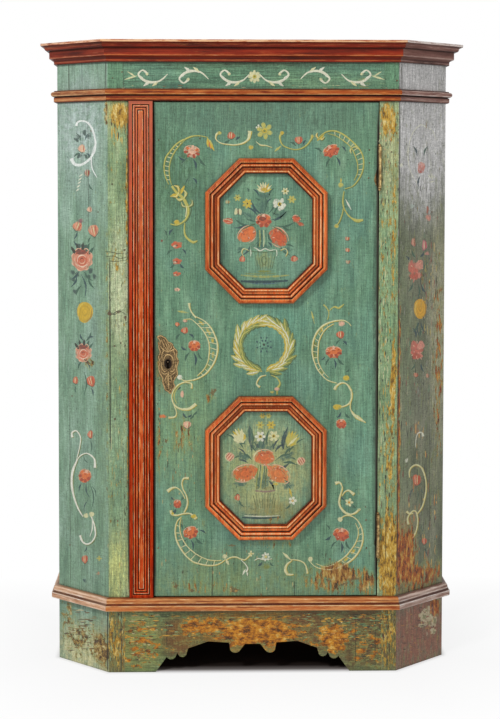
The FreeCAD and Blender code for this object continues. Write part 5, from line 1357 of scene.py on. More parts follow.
def lower_scrolls(work):
    """About the lower octagon: two C-scrolls round roses, that meet in small flowers."""
    bud(work, 187.1, 424.9, 4.7, 4.4, colour=PALE)
    scroll(work, CREAM, [(188.6, 478.2), (183.9, 478.4), (181.8, 482.6), (182.9, 488.8), (186, 494.9),
                         (187.5, 501), (186.7, 507.1), (183.9, 512.7)], (3.4, 1.6, 1.4, 1.6, 2.2, 1.4))
    scroll(work, CREAM, [(167.4, 491.4), (172.2, 488), (176.8, 487.8), (181.4, 491.8), (184.9, 498.5)],
           (4.0, 2.0, 1.2, 1.0))
    rose(work, 177.5, 504.1, 4.2, 4.8, 0)
    scroll(work, CREAM, [(170.6, 510.4), (172, 514.3), (177, 515.3), (182.9, 513.8), (189, 513.4),
                         (193.6, 515.8), (196, 518.6)], (3.6, 2.0, 1.6, 1.6, 2.0, 4.4))
    work.dab(YELLOW, 193.6, 516.4, 3.0, 2.4, level=2)
    work.dab(YELLOW, 172.6, 513.6, 1.8, 1.5, level=2)
    ladder(work, [(181.4, 516.8), (177.5, 520.7), (175.6, 526), (175.2, 532.9), (176.4, 539.8),
                  (179.1, 545.9), (182.9, 552), (187.5, 557.4), (193.6, 562), (201.3, 564.3),
                  (208.9, 565.4), (215.8, 565), (221.2, 562.7), (225, 559.7)],
           [(180.9, 518.4), (179.7, 523.7), (179.9, 530.6), (181.6, 536.7), (184.6, 542.8), (189, 548.2),
            (194.4, 552.8), (200.5, 556.6), (208.1, 559.7), (215.8, 560.6), (221.5, 560.2)],
           CREAM, rungs=8)
    rose(work, 190.8, 532.6, 8.2, 6.6, -20, ORANGE)
    work.dab(CREAM, 225, 556.6, 2.8, 2.6, level=1)
    leaf(work, CREAM, (225.5, 559), (229, 565), 3.4)
    scroll(work, CREAM, [(226, 560), (231.1, 557.4), (236.5, 557.2), (240.3, 558.9), (244.9, 559.7),
                         (248.7, 556.6), (251.4, 553)], (1.2, 1.6, 1.6, 1.2, 2.4))
    daisy(work, 251, 553.6, 3.0, 4, CREAM, CREAM)
    scroll(work, WHITE, [(241.1, 560), (245.6, 564.3), (247.8, 568.5), (246.4, 572)], (0.8, 1.6, 3.0))
    leaf(work, WHITE, (245.5, 569), (242.6, 575), 2.4)
    leaf(work, WHITE, (247, 570), (247.4, 576), 2.2)
    daisy(work, 265.8, 556.8, 4.6, 7, WHITE, CREAM, thin=0.06)
    scroll(work, WHITE, [(254.6, 560.5), (258.5, 558.6), (263, 559.6), (272, 559)], (1.0, 1.6, 1.0),
           thin=0.06)
    work.dab(OLIVE, 266, 566.5, 5.6, 4.2, thin=0.14)
    leaf(work, CREAM, (290.7, 559.9), (282.6, 552.4), 3.2)
    scroll(work, CREAM, [(289.6, 559.4), (298.1, 560.3), (304, 563), (306.6, 568.3), (307.3, 573.4)],
           (0.8, 1.5, 1.6, 2.6))
    scroll(work, CREAM, [(292, 560.4), (287, 564.5), (285.4, 570), (288, 574.4), (293.4, 574.4)],
           (0.8, 2.4, 3.6, 3.2, 1.4))
    work.dab(CREAM, 310.4, 559.2, 2.6, 2.8, level=1)
    ladder(work, [(309, 560.5), (314.7, 566.3), (321.4, 568.8), (329.7, 569.7), (337.9, 568),
                  (346.2, 563.8), (352.9, 558.9), (357.8, 553.1), (361.2, 546.4), (362.8, 539),
                  (362.4, 531.5), (360.3, 524.9), (356.2, 519.1), (350.4, 515.8), (344.6, 515.8),
                  (339.8, 519.3)],
           [(316, 563.6), (324, 566.4), (331.8, 565.4), (338.4, 561.7), (345.4, 556.4), (350.9, 550),
            (355.4, 543.1), (357.8, 536.5), (358.1, 529.9), (355.4, 523.2)], CREAM, rungs=9)
    work.dab(CREAM, 340.2, 519.4, 2.7, 2.6, level=2)
    for x, y, turn in ((346, 559.5, -40), (338, 565, -20), (353.5, 551.5, -50), (324, 567.4, 10)):
        work.dab(YELLOW, x, y, 3.8, 1.5, turn, thin=0.08)
    rose(work, 341.3, 534.6, 8.8, 6.8, 10)
    scroll(work, CREAM, [(335.2, 483.4), (339.6, 482.6), (342.1, 487.1), (341.3, 492), (339.6, 497.8),
                         (339.2, 503.6), (341.3, 508.6), (345.4, 512.8), (350.4, 514.4), (355.4, 512.8),
                         (359, 509.6)], (3.8, 1.6, 1.8, 2.4, 3.0, 2.0, 2.4), end=1.9)
    scroll(work, CREAM, [(341.9, 496), (344.6, 492), (348.7, 490.4), (352, 492.9), (354, 494.4)],
           (0.8, 1.4, 2.8, 4.6))
    daisy(work, 349.1, 502.4, 4.2, 5, CREAM, ORANGE)
    leaves(work, (LEAF, DEEP), [
        (187, 539, 183, 546), (191, 540, 193, 550), (196, 538, 203, 544), (199, 530, 206, 534),
        (183, 529, 179, 523), (175, 500, 171, 497), (181, 500, 183, 496), (176, 509, 172, 514),
        (337, 541, 331, 549), (341, 542, 341, 553), (346, 541, 350, 549), (331, 536, 325, 540),
        (330, 530, 326, 525), (187, 418, 183, 413), (190, 419, 194, 414), (345, 500, 341, 496),
        (353, 505, 356, 508), (262, 562, 258, 566), (270, 562, 274, 566)])


def upper_bouquet(work):
    """Two side roses and a full one in a ribbed pot, with small flowers above them."""
    for x, y, wide, high, turn in ((263, 206, 8, 9, 0), (281, 215, 9, 5, -30), (249, 216, 9, 4, 30),
                                   (262, 247, 12, 3, 0), (241, 249, 5, 3, 0), (287, 249, 6, 3, 0),
                                   (265, 196, 10, 4, 0)):
        work.dab(FOLIAGE_SHADE, x, y, wide, high, turn, lobes=5, lobe=0.14, thin=0.10)
    leaves(work, (LEAF, DEEP, LEAF), [
        (264, 214, 264, 193), (261, 214, 251, 200), (268, 214, 275, 200), (256, 222, 243, 213),
        (271, 220, 287, 211), (252, 226, 235, 219), (276, 226, 295, 222), (246, 224, 234, 228),
        (282, 226, 291, 230), (273, 216, 284, 203), (258, 216, 246, 207), (262, 232, 256, 244),
        (268, 232, 273, 243), (250, 246, 243, 255), (280, 246, 290, 255), (284, 245, 294, 247),
        (259, 196, 253, 189), (269, 196, 274, 188), (272, 212, 279, 214), (274, 221, 282, 218),
        (249, 192, 247, 188), (255, 198, 262, 204), (272, 198, 266, 205), (241, 250, 237, 253),
        (262, 242, 257, 248), (268, 242, 272, 248)], wide=2.8, thin=0.04)
    for spread in (-62, -42, -22, -6, 10, 28, 46, 64):
        tip = turned(264, 192.5, 0, -10.5 if abs(spread) < 50 else -8.5, spread)
        leaf(work, CREAM if spread % 4 else YELLOW, (264, 192.6), tip, 3.2, 1)
    work.dab(YELLOW, 264.2, 189.6, 3.4, 2.6, level=2, thin=0.04)
    for x in (261.4, 264.2, 267):
        work.stroke(ORANGE, [(x, 191), (x, 185.6)], (0.3, 0.7, 0.3), 3, 0.1, steps=3)
    daisy(work, 285.3, 191.2, 3.7, 6, CREAM)
    daisy(work, 291.8, 199.4, 4.1, 6, STRAW, OLIVE)
    daisy(work, 279.6, 204.2, 6.6, 5, WHITE, SOOT, turn=15)
    work.dab(WHITE, 275.6, 202.2, 3.0, 3.4, 20, level=2, thin=0.02)
    work.dab(WHITE, 281.6, 207.6, 3.6, 2.4, -10, level=2, thin=0.02)
    work.stroke(SOOT, [(279.4, 202.6), (280.6, 206)], (0.5, 1.2, 0.6), 4)
    daisy(work, 247.4, 203.7, 5.0, 7, YELLOW, SOOT)
    daisy(work, 237.4, 197.7, 3.6, 6, STRAW, SOOT)
    bud(work, 227.4, 202, 3.2, 2.4, colour=STRAW, thin=0.14)
    work.dab(CREAM, 236, 211.6, 1.9, 3.8, 8, level=1)
    work.dab(CREAM, 240.2, 211.8, 1.7, 3.6, -8, level=1)
    work.stroke(BRICK, [(238, 208.6), (238.2, 214.6)], (0.5, 1.3, 0.6), 2)
    fan(work, 228.4, 221, 5.2, 3.6, 6, CORAL, ((150, 210),), thin=0.02)
    work.stroke(CREAM, [(223.6, 219.2), (228.4, 219.8), (232.4, 221.4)], (0.3, 0.9, 0.3), 3)
    work.stroke(PALE, [(224, 223.4), (228, 222.6), (232, 221.8)], (0.3, 0.8, 0.3), 3)
    fan(work, 296.4, 219, 4.8, 3.8, 18, CORAL, ((200, 280),), thin=0.05)
    fan(work, 300.6, 224, 4.2, 2.2, 24, CORAL, (), thin=0.05)
    fan(work, 247.4, 234.4, 11.4, 8.2, -36, ORANGE, ((196, 318), (60, 110)))
    fan(work, 278.2, 237.2, 12.0, 8.8, 44, "#cb5a30", ((196, 330), (40, 90)))
    work.stroke(MOSS, [(243, 229), (250.6, 225.4), (255, 224)], (0.6, 1.8, 0.8), 3, 0.08)
    work.stroke(MOSS, [(272.6, 226.6), (279.6, 229.6), (284.6, 235)], (0.6, 1.6, 0.6), 3, 0.08)
    rose(work, 263.8, 220.8, 8.6, 7.4, 0, CORAL)
    work.dab(BRICK, 262.6, 218.8, 4.6, 2.8, level=3, thin=-0.1)
    work.dab(RUST, 263, 218.6, 1.8, 1.2, level=4, thin=-0.1)
    for k, x in enumerate((257.6, 259.6, 261.6, 263.6, 265.6)):
        work.stroke((LEAF, STRAW, DEEP, CREAM, LEAF)[k], [(x, 230), (x + 0.5, 240), (x - 0.2, 247)],
                    (0.9, 1.0, 0.8), 3, 0.05)
    work.dab("#8f9a66", 264.5, 260.4, 11.8, 10.8, thin=0.13, wobble=0.03)
    for x0, x1 in ((254.6, 258), (258.2, 260.6), (261.6, 263), (265.4, 265.6), (269.2, 268),
                   (272.6, 270.2), (275.6, 272)):
        work.stroke(MOSS, [(x0, 252.5), ((x0 + x1) / 2, 261), (x1, 269)], (0.6, 0.9, 0.6), 1, 0.10)
    work.arc(MOSS, 264, 260.4, 2.6, 4.2, 0, 350, 0, (0.7, 0.9, 0.7), 2, 0.06)
    work.stroke(WHITE, [(253.9, 247.6), (256.6, 248.6), (260.1, 250.8), (265.1, 248.7), (270, 250.4),
                        (275.6, 249.2)], (0.8, 1.5, 1.3, 0.7), 3)
    work.stroke(MOSS, [(247, 251), (264, 252.2), (281, 250.8)], (0.7, 1.2, 0.7), 2, 0.08)
    for x in (250.4, 276.4):
        work.stroke(WHITE, [(x, 249.6), (x + 0.5, 253), (x, 256.4)], (1.0, 1.5, 0.5), 3, 0.04)
    scroll(work, CREAM, [(248.4, 250.2), (243.8, 248.6), (241.6, 252), (243.4, 256.4)], (0.8, 1.2, 0.6),
           thin=0.08)
    scroll(work, CREAM, [(280.6, 250.2), (285, 248.6), (287.4, 252), (285.6, 256.4)], (0.8, 1.2, 0.6),
           thin=0.08)
    bud(work, 242.3, 258.8, 3.4, 3.8, 180)
    bud(work, 294.3, 258.6, 4.4, 3.6, 180)
    work.dab(OLIVE, 264.6, 271.4, 8.0, 1.7, thin=0.06)
    work.stroke("#a3a55c", [(241, 275.2), (265, 276.8), (289, 275.2)], (1.6, 3.6, 1.4), 0, 0.12)
    work.stroke(OLIVE, [(244, 273), (258, 274), (276, 273.2)], (0.6, 1.4, 0.6), 1, 0.12)
    work.stroke(DEEP, [(241, 281), (262, 282), (288, 280.6)], (2.4, 4.2, 1.8), 0, 0.02)
    work.stroke("#56708a", [(250, 283.6), (264, 284), (280, 283)], (0.5, 1.2, 0.5), 1, 0.10)


def lower_bouquet(work):
    """Three broad roses in a basket, with tulips, buds and daisies."""
    for x, y, wide, high, turn in ((262, 446, 15, 7, 0), (243, 456, 8, 5, 30), (287, 456, 9, 5, -30),
                                   (263, 482, 9, 9, 0), (240, 484, 8, 3, 0), (288, 486, 7, 4, 0),
                                   (250, 436, 4, 9, 0), (285, 438, 4, 9, 0)):
        work.dab(FOLIAGE_SHADE, x, y, wide, high, turn, lobes=5, lobe=0.14, thin=0.09)
    leaves(work, (LEAF, DEEP, LEAF), [
        (251, 452, 249.4, 425), (283, 450, 287.4, 428), (244, 449, 226, 434), (288, 454, 305, 438),
        (262, 448, 262, 430), (268, 448, 269, 430), (257, 450, 253, 441), (273, 450, 279, 439),
        (252, 460, 240, 453), (276, 460, 292, 454), (248, 463, 238, 460), (282, 463, 297, 465),
        (262, 480, 257, 490), (268, 480, 274, 490), (242, 482, 236, 488), (284, 480, 292, 488),
        (246, 456, 238, 448), (284, 456, 294, 447), (256, 452, 249, 446), (275, 452, 284, 444),
        (239, 500, 244, 507), (290, 504, 285, 509), (280, 468, 289, 463), (235, 458, 241, 456),
        (296, 460, 290, 458), (259, 448, 257, 443), (271, 447, 274, 442)], wide=3.0, thin=0.03)
    work.stroke(DEEP, [(252, 450), (249.8, 440), (249.6, 426)], (1.4, 3.4, 1.2), 1, 0.02)
    work.stroke(DEEP, [(283.4, 449), (285, 438), (287.8, 427)], (1.2, 3.0, 0.8), 1, 0.02)
    tulip(work, 239.8, 437.0, 10.0, -32)
    tulip(work, 291.0, 440.2, 10.4, 30, STRAW, YELLOW)
    for x, y, size, tone in ((262.5, 415.9, 2.9, YELLOW), (268.5, 415.9, 2.9, STRAW),
                             (260.3, 425, 4.0, STRAW), (271.1, 425, 4.4, YELLOW),
                             (260.3, 436.6, 5.6, WHITE), (273.7, 436.1, 5.6, CREAM)):
        daisy(work, x, y, size, 6, tone)
    for x, y, size, turn in ((229.8, 456.8, 5.0, 40), (301.2, 461.1, 4.6, -30)):
        work.dab(PALE, x, y, size, size, level=0)
        for across, tone in ((-0.5, RUST), (-0.05, CORAL), (0.45, RUST)):
            top = turned(x, y, across * size, -0.75 * size, turn)
            foot = turned(x, y, across * size, 0.75 * size, turn)
            work.stroke(tone, [top, foot], (0.4, 1.5, 0.4), 1, 0.04)
        work.arc(CREAM, x, y, size * 0.9, size * 0.9, 100, 250, 0, (0.4, 1.2, 0.4), 2)
    fan(work, 245.2, 473.2, 14.2, 8.8, -14, "#d5682f", ((170, 330), (80, 150)))
    fan(work, 278.0, 474.4, 13.2, 9.2, 28, "#d8773c", ((200, 350), (0, 40)))
    fan(work, 264.5, 457.4, 11.4, 8.2, 0, "#d46a38", ((150, 330), (60, 110)))
    work.arc(CREAM, 264.5, 457.4, 10.6, 7.6, 160, 250, 0, (0.5, 1.8, 0.5), 3)
    work.stroke("#e2805a", [(265.4, 463.6), (268.6, 467.4), (272.4, 470.4)], (1.0, 2.6, 1.0), 3)
    for k, x in enumerate((256.8, 259, 261.2, 263.4, 265.4)):
        work.stroke((OLIVE, LEAF, STRAW, LEAF, MOSS)[k], [(x + 1.6, 465), (x + 0.3, 478), (x - 0.6, 489)],
                    (0.9, 1.5, 0.8), 3, 0.04)
    work.dab("#8a8758", 267, 487.4, 13.0, 4.0, thin=0.12, wobble=0.08)
    work.dab("#8f8f60", 265, 501, 13.8, 10.6, thin=0.17, wobble=0.03)
    for k in range(9):
        x = 252.5 + 3.1 * k
        work.stroke(MOSS, [(x, 493), (x + (265 - x) * 0.15, 500), (x + (265 - x) * 0.3, 508)],
                    (0.6, 1.0, 0.6), 1, 0.12)
    work.stroke("#8b7468", [(255.4, 490.6), (265, 491.6), (275, 490.4)], (1.8, 2.6, 1.4), 2, 0.06)
    work.dab(YELLOW, 275.6, 484, 3.4, 1.6, level=2, thin=0.1)
    bud(work, 237.5, 497.2, 3.4, 3.8, 180)
    daisy(work, 292.6, 500.7, 4.2, 5, WHITE, PALE)
    leaf(work, YELLOW, (292, 497), (289, 488), 3.0, thin=0.05)
    work.stroke(DEEP, [(242, 517.4), (262, 518.2), (280.6, 517)], (1.8, 2.6, 1.4), 0, 0.02)
    work.stroke(WHITE, [(244, 515.8), (262, 516.4), (279.6, 515.6)], (0.8, 1.3, 0.6), 1, 0.06)
    work.stroke(DEEP, [(240, 513.6), (250, 514.4), (262, 514)], (0.5, 1.0, 0.5), 0, 0.12)


def left_flowers(work):
    """Down the left canted board: scroll, roses, a yellow disc, roses, and an S-scroll."""
    scroll(work, SCROLL_WHITE, [(76.4, 126), (77.6, 122.4), (81.5, 121), (87.4, 122.6), (92.4, 129.5),
                                (95.4, 141.4), (94.4, 151.3), (89.4, 159.2), (81.5, 164.7), (74.6, 164.1),
                                (71.2, 158.4)], (3.0, 1.8, 2.2, 2.2, 2.8, 4.0), shade=False, thin=-0.1)
    scroll(work, SCROLL_WHITE, [(95.2, 143.4), (91.8, 155.2), (91.8, 167.1), (96.8, 177.4)],
           (0.7, 1.6, 0.8), shade=False)
    scroll(work, SCROLL_WHITE, [(79, 165.5), (74, 163), (72.6, 158)], (0.5, 1.2, 2.2), shade=False)
    bud(work, 81.9, 148.7, 4.4, 4.6, colour=PALE)
    bud(work, 87.2, 173.2, 3.8, 4.6, colour=BRICK, thin=0.14)
    for k in range(5):
        leaf(work, WHITE, (82.6 - 0.8 * k, 174 + 3.6 * k), (79.2 - 0.8 * k, 176.8 + 3.6 * k), 1.6, 1, -0.1)
    bud(work, 89.4, 209.6, 3.0, 3.4, colour=PALE, thin=0.06)
    bud(work, 77.5, 226.4, 5.6, 5.6, 20, colour="#d98868")
    work.dab("#8a5a5e", 80.6, 220.6, 3.2, 2.6, level=1, thin=0.06)
    bud(work, 93.6, 230.7, 5.8, 7.2, -10, colour="#d98868")
    cabbage_rose(work, 82.1, 259.2, 11.6, 12.8)
    work.dab("#cba52a", 84.9, 312.2, 9.2, 12.0, wobble=0.03, thin=-0.1)
    work.arc("#d8bb48", 84.9, 312.2, 6.4, 9.0, 160, 280, 0, (0.5, 2.2, 0.5), 1, 0.02)
    work.arc("#a98322", 84.9, 312.2, 6.8, 9.4, -20, 100, 0, (0.5, 2.0, 0.5), 1, 0.04)
    cabbage_rose(work, 83.5, 352.8, 9.0, 10.2)
    bud(work, 75.6, 380.5, 3.4, 4.2)
    bud(work, 91, 381.3, 4.8, 6.4, -15)
    leaves(work, (LEAF, DEEP), [
        (81, 141, 76, 133), (85, 140, 90, 133), (80, 153, 74, 157), (86, 153, 90, 158),
        (89, 184, 93, 190), (77, 232, 74, 239), (91, 237, 88, 244), (80, 247, 74, 241),
        (84, 247, 90, 243), (79, 271, 70, 280), (84, 271, 93, 281), (81, 274, 85, 298),
        (82, 285, 76, 296), (77, 276, 71, 287), (88, 276, 95, 289), (84, 341, 80, 333),
        (86, 341, 91, 332), (88, 338, 94, 337), (82, 361, 78, 370), (86, 361, 90, 369),
        (76, 386, 76, 393), (91, 388, 93, 396), (84, 395, 84, 372)], wide=2.4, thin=0.0)
    for x, y, turn in ((72.6, 272.8, 70), (90.8, 270.8, 110), (94.4, 276.4, 60), (72.4, 279, 30),
                       (77.4, 274.4, 90), (88.2, 276.6, 20), (79.2, 245.6, 10), (85.6, 246.8, -10),
                       (75.4, 291.6, 40), (78.6, 137, 60), (88.8, 136, 110), (84.6, 132.6, 90),
                       (76.8, 139.4, 30), (86.6, 156.4, 30), (79.4, 156, 140)):
        work.dab("#3d4f48", x, y, 3.4, 2.5, turn, lobes=3, lobe=0.12, thin=0.04)
    scroll(work, SCROLL_IVORY, [(72.6, 437.4), (72.2, 432.8), (76.6, 431), (80.6, 437), (80.2, 444.6),
                                (78.3, 453.6), (76, 462)], (3.6, 2.0, 1.5, 1.4, 0.8))
    scroll(work, SCROLL_IVORY, [(95.2, 467.8), (94.8, 459.9), (91, 455.5), (85.9, 453.4), (79.5, 456.8),
                                (75.7, 463.8), (72.9, 471.4), (71.9, 482.9), (73.8, 495.7), (78.3, 508.4),
                                (83.2, 516.6)], (4.0, 2.2, 1.4, 1.6, 3.4, 3.4, 2.4, 1.6))
    work.dab(CREAM, 86, 515.6, 2.6, 2.6, level=2)
    work.dab(CREAM, 91.6, 514.4, 2.8, 2.8, level=2)
    scroll(work, SCROLL_IVORY, [(91.7, 517), (94.8, 526.3), (95.5, 535.2), (92.3, 541.6), (87.2, 544.3),
                                (82.7, 541.6), (80.2, 535.4)], (1.8, 2.4, 2.0, 2.4, 3.2))
    scroll(work, SCROLL_IVORY, [(92.3, 520.4), (92.2, 529), (89.8, 536.4)], (0.6, 1.4, 0.6), shade=False)
    bud(work, 90.4, 434.6, 3.4, 4.6)
    rose(work, 84.9, 476.1, 6.8, 7.4, 20, ORANGE)
    bud(work, 84.9, 559.4, 3.4, 5.0)
    work.dab(ORANGE, 98, 573.6, 2.2, 2.4, thin=0.16)
    daisy(work, 99.2, 558.4, 2.6, 4, STRAW, STRAW)
    work.dab(DEEP, 84.9, 580.5, 2.6, 3.0, thin=0.12)
    leaves(work, (DEEP, LEAF), [(86, 484, 90, 498), (90, 484, 91, 511), (82, 483, 79, 492),
                                (90, 440, 91, 452), (88, 500, 84, 512), (92, 486, 96, 497),
                                (84, 552, 87, 546), (88, 463, 84, 457)], wide=1.8, thin=0.03)


def right_flowers(work):
    """The same down the right one, where most of it is rubbed away."""
    scroll(work, WHITE, [(426, 127), (420.7, 124.9), (413, 132.5), (408.8, 146), (408.2, 159.5),
                         (411.1, 173), (416.9, 182.7)], (0.9, 1.3, 1.3, 1.2, 0.9), shade=False, thin=0.09)
    scroll(work, WHITE, [(424, 126.5), (432.3, 130.5), (436.2, 140.2)], (0.8, 1.2, 0.6), shade=False,
           thin=0.12)
    work.dab("#cf8474", 421.3, 167.6, 4.4, 6.6, lobes=4, lobe=0.1, thin=0.02)
    work.dab("#e2a596", 422.4, 164.8, 2.4, 3.0, lobes=3, lobe=0.15, level=1, thin=0.0)
    work.dab("#b9604f", 420.2, 171.4, 2.6, 2.2, lobes=3, lobe=0.15, level=1, thin=0.02)
    for a, b in (((428.4, 174.8), (430.6, 178.4)), ((431.6, 173.2), (432.6, 179.6)),
                 ((429.2, 182.4), (434.6, 181)), ((433.8, 175.4), (434.4, 178.2))):
        leaf(work, WHITE, a, b, 1.6, thin=-0.06)
    work.dab(WHITE, 401.4, 165.3, 2.0, 2.4, thin=0.06)
    work.dab("#b9c4b8", 412, 206, 2.8, 2.6, lobes=3, lobe=0.2, thin=0.06)
    work.dab("#a8664f", 427.5, 210, 1.6, 4.6, thin=0.06)
    work.dab("#d59480", 428.4, 217.6, 3.0, 4.0, lobes=3, lobe=0.1, thin=0.04)
    bud(work, 413.6, 242.5, 2.8, 5.4, colour="#c4796a", thin=0.10)
    bud(work, 424.4, 245.6, 3.2, 6.2, colour="#c9697a", thin=0.04)
    work.dab("#c88c7c", 427.2, 253.4, 2.8, 2.2, lobes=3, lobe=0.2, thin=0.08)
    worn_rose(work, 415.6, 270.8, 8.2, 12.6)
    work.dab("#dba530", 420.2, 308.7, 7.4, 11.4, wobble=0.03, thin=-0.1)
    work.arc("#ecc65e", 420.2, 308.7, 5, 8.6, 130, 250, 0, (0.5, 2.2, 0.5), 1, 0.02)
    work.arc("#a97a24", 420.2, 308.7, 5.8, 9.4, -60, 70, 0, (0.5, 1.6, 0.5), 1, 0.04)
    worn_rose(work, 417.4, 351, 7.4, 12.0, -0.02)
    bud(work, 415.9, 375, 3.0, 3.0, thin=0.12)
    bud(work, 427.4, 376, 2.4, 3.0, thin=0.18)
    leaves(work, (DEEP, LEAF), [
        (417, 156, 413, 146), (424, 156, 428, 146), (420, 176, 419, 188), (416, 258, 412, 250),
        (420, 257, 424, 252), (413, 282, 408, 292), (421, 283, 427, 294), (418, 284, 418, 298),
        (416, 338, 413, 328), (420, 338, 424, 326), (419, 322, 419, 336), (415, 363, 411, 370),
        (421, 363, 424, 372), (418, 322, 413, 332), (421, 322, 426, 333), (424, 270, 428, 262),
        (410, 262, 406, 256)], wide=2.4, thin=0.03)
    scroll(work, WHITE, [(423, 436.4), (421.6, 432.6), (417.6, 433.6), (415.9, 440), (415.5, 448.6)],
           (3.4, 1.8, 1.2, 0.6), shade=False, thin=0.06)
    work.dab(WHITE, 406.6, 460.2, 1.6, 2.8, 20, level=1)
    scroll(work, CREAM, [(409.5, 477.4), (409.3, 471.6), (412, 466.7), (416.9, 465), (421.9, 468.3),
                         (424.9, 476.5), (426.2, 486.4), (424.9, 497.5), (421.9, 507.4), (417.4, 513.6)],
           (1.0, 1.6, 2.4, 1.6, 1.6, 1.2), thin=0.02)
    scroll(work, CREAM, [(406.6, 511.4), (409.6, 513.6), (413, 511), (416, 511.8), (417.6, 518),
                         (417.3, 526), (415.6, 532.6), (412.9, 537.6)],
           (3.0, 1.6, 1.8, 1.6, 1.4, 1.8), thin=0.02)
    scroll(work, CREAM, [(413, 513.4), (409.6, 514.4), (407.6, 519), (408.6, 524.4)], (1.2, 1.5, 3.2),
           thin=0.02)
    bud(work, 416.9, 480.2, 5.0, 6.8)
    bud(work, 424.3, 541.4, 2.9, 4.0)
    leaves(work, (DEEP, LEAF), [(414, 488, 410, 497), (417, 489, 416, 503), (421, 487, 424, 494),
                                (423, 532, 422, 524), (426, 548, 428, 556)], wide=1.5, thin=0.12)


def band_flourish(work):
    """On the band under the cornice: a plain flourish of scrolls and leaves."""
    for side in (-1, 1):
        for k in range(3):
            x = BAND_X + side * (17 + 41 * k)
            flip = 1 if k % 2 else -1
            scroll(work, BAND_CREAM, [(x - side * 12, BAND_Y + 2.5 * flip),
                                      (x - side * 4, BAND_Y - 4.4 * flip),
                                      (x + side * 8, BAND_Y - 5.2 * flip),
                                      (x + side * 17, BAND_Y + 1.5 * flip),
                                      (x + side * 13, BAND_Y + 6.4 * flip),
                                      (x + side * 8, BAND_Y + 3.0 * flip)],
                   (0.9, 2.0, 3.2, 2.2, 1.6, 2.8), shade=False, thin=-0.08)
            for foot, lean, long in ((-3, 1, 8), (5, 1, 9), (11, -1, 7)):
                start = Vector((x + side * foot, BAND_Y - 4.6 * flip))
                tip = start + Vector((side * long * 0.8, -flip * 5.0 * lean if lean > 0 else flip * 6.0))
                leaf(work, WHITE if foot > 0 else CREAM, start, tip, 3.5, 1, -0.04)
            work.dab(CREAM, x + side * 8.4, BAND_Y + 2.6 * flip, 1.7, 1.6, level=2)
        leaf(work, CREAM, (BAND_X + side * 117, BAND_Y - 1), (BAND_X + side * 130, BAND_Y + 3), 2.4)
        leaf(work, CREAM, (BAND_X + side * 119, BAND_Y), (BAND_X + side * 127, BAND_Y - 5), 2.0)
    daisy(work, BAND_X, BAND_Y, 6.4, 8, CREAM, OLIVE)


def stile_marks(work):
    """Splits and flakes down the two stiles."""
    for line in (((105, 251.6), (112, 252.2), (118, 253.6), (126.4, 253)),
                 ((105.4, 256.8), (113, 256), (120, 258.4), (126.6, 257)),
                 ((108.6, 261), (116, 261.4), (126, 260.4)),
                 ((108.4, 310), (114, 314.6), (120, 311.4), (126.6, 315.2)),
                 ((110, 316), (116, 312), (121, 309.4))):
        work.stroke(SPLIT_DARK, line, (0.3, 0.9, 0.7, 0.3), 1, -0.1)
    for x, y, wide, high in ((109.6, 313, 2.2, 3.4), (118.4, 312, 3.0, 1.6), (125.4, 318, 1.4, 3.0)):
        work.dab(SPLIT_BROWN, x, y, wide, high, lobes=3, lobe=0.2)
    splits(work, (SPLIT_DARK, OLD_CREAM, SPLIT_DARK, "#8fb08c"), (108.5, 225, 126, 345), 70, 5, 0.8)
    splits(work, (SPLIT_DARK, SPLIT_BROWN), (124, 190, 127, 520), 60, 6, 0.9)
    splits(work, (OLD_OCHRE, "#d8b75a", SPLIT_DARK), (110, 110, 126, 140), 16, 14, 2.0)
    splits(work, (OLD_OCHRE, OLD_CREAM, SPLIT_DARK, "#9ab07e"), (108, 400, 126, 596), 46, 10, 1.0)
    splits(work, (OLD_CREAM, "#d9a27c", SPLIT_DARK, "#7fa184", SPLIT_BROWN), (379, 108, 391, 200), 70, 7,
           1.5)
    splits(work, (SPLIT_DARK, "#5f8f6c", SPLIT_BROWN, OLD_CREAM, "#93b483"), (378.5, 195, 391, 330), 120,
           11, 1.3)
    splits(work, (SPLIT_DARK, OLD_CREAM, "#6f9a66", OLD_OCHRE), (378.5, 325, 391, 440), 100, 8, 1.3)
    splits(work, (OLD_OCHRE, SPLIT_BROWN, "#d9b24a", SPLIT_DARK), (379, 430, 391, 590), 60, 12, 2.2)
    splits(work, (SPLIT_BROWN, "#8fb08c", OLD_OCHRE, SPLIT_DARK, "#7c5a30"), (109.5, 613, 125, 660), 70,
           7, 2.2)
    splits(work, (SPLIT_BROWN, "#6b4a28", OLD_OCHRE, "#6f8a5c", "#3a2a18"), (379, 613, 391, 660), 70, 7,
           2.2)


def plinth_marks(work):
    """Broken paint along the plinth board."""
    splits(work, ("#6f9a6a", "#2c2014", "#dba23a", "#8fae7c"), (129, 613, 384, 638), 210, 8, 1.5,
           upright=False)
    splits(work, ("#e0a83c", "#3a2412", "#d8c890"), (318, 618, 346, 640), 40, 5, 2.0, upright=False)
    splits(work, ("#7f9a62", "#d2a23c", "#3a2412", "#6e4a22", "#cfc08a"), (129, 614, 154, 660), 110, 7,
           1.9, upright=False)
    right_end = ("#8a9458", "#c9882c", "#2c2014", "#5e3e1e")
    splits(work, right_end, (340, 614, 379, 640), 90, 7, 1.9, upright=False)
    splits(work, right_end, (356, 640, 378, 660), 60, 6, 1.9, upright=False)


def frieze_marks(work):
    """Fine splits along the band under the cornice."""
    splits(work, ("#3c5a48", "#7fae8c", SPLIT_DARK), (112, 63, 392, 91), 90, 13, 0.6, upright=False)
    splits(work, ("#8a6a40", OLD_CREAM), (112, 85, 392, 91), 26, 5, 0.9, upright=False)


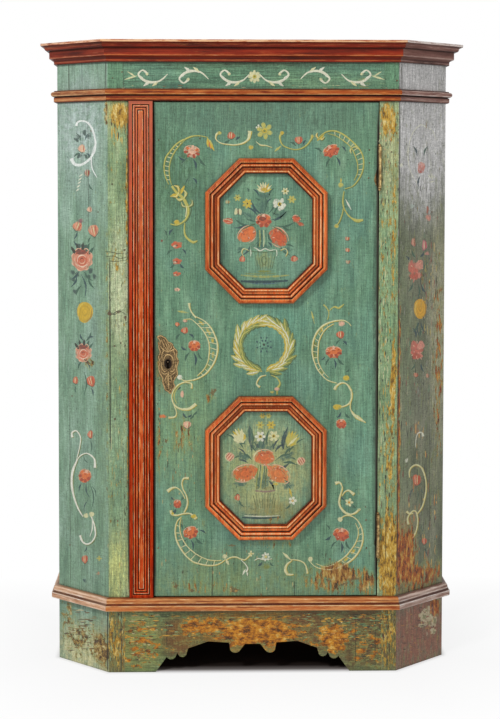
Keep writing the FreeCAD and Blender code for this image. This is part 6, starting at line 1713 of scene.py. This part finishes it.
def right_marks(work):
    """Splits and flakes of the right canted board."""
    splits(work, ("#3e4038", "#c9cac4", "#565a50"), (398, 108, 438, 232), 90, 6, 0.8)
    splits(work, ("#35382e", "#b3a988", "#6f8c6c", "#8c5a4c", "#a09c92"), (398, 215, 438, 420), 150, 9, 1.0)
    splits(work, ("#b8a45c", "#d0b98a", "#8c4a38", "#2f3328"), (422, 240, 437, 330), 44, 11, 1.3)
    splits(work, ("#35382e", "#b6763c", "#d1a85c", "#6d7c50", "#7c3c28"), (396, 420, 437, 585), 130, 11,
           1.5)
    splits(work, ("#2f1d14", "#a8783c", "#6a4334", "#8c6450"), (397, 606, 426, 652), 50, 6, 1.4,
           upright=False)
    # a large flake on the foot, down to the pale ground
    for x, y, wide, high in ((423, 616, 4.6, 5.6), (431, 612, 5.0, 7.6), (428, 622, 6.0, 5.0),
                             (433.6, 620, 3.6, 8.0), (420.6, 625.6, 3.2, 2.2), (433, 631, 3.4, 3.4),
                             (425, 610, 2.6, 2.0)):
        work.dab("#c4b894", x, y, wide, high, lobes=5, lobe=0.22, thin=-0.02)
        work.dab("#8c8c62", x + 1.2, y + 0.8, wide * 0.5, high * 0.5, lobes=4, lobe=0.3, level=1, thin=0.04)
    splits(work, ("#cabfa0", "#5e4030", "#3a251a", "#c9a25c"), (418, 606, 433, 634), 46, 5, 1.2)


def left_marks(work):
    """Splits of the left canted board."""
    splits(work, ("#5b7464", "#a9c0ac", "#4b6152"), (60, 110, 105, 590), 90, 14, 0.6)
    splits(work, ("#4a3620", "#6e542e", "#c8bf94", "#8f7440"), (63, 608, 94, 650), 64, 9, 2.0,
           upright=False)


def door_marks(work):
    """Splits, stains and flakes of the door, most of them along its foot."""
    splits(work, ("#3c5242", "#8fb494"), (158, 112, 374, 590), 90, 9, 0.5)
    splits(work, ("#3a2c1a", "#7c5730", "#b98a48", "#c2b27c"), (160, 545, 372, 594), 70, 5, 1.3)
    splits(work, ("#9a7236", "#3a2c1a", "#c0a468"), (162, 425, 196, 540), 46, 8, 1.2)
    splits(work, ("#b07a34", "#45331e"), (156.6, 320, 160, 440), 26, 7, 1.5)
    for x, y, wide, high in ((212.6, 392.2, 3.0, 3.6), (215, 390, 2.0, 1.6), (232, 545.6, 3.4, 1.4),
                             (166, 441, 1.6, 2.4), (235, 590.4, 4.6, 3.2), (231, 588, 2.0, 2.4),
                             (192, 590.6, 3.0, 1.8), (176, 586, 2.0, 3.4), (352, 578, 7.0, 3.0),
                             (344, 584, 5.0, 2.2), (362, 588, 5.0, 3.4), (330, 581, 3.6, 1.4)):
        work.dab("#6d5a34", x, y, wide, high, lobes=4, lobe=0.3, thin=0.02)
    for x, y, wide, high in ((350, 577, 3.6, 1.4), (363, 587, 2.6, 1.6), (236, 591, 1.8, 1.2),
                             (371, 583, 1.4, 3.0)):
        work.dab("#c58f44", x, y, wide, high, lobes=5, lobe=0.3, level=1)


# Thin matt oil colour with the brush's hairs in it. It wears through with the ground that it lies on, so
# each ground has its own.
door_paint = brushed_paint("ornament_on_door", door_ground)
left_paint = brushed_paint("ornament_on_left_cant", left_ground)
right_paint = brushed_paint("ornament_on_right_cant", right_ground)
frieze_paint = brushed_paint("ornament_on_frieze", frieze_ground)
stile_paint = brushed_paint("marks_on_stiles", stile_ground)
plinth_paint = brushed_paint("marks_on_plinth", plinth_ground)

# Each piece, what paints it, its board, the seed of its chance, its body and its paint
PAINTWORKS = (
    ("door_top_garland", top_garland, ON_FRONT, 1, "door", door_paint),
    ("door_middle_scrolls", middle_scrolls, ON_FRONT, 2, "door", door_paint),
    ("door_wreath", wreath_stem, ON_FRONT, 3, "door", door_paint),
    ("door_lower_scrolls", lower_scrolls, ON_FRONT, 4, "door", door_paint),
    ("upper_octagon_bouquet", upper_bouquet, ON_FRONT, 5, "door", door_paint),
    ("lower_octagon_bouquet", lower_bouquet, ON_FRONT, 6, "door", door_paint),
    ("door_age_marks", door_marks, ON_FRONT, 14, "door", door_paint),
    ("left_cant_ornament", left_flowers, ON_LEFT, 7, "carcass", left_paint),
    ("left_cant_age_marks", left_marks, ON_LEFT, 13, "carcass", left_paint),
    ("right_cant_ornament", right_flowers, ON_RIGHT, 8, "carcass", right_paint),
    ("right_cant_age_marks", right_marks, ON_RIGHT, 12, "carcass", right_paint),
    ("frieze_flourish", band_flourish, ON_FRONT, 9, "carcass", frieze_paint),
    ("frieze_age_marks", frieze_marks, ON_FRONT, 11, "carcass", frieze_paint),
    ("stile_age_marks", stile_marks, ON_FRONT, 10, "carcass", stile_paint),
    ("plinth_age_marks", plinth_marks, ON_FRONT, 15, "carcass", plinth_paint),
)
for name, draw, board, seed, body, material in PAINTWORKS:
    work = Paintwork(board, seed)
    draw(work)
    work.piece(name, body, material)


# Geometry Nodes: what repeats along a line or at given places
def start_tree(name, sizes):
    """A tree that takes geometry and named sizes, with what it is given."""
    tree = bpy.data.node_groups.new(name, "GeometryNodeTree")
    tree.interface.new_socket(name="Geometry", in_out="INPUT", socket_type="NodeSocketGeometry")
    for size, kind in sizes:
        tree.interface.new_socket(name=size, in_out="INPUT", socket_type=f"NodeSocket{kind}")
    tree.interface.new_socket(name="Geometry", in_out="OUTPUT", socket_type="NodeSocketGeometry")
    return tree, node(tree, "NodeGroupInput").outputs


def end_tree(tree, given, made, before=None):
    """Joins what was there before, makes it real and gives it its material."""
    joined = node(tree, "GeometryNodeJoinGeometry")
    for part in (made, before):
        if part:
            tree.links.new(part, joined.inputs[0])
    real = node(tree, "GeometryNodeRealizeInstances", (joined.outputs[0],)).outputs[0]
    dressed = node(tree, "GeometryNodeSetMaterial",
                   {"Geometry": real, "Material": given["Material"]}).outputs[0]
    node(tree, "NodeGroupOutput", (dressed,))


def row_of_points(tree, count):
    """Points in a row, with how far along it each one is."""
    row = node(tree, "GeometryNodeMeshLine", {"Count": count, "Offset": (0.0, 0.0, 0.0)}).outputs[0]
    number = node(tree, "GeometryNodeInputIndex").outputs[0]
    last = reckon(tree, "SUBTRACT", count, 1.0)
    return row, reckon(tree, "DIVIDE", number, last)


def by_chance(tree, low, high, seed):
    return node(tree, "FunctionNodeRandomValue", {2: low, 3: high, "Seed": seed}).outputs[1]


def repeated(tree, thing, points, turn, size):
    """The thing at every point, turned and sized."""
    shape = node(tree, "GeometryNodeObjectInfo", {"Object": thing}).outputs["Geometry"]
    return node(tree, "GeometryNodeInstanceOnPoints",
                {"Points": points, "Instance": shape, "Rotation": turn, "Scale": size}).outputs[0]


def along_board(tree, way):
    """The turn that lays a flat thing on the front with its length along way."""
    out = (0.0, -1.0, 0.0)
    flat = node(tree, "FunctionNodeAlignRotationToVector", {"Vector": out}, axis="Z").outputs[0]
    return node(tree, "FunctionNodeAlignRotationToVector", {"Rotation": flat, "Vector": way}, axis="X",
                pivot_axis="Z").outputs[0]


def leaf_row_tree():
    """One row of painted leaves along part of an oval, each leaning off the line."""
    tree, given = start_tree("leaf_row", (
        ("Leaf", "Object"), ("Count", "Int"), ("Start Angle", "Float"), ("End Angle", "Float"),
        ("Centre", "Vector"), ("Half Width", "Float"), ("Half Height", "Float"), ("Lean", "Float"),
        ("Leaf Length", "Float"), ("Leaf Width", "Float"), ("Seed", "Int"), ("Material", "Material")))
    row, share = row_of_points(tree, given["Count"])
    angle = ranged(tree, share, least=given["Start Angle"], most=given["End Angle"])
    across = reckon(tree, "COSINE", angle)
    up = reckon(tree, "SINE", angle)
    out = node(tree, "ShaderNodeCombineXYZ", {"X": across, "Z": up}).outputs[0]
    reach = node(tree, "ShaderNodeCombineXYZ",
                 {"X": given["Half Width"], "Z": given["Half Height"]}).outputs[0]
    place = vectors(tree, "MULTIPLY_ADD", out, reach, given["Centre"])
    turning = reckon(tree, "SUBTRACT", given["End Angle"], given["Start Angle"])
    turning = reckon(tree, "SIGN", turning)
    back = reckon(tree, "MULTIPLY", up, -1.0)
    onward = node(tree, "ShaderNodeCombineXYZ", {"X": back, "Z": across}).outputs[0]
    onward = scaled(tree, onward, turning)
    sway = by_chance(tree, -0.16, 0.16, given["Seed"])
    lean = reckon(tree, "ADD", given["Lean"], sway)
    leant = scaled(tree, out, lean)
    way = vectors(tree, "ADD", onward, leant)
    grown = by_chance(tree, 0.86, 1.14, given["Seed"])
    size = node(tree, "ShaderNodeCombineXYZ",
                {"X": given["Leaf Length"], "Y": given["Leaf Width"], "Z": 1.0}).outputs[0]
    size = scaled(tree, size, grown)
    at = node(tree, "GeometryNodeSetPosition", {"Geometry": row, "Position": place}).outputs[0]
    end_tree(tree, given, repeated(tree, given["Leaf"], at, along_board(tree, way), size),
             given["Geometry"])
    return tree


def rungs_tree():
    """Rungs between two lines, at even shares of both."""
    tree, given = start_tree("scroll_rungs", (
        ("Outer", "Object"), ("Inner", "Object"), ("Rung", "Object"), ("Count", "Int"),
        ("First", "Float"), ("Last", "Float"), ("Rung Width", "Float"), ("Material", "Material")))
    row, share = row_of_points(tree, given["Count"])
    share = ranged(tree, share, least=given["First"], most=given["Last"])
    ends = []
    for side in ("Outer", "Inner"):
        line = node(tree, "GeometryNodeObjectInfo", {"Object": given[side]}).outputs["Geometry"]
        ends.append(node(tree, "GeometryNodeSampleCurve", {"Curves": line, "Factor": share},
                         mode="FACTOR").outputs["Position"])
    way = vectors(tree, "SUBTRACT", ends[0], ends[1])
    long = node(tree, "ShaderNodeVectorMath", (way,), operation="LENGTH").outputs["Value"]
    size = node(tree, "ShaderNodeCombineXYZ", {"X": long, "Y": given["Rung Width"], "Z": 1.0}).outputs[0]
    at = node(tree, "GeometryNodeSetPosition", {"Geometry": row, "Position": ends[1]}).outputs[0]
    end_tree(tree, given, repeated(tree, given["Rung"], at, along_board(tree, way), size),
             given["Geometry"])
    return tree


def nails_tree():
    """A nail head at every point, facing out of the wood there, each forged a little differently."""
    tree, given = start_tree("nail_heads", (("Head", "Object"), ("Head Size", "Float"), ("Seed", "Int"),
                                            ("Material", "Material")))
    out = node(tree, "GeometryNodeInputNamedAttribute", {"Name": "out"},
               data_type="FLOAT_VECTOR").outputs[0]
    spin = by_chance(tree, 0.0, 6.28, given["Seed"])
    faced = node(tree, "FunctionNodeAlignRotationToVector", {"Vector": out}, axis="Z").outputs[0]
    turn = node(tree, "FunctionNodeAxisAngleToRotation",
                {"Axis": (0.0, 0.0, 1.0), "Angle": spin}).outputs[0]
    faced = node(tree, "FunctionNodeRotateRotation", {0: faced, 1: turn}, rotation_space="LOCAL").outputs[0]
    grown = by_chance(tree, 0.82, 1.15, given["Seed"])
    size = reckon(tree, "MULTIPLY", given["Head Size"], grown)
    end_tree(tree, given, repeated(tree, given["Head"], given["Geometry"], faced, size))
    return tree


def grow(name, tree, rows, points=None):
    """Runs the tree once for each row of sizes on one object, and makes the result its plain mesh."""
    made = placed(name, points or bpy.data.meshes.new(name))
    held = {item.name: item.identifier for item in tree.interface.items_tree if item.in_out == "INPUT"}
    for row in rows:
        modifier = made.modifiers.new(tree.name, "NODES")
        modifier.node_group = tree
        for size, value in row.items():
            modifier[held[size]] = value
    seen = made.evaluated_get(bpy.context.evaluated_depsgraph_get())
    shape = bpy.data.meshes.new_from_object(seen)
    made.modifiers.clear()
    made.data = shape
    outwards(made)
    return made


# The wreath's leaves: three rows up each side, that lean off its stem
def leaf_pattern(name, tone, rib, seed):
    """One leaf in three strokes: its shade, its tone and its rib."""
    work = Paintwork(Bench(), seed, finest=0.02)
    work.stroke(MOSS, [(0.04, -0.10), (0.5, -0.14), (0.98, -0.04)], (0.1, 0.86, 1.0, 0.6, 0.04), 0, 0.04)
    work.stroke(tone, [(0, 0), (0.5, 0.03), (1, 0)], (0.1, 0.8, 0.96, 0.6, 0.04), 1)
    work.stroke(rib, [(0.05, 0.02), (0.5, 0.06), (0.92, 0.01)], (0.06, 0.30, 0.22, 0.04), 2, 0.02)
    return placed(name, work.mesh(name))


def wreath_leaves():
    """Three rows on each side, of another count, lean and tone."""
    tree = leaf_row_tree()
    middle = ON_FRONT.at(WREATH_X, WREATH_Y, 0)
    a_pixel = (ON_FRONT.at(WREATH_X + 10, WREATH_Y, 0) - middle).length / 10
    tones = (("leaf_straw", YELLOW, CREAM), ("leaf_cream", STRAW, WHITE), ("leaf_olive", OLIVE, STRAW))
    patterns = [leaf_pattern(*tone, seed=20 + k) for k, tone in enumerate(tones)]
    rows = []
    for side, order in ((-1, (0, 2, 1)), (1, (2, 1, 0))):
        for k, (lean, out, count) in enumerate(((-0.44, -1.0, 11), (0.38, 0.6, 12), (0.0, 0.0, 11))):
            rows.append({
                "Leaf": patterns[order[k]], "Count": count,
                "Start Angle": math.radians(90 + side * (174 - 5 * k)),
                "End Angle": math.radians(90 + side * 15),
                "Centre": middle, "Half Width": (WREATH_WIDE + out) * a_pixel,
                "Half Height": (WREATH_HIGH + out) * a_pixel, "Lean": lean, "Leaf Length": 13.0 * a_pixel,
                "Leaf Width": 6.2 * a_pixel, "Seed": 5 + k + (side > 0) * 3, "Material": door_paint})
    made = grow("door_wreath_leaves", tree, rows)
    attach(made, "door")
    for pattern in patterns:
        bpy.data.objects.remove(pattern)


wreath_leaves()


# The C-scrolls' rungs, between the two lines of each
def drawn_line(name, points):
    """A smooth curve on the front through pixels of the photograph."""
    curve = bpy.data.curves.new(name, "CURVE")
    curve.dimensions = "3D"
    line = smooth_line(points, 8)
    spline = curve.splines.new("POLY")
    spline.points.add(len(line) - 1)
    for held, spot in zip(spline.points, line):
        held.co = (*ON_FRONT.at(spot.x, spot.y, 0), 1)
    return placed(name, curve)


def scroll_rungs():
    """One rung in two strokes, repeated between the lines of every ladder."""
    work = Paintwork(Bench(), 31, finest=0.1)
    work.stroke(CREAM, [(0, 0), (0.5, 0.06), (1, 0)], (0.8, 1.1, 0.9), 1, 0.05)
    work.stroke(MOSS, [(0.1, -0.35), (0.9, -0.35)], (0.5, 0.6), 0, 0.08)
    rung = placed("rung_stroke", work.mesh("rung_stroke"))
    lines, rows = [rung], []
    for k, (outer, inner, count, first, last) in enumerate(LADDERS):
        lines += [drawn_line(f"outer_line_{k}", outer), drawn_line(f"inner_line_{k}", inner)]
        rows.append({"Outer": lines[-2], "Inner": lines[-1], "Rung": rung, "Count": count + 1,
                     "First": first, "Last": last, "Rung Width": 3.2 * MM, "Material": door_paint})
    made = grow("door_scroll_rungs", rungs_tree(), rows)
    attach(made, "door")
    for line in lines:
        bpy.data.objects.remove(line)


scroll_rungs()


# Forged nails: their heads a little proud, in the front, the sides and the back
def nail_pattern():
    """A flat dome of forged head, one metre in radius, its rim just under the wood."""
    rings = ((1.0, -0.16), (1.0, 0.05), (0.72, 0.30), (0.3, 0.40))
    points = [(reach * math.cos(k * math.pi / 4 + i * 0.1) * (1 + 0.06 * math.sin(3 * k)),
               reach * math.sin(k * math.pi / 4 + i * 0.1), up)
              for i, (reach, up) in enumerate(rings) for k in range(8)]
    faces = [tuple(range(8)), tuple(range(24, 32))]
    for ring in range(3):
        for k in range(8):
            a, b = ring * 8 + k, ring * 8 + (k + 1) % 8
            faces.append((a, b, b + 8, a + 8))
    return placed("nail_head", drawn_mesh("nail_head", points, faces))


def nail_heads(name, body, head, tree, places, size, seed):
    """places are pairs of a point in metres and the way that the head faces."""
    mesh = drawn_mesh(name, [place for place, _ in places])
    out = mesh.attributes.new("out", "FLOAT_VECTOR", "POINT")
    for held, (_, way) in zip(out.data, places):
        held.vector = way
    made = grow(name, tree, [{"Head": head, "Head Size": size * MM, "Seed": seed, "Material": old_iron}],
                mesh)
    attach(made, body)


def heads_on(board, spots):
    """The places of nail heads on a painted face, each with the way that it faces."""
    return [(board.at(px, py, 0), board.out) for px, py in spots]


# Nail heads in pixels of the photograph, and along the sides and the back in millimetres
FRONT_NAILS = ((124.5, 250), (120.8, 343), (114.6, 346), (114.8, 419), (117.6, 521), (112, 184),
               (391.6, 152), (386.4, 470), (393, 438), (389.6, 529), (388, 386), (112.6, 78),
               (397, 80.6), (122, 72), (112, 633), (391, 632))
LEFT_NAILS = ((91, 131), (72, 396), (70, 545), (98, 212))
RIGHT_NAILS = ((409, 160), (430, 398), (408, 556), (432, 212))
DOOR_NAILS = ((369.5, 150), (369.5, 163), (366, 520), (365.5, 507), (368.6, 178), (366.4, 548),
              (158.6, 140), (158.4, 548), (200, 138.6), (330, 559))
NAILED_BOARDS = ("shelf_lower", "shelf_middle", "shelf_upper", "floor_board", "top_board")
SIDE_NAILS = (-40, 60, 160, 228)
BACK_NAIL_EDGE = 35


def nails():
    """Nail heads in the case's front, and in its sides and back at the height of every shelf."""
    head, tree = nail_pattern(), nails_tree()
    places = heads_on(ON_FRONT, FRONT_NAILS)
    places += heads_on(ON_LEFT, LEFT_NAILS)
    places += heads_on(ON_RIGHT, RIGHT_NAILS)
    for shelf in NAILED_BOARDS:
        low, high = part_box(shelf)
        up = (low[2] + high[2]) / 2
        for side in (-1, 1):
            for y in SIDE_NAILS:
                places.append((Vector((side * SIDE_HALF * MM, y * MM, up)), Vector((side, 0, 0))))
        edge = BACK_NAIL_EDGE * MM
        for k in range(1, 5):
            low_x, high_x = (corner[0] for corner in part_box(f"back_board_{k}"))
            for x in (low_x + edge, (low_x + high_x) / 2, high_x - edge):
                places.append((Vector((x, BACK * MM, up)), Vector((0, 1, 0))))
    nail_heads("carcass_nails", "carcass", head, tree, places, 2.6, 40)
    nail_heads("door_nails", "door", head, tree, heads_on(ON_FRONT, DOOR_NAILS), 2.4, 41)
    bpy.data.objects.remove(head)


nails()


class Relief:
    """Raised work on stamped sheet: rounded ridges and beads, placed by pixels on the door's front."""

    def __init__(self):
        self.points = []
        self.faces = []

    def ring(self, spot, side, half, foot, rise):
        """One section across a ridge: seven points over it, closed below by its flat foot."""
        first = len(self.points)
        for k in range(7):
            angle = math.pi * k / 6
            place = spot + side * half * math.cos(angle)
            self.points.append(ON_FRONT.at(place.x, place.y, foot + rise * math.sin(angle)))
        return list(range(first, first + 7))

    def ridge(self, points, widths, rise=0.9, foot=0.8):
        """A rounded ridge along points, lower where it is narrow. rise and foot are in millimetres."""
        self.faces += skin([self.ring(here, side, half, foot * MM, rise * MM * min(1, half / 0.35))
                            for here, _, side, half in drawn_along(points, widths, 6)])

    def bead(self, px, py, reach, rise=1.0, foot=0.8):
        """A round bead, in pixels across and millimetres high."""
        first = len(self.points)
        for share, lift in ((1.0, -0.1), (0.8, 0.6), (0.4, 0.92)):
            for k in range(8):
                angle = k * math.pi / 4
                self.points.append(ON_FRONT.at(px + reach * share * math.cos(angle),
                                   py + reach * share * math.sin(angle), (foot + rise * lift) * MM))
        self.faces += [tuple(range(first, first + 8)), tuple(range(first + 16, first + 24))]
        for start in (first, first + 8):
            for k in range(8):
                after = (k + 1) % 8
                self.faces.append((start + k, start + after, start + after + 8, start + k + 8))

    def piece(self, name, material, sheet=None):
        """The relief as one object, with the sheet that it stands on where there is one."""
        mesh = drawn_mesh(name, self.points, self.faces)
        if sheet:
            shape = bmesh.new()
            shape.from_mesh(mesh)
            shape.from_mesh(sheet)
            shape.to_mesh(mesh)
            shape.free()
            mesh.materials.clear()
        mesh.materials.append(material)
        made = placed(name, mesh)
        outwards(made)
        return made


# The keyhole plate's wavy edge, in pixels, and its sheet and keyhole, in millimetres
PLATE_EDGE = [
    (157.4, 337.2), (160.3, 341.6), (158.7, 346.6), (160.2, 352.4), (158.5, 357), (160, 362),
    (158.7, 367.6), (160, 373.4), (162.6, 377.8), (162.9, 382.4), (164.3, 386.6), (165.6, 390),
    (168.2, 391.4), (170.4, 393.4), (172.2, 389.8), (174.8, 386.4), (173.4, 382.4), (174.8, 378.6),
    (177.4, 374), (176.7, 367.6), (178.2, 361.4), (176.5, 356.2), (177, 351.4), (173.8, 347.8),
    (171.8, 343.6), (168, 341.8), (165.2, 338), (160.6, 335.8)]
PLATE_THICK = 0.9
SLOT_HALF = 3.3
SLOT_DOWN = 18.6
BOW_RADIUS = 6.2


def plate_sheet():
    """The sheet itself, with its wavy edge and the keyhole through it."""
    curve = bpy.data.curves.new("plate_outline", "CURVE")
    curve.dimensions = "2D"
    curve.fill_mode = "BOTH"
    curve.extrude = PLATE_THICK / 2 * MM
    edge = [ON_FRONT.at(spot.x, spot.y, 0) for spot in smooth_line(PLATE_EDGE + PLATE_EDGE[:1], 4)[:-1]]
    x, z = (value * MM for value in KEYHOLE)
    join = math.asin(SLOT_HALF / BOW_RADIUS)
    hole = [(x + side * SLOT_HALF * MM, z - SLOT_DOWN * MM) for side in (-1, 1)]
    for k in range(15):
        angle = -math.pi / 2 + join + (2 * math.pi - 2 * join) * k / 14
        hole.append((x + BOW_RADIUS * MM * math.cos(angle), z + BOW_RADIUS * MM * math.sin(angle)))
    for outline in ([(spot.x, spot.z) for spot in edge], hole):
        spline = curve.splines.new("POLY")
        spline.points.add(len(outline) - 1)
        for held, spot in zip(spline.points, outline):
            held.co = (*spot, 0, 1)
        spline.use_cyclic_u = True
    made = bpy.data.objects.new("plate_outline", curve)
    mesh = bpy.data.meshes.new_from_object(made)
    middle = Matrix.Translation((0, (FRONT - PLATE_THICK / 2) * MM, 0))
    mesh.transform(middle @ Matrix.Rotation(math.pi / 2, 4, "X"))
    bpy.data.objects.remove(made)
    return mesh


def hinge_feet():
    """The small flat leaf that each door hinge spreads over the door's edge."""
    work = Relief()
    for top in (170.6, 533.4):
        work.ridge([(378, top - 5), (376.6, top + 3), (375.6, top + 9.6), (377, top + 16)],
                   (0.6, 2.0, 3.2, 0.8), 0.7, foot=-0.1)
        work.bead(375.4, top + 9.4, 0.6, 0.9, foot=0.5)
    made = work.piece("hinge_feet", hinge_iron)
    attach(made, "door")


def keyhole_plate():
    """The stamped plate: its rim, an oval round the keyhole, leaves above and pendants below."""
    work = Relief()
    work.ridge(PLATE_EDGE + PLATE_EDGE[:1], (1.3, 1.0, 1.5, 1.0, 1.4, 1.1, 1.4), 1.0)
    cx, cy = 168.4, 361.2
    oval = [(cx + 4.9 * math.cos(k * math.pi / 6), cy + 0.8 + 7.4 * math.sin(k * math.pi / 6))
            for k in range(13)]
    work.ridge(oval, (1.2, 1.5, 1.1, 1.5, 1.2), 1.3)
    for side in (-1, 1):
        def at(dx, dy):
            return cx + side * dx, cy + dy
        work.ridge([at(0.6, -9.6), at(3.8, -10.6), at(6.0, -8.4), at(6.6, -4.4), at(5.9, -1.4)],
                   (0.5, 1.5, 1.2, 0.6))
        work.ridge([at(6.9, 0.5), at(7.2, 4.5), at(5.9, 8.2), at(3.5, 10.6), at(1.6, 9.2), at(2.6, 7.8)],
                   (0.6, 1.4, 1.7, 1.2, 0.8))
        work.ridge([at(1, 11.6), at(3.8, 13.0), at(6.2, 11.4), at(7.2, 8.6)], (0.5, 1.4, 1.0, 0.4))
        work.ridge([at(0.3, 14), at(2.4, 16.2), at(3.4, 19.4), at(2.4, 21.6)], (0.5, 1.3, 1.0, 0.5))
        for foot, tip in (((0.4, 15), (3.8, 15)), ((0.4, 18), (3.4, 18.6)), ((0.5, 21), (2.8, 23))):
            work.ridge([at(*foot), at((foot[0] + tip[0]) / 2, foot[1] - 0.8), at(*tip)], (0.4, 1.1, 0.3),
                       0.7)
        work.bead(*at(5.4, -11.4), 0.8)
        work.bead(*at(4.9, 12.2), 0.6)
        work.bead(*at(7.4, -2.0), 0.55)
    for foot, bend, tip in (((167.6, 351.2), (164.6, 346.4), (161.0, 339.8)),
                            ((167.9, 350.6), (166.6, 345.4), (163.4, 339)),
                            ((168.2, 350.4), (169, 346), (166.6, 341.4)),
                            ((168.6, 350.8), (171.4, 347.6), (170.6, 343.8)),
                            ((169, 351.6), (173.2, 350), (174.6, 347.8)),
                            ((167.2, 352), (163.2, 349.4), (160.2, 345.8))):
        work.ridge([foot, bend, tip], (0.5, 1.4, 0.6), 1.1)
    work.ridge([(168.4, 371), (168.2, 379), (168.6, 388), (169.6, 391.6)], (0.6, 1.5, 0.9, 0.4), 1.2)
    work.bead(168.6, 384.4, 1.3, 1.5)
    work.bead(168.2, 374.4, 1.1, 1.4)
    work.bead(168, 351.6, 1.2, 1.5)
    for px, py in ((161.4, 340.2), (170.6, 389.6)):
        work.bead(px, py, 0.75, 1.3)
    made = work.piece("rococo_keyhole_plate", old_brass, plate_sheet())
    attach(made, "door")
    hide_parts("keyhole_plate", "keyhole_plate_nails")


keyhole_plate()
hinge_feet()


# The plain pale room: floor, soft lamps, a white surround that metal also shows
def seen_directly(tree):
    """One where the camera, a reflection or glass looks at the room, and nothing for its light."""
    seen = node(tree, "ShaderNodeLightPath").outputs
    either = reckon(tree, "MAXIMUM", seen["Is Camera Ray"], seen["Is Glossy Ray"])
    return reckon(tree, "MAXIMUM", either, seen["Is Transmission Ray"])


# The canted sides' way out, aside and forward, and how far it reaches in metres. The floor's tones
# are read at FOOT_AT plus the way from the foot, also in metres.
CANT_ASIDE, CANT_ACROSS, CANT_REACH = 0.645, 0.764, 0.418
FOOT_AT = 0.1


def white_room():
    """The surround and the floor, white to the camera and softer as light."""
    world = bpy.data.worlds.new("pale_room")
    bpy.context.scene.world = world
    world.use_nodes = True
    tree = world.node_tree
    tree.nodes.clear()
    level = ranged(tree, seen_directly(tree), least=AROUND, most=1.0)
    light = node(tree, "ShaderNodeBackground", {"Color": linear("#ffffff"), "Strength": level})
    node(tree, "ShaderNodeOutputWorld", {"Surface": light.outputs[0]})

    corners = [(x * FLOOR_REACH, y * FLOOR_REACH, 0) for x, y in ((-1, -1), (1, -1), (1, 1), (-1, 1))]
    floor = placed("floor", drawn_mesh("floor", corners, [(0, 1, 2, 3)]))
    # matt white card: it stays white to the eye, so that the pale room has no edge, with a soft shade
    # only round the foot
    material, tree = new_material("pale_floor")
    x, y = place_parts(tree)[:2]
    beside = reckon(tree, "ABSOLUTE", x)
    forward = reckon(tree, "MULTIPLY", y, -1.0)
    canted = reckon(tree, "MULTIPLY", y, -CANT_ACROSS)
    canted = reckon(tree, "MULTIPLY_ADD", beside, CANT_ASIDE, canted)
    far = reckon(tree, "SUBTRACT", beside, SIDE_HALF * MM)
    for direction, reach in ((canted, CANT_REACH), (forward, -FRONT * MM), (y, BACK * MM)):
        out = reckon(tree, "SUBTRACT", direction, reach)
        far = reckon(tree, "MAXIMUM", far, out)
    far = reckon(tree, "ADD", far, FOOT_AT)
    away = ramp(tree, far, ((0.08, "#000000"), (0.098, "#8a8a8a"), (0.115, "#eeeeee"), (0.6, "#ffffff")))
    bright = reckon(tree, "MULTIPLY", seen_directly(tree), away)
    # and is painted dark under the case, as painted shade where no lamp reaches
    shaded = ramp(tree, far, ((0.05, "#2c2522"), (0.085, "#8c8684"), (0.1, "#f1f0f2")))
    mat = node(tree, "ShaderNodeBsdfDiffuse", {"Color": shaded})
    glow = node(tree, "ShaderNodeEmission", {"Color": linear("#ffffff"), "Strength": 1.0})
    both = node(tree, "ShaderNodeMixShader", (bright, mat.outputs[0], glow.outputs[0]))
    node(tree, "ShaderNodeOutputMaterial", {"Surface": both.outputs[0]})
    floor.data.materials.append(material)


def lamp(name, at, aim, size, watts):
    """A round lamp, in metres and watts, that looks at its aim."""
    data = bpy.data.lights.new(name, "AREA")
    data.shape = "DISK"
    data.size = size
    data.energy = watts
    made = placed(name, data)
    made.location = at
    made.rotation_euler = (Vector(aim) - Vector(at)).to_track_quat("-Z", "Y").to_euler()


def photograph_camera():
    """The camera that took the photograph."""
    data = bpy.data.cameras.new("photograph_camera")
    data.sensor_width = SENSOR
    data.lens = FOCAL / PICTURE_HIGH * SENSOR
    data.shift_x = (PICTURE_WIDE / 2 - CENTRE_X) / PICTURE_HIGH
    data.shift_y = SHIFT_UP
    data.clip_end = 60
    made = placed("photograph_camera", data)
    turn = Matrix((RIGHT, UP, -FORWARD)).transposed()
    made.matrix_world = Matrix.Translation(EYE) @ turn.to_4x4()
    bpy.context.scene.camera = made


photograph_camera()
white_room()
lamp("key_lamp", (-2.4, -3.4, 3.9), (0, -0.1, 0.9), 0.8, 130)
lamp("right_fill", (3.4, -3.0, 1.8), (0, -0.1, 0.9), 1.6, 26)
bpy.context.scene.view_settings.view_transform = "Standard"
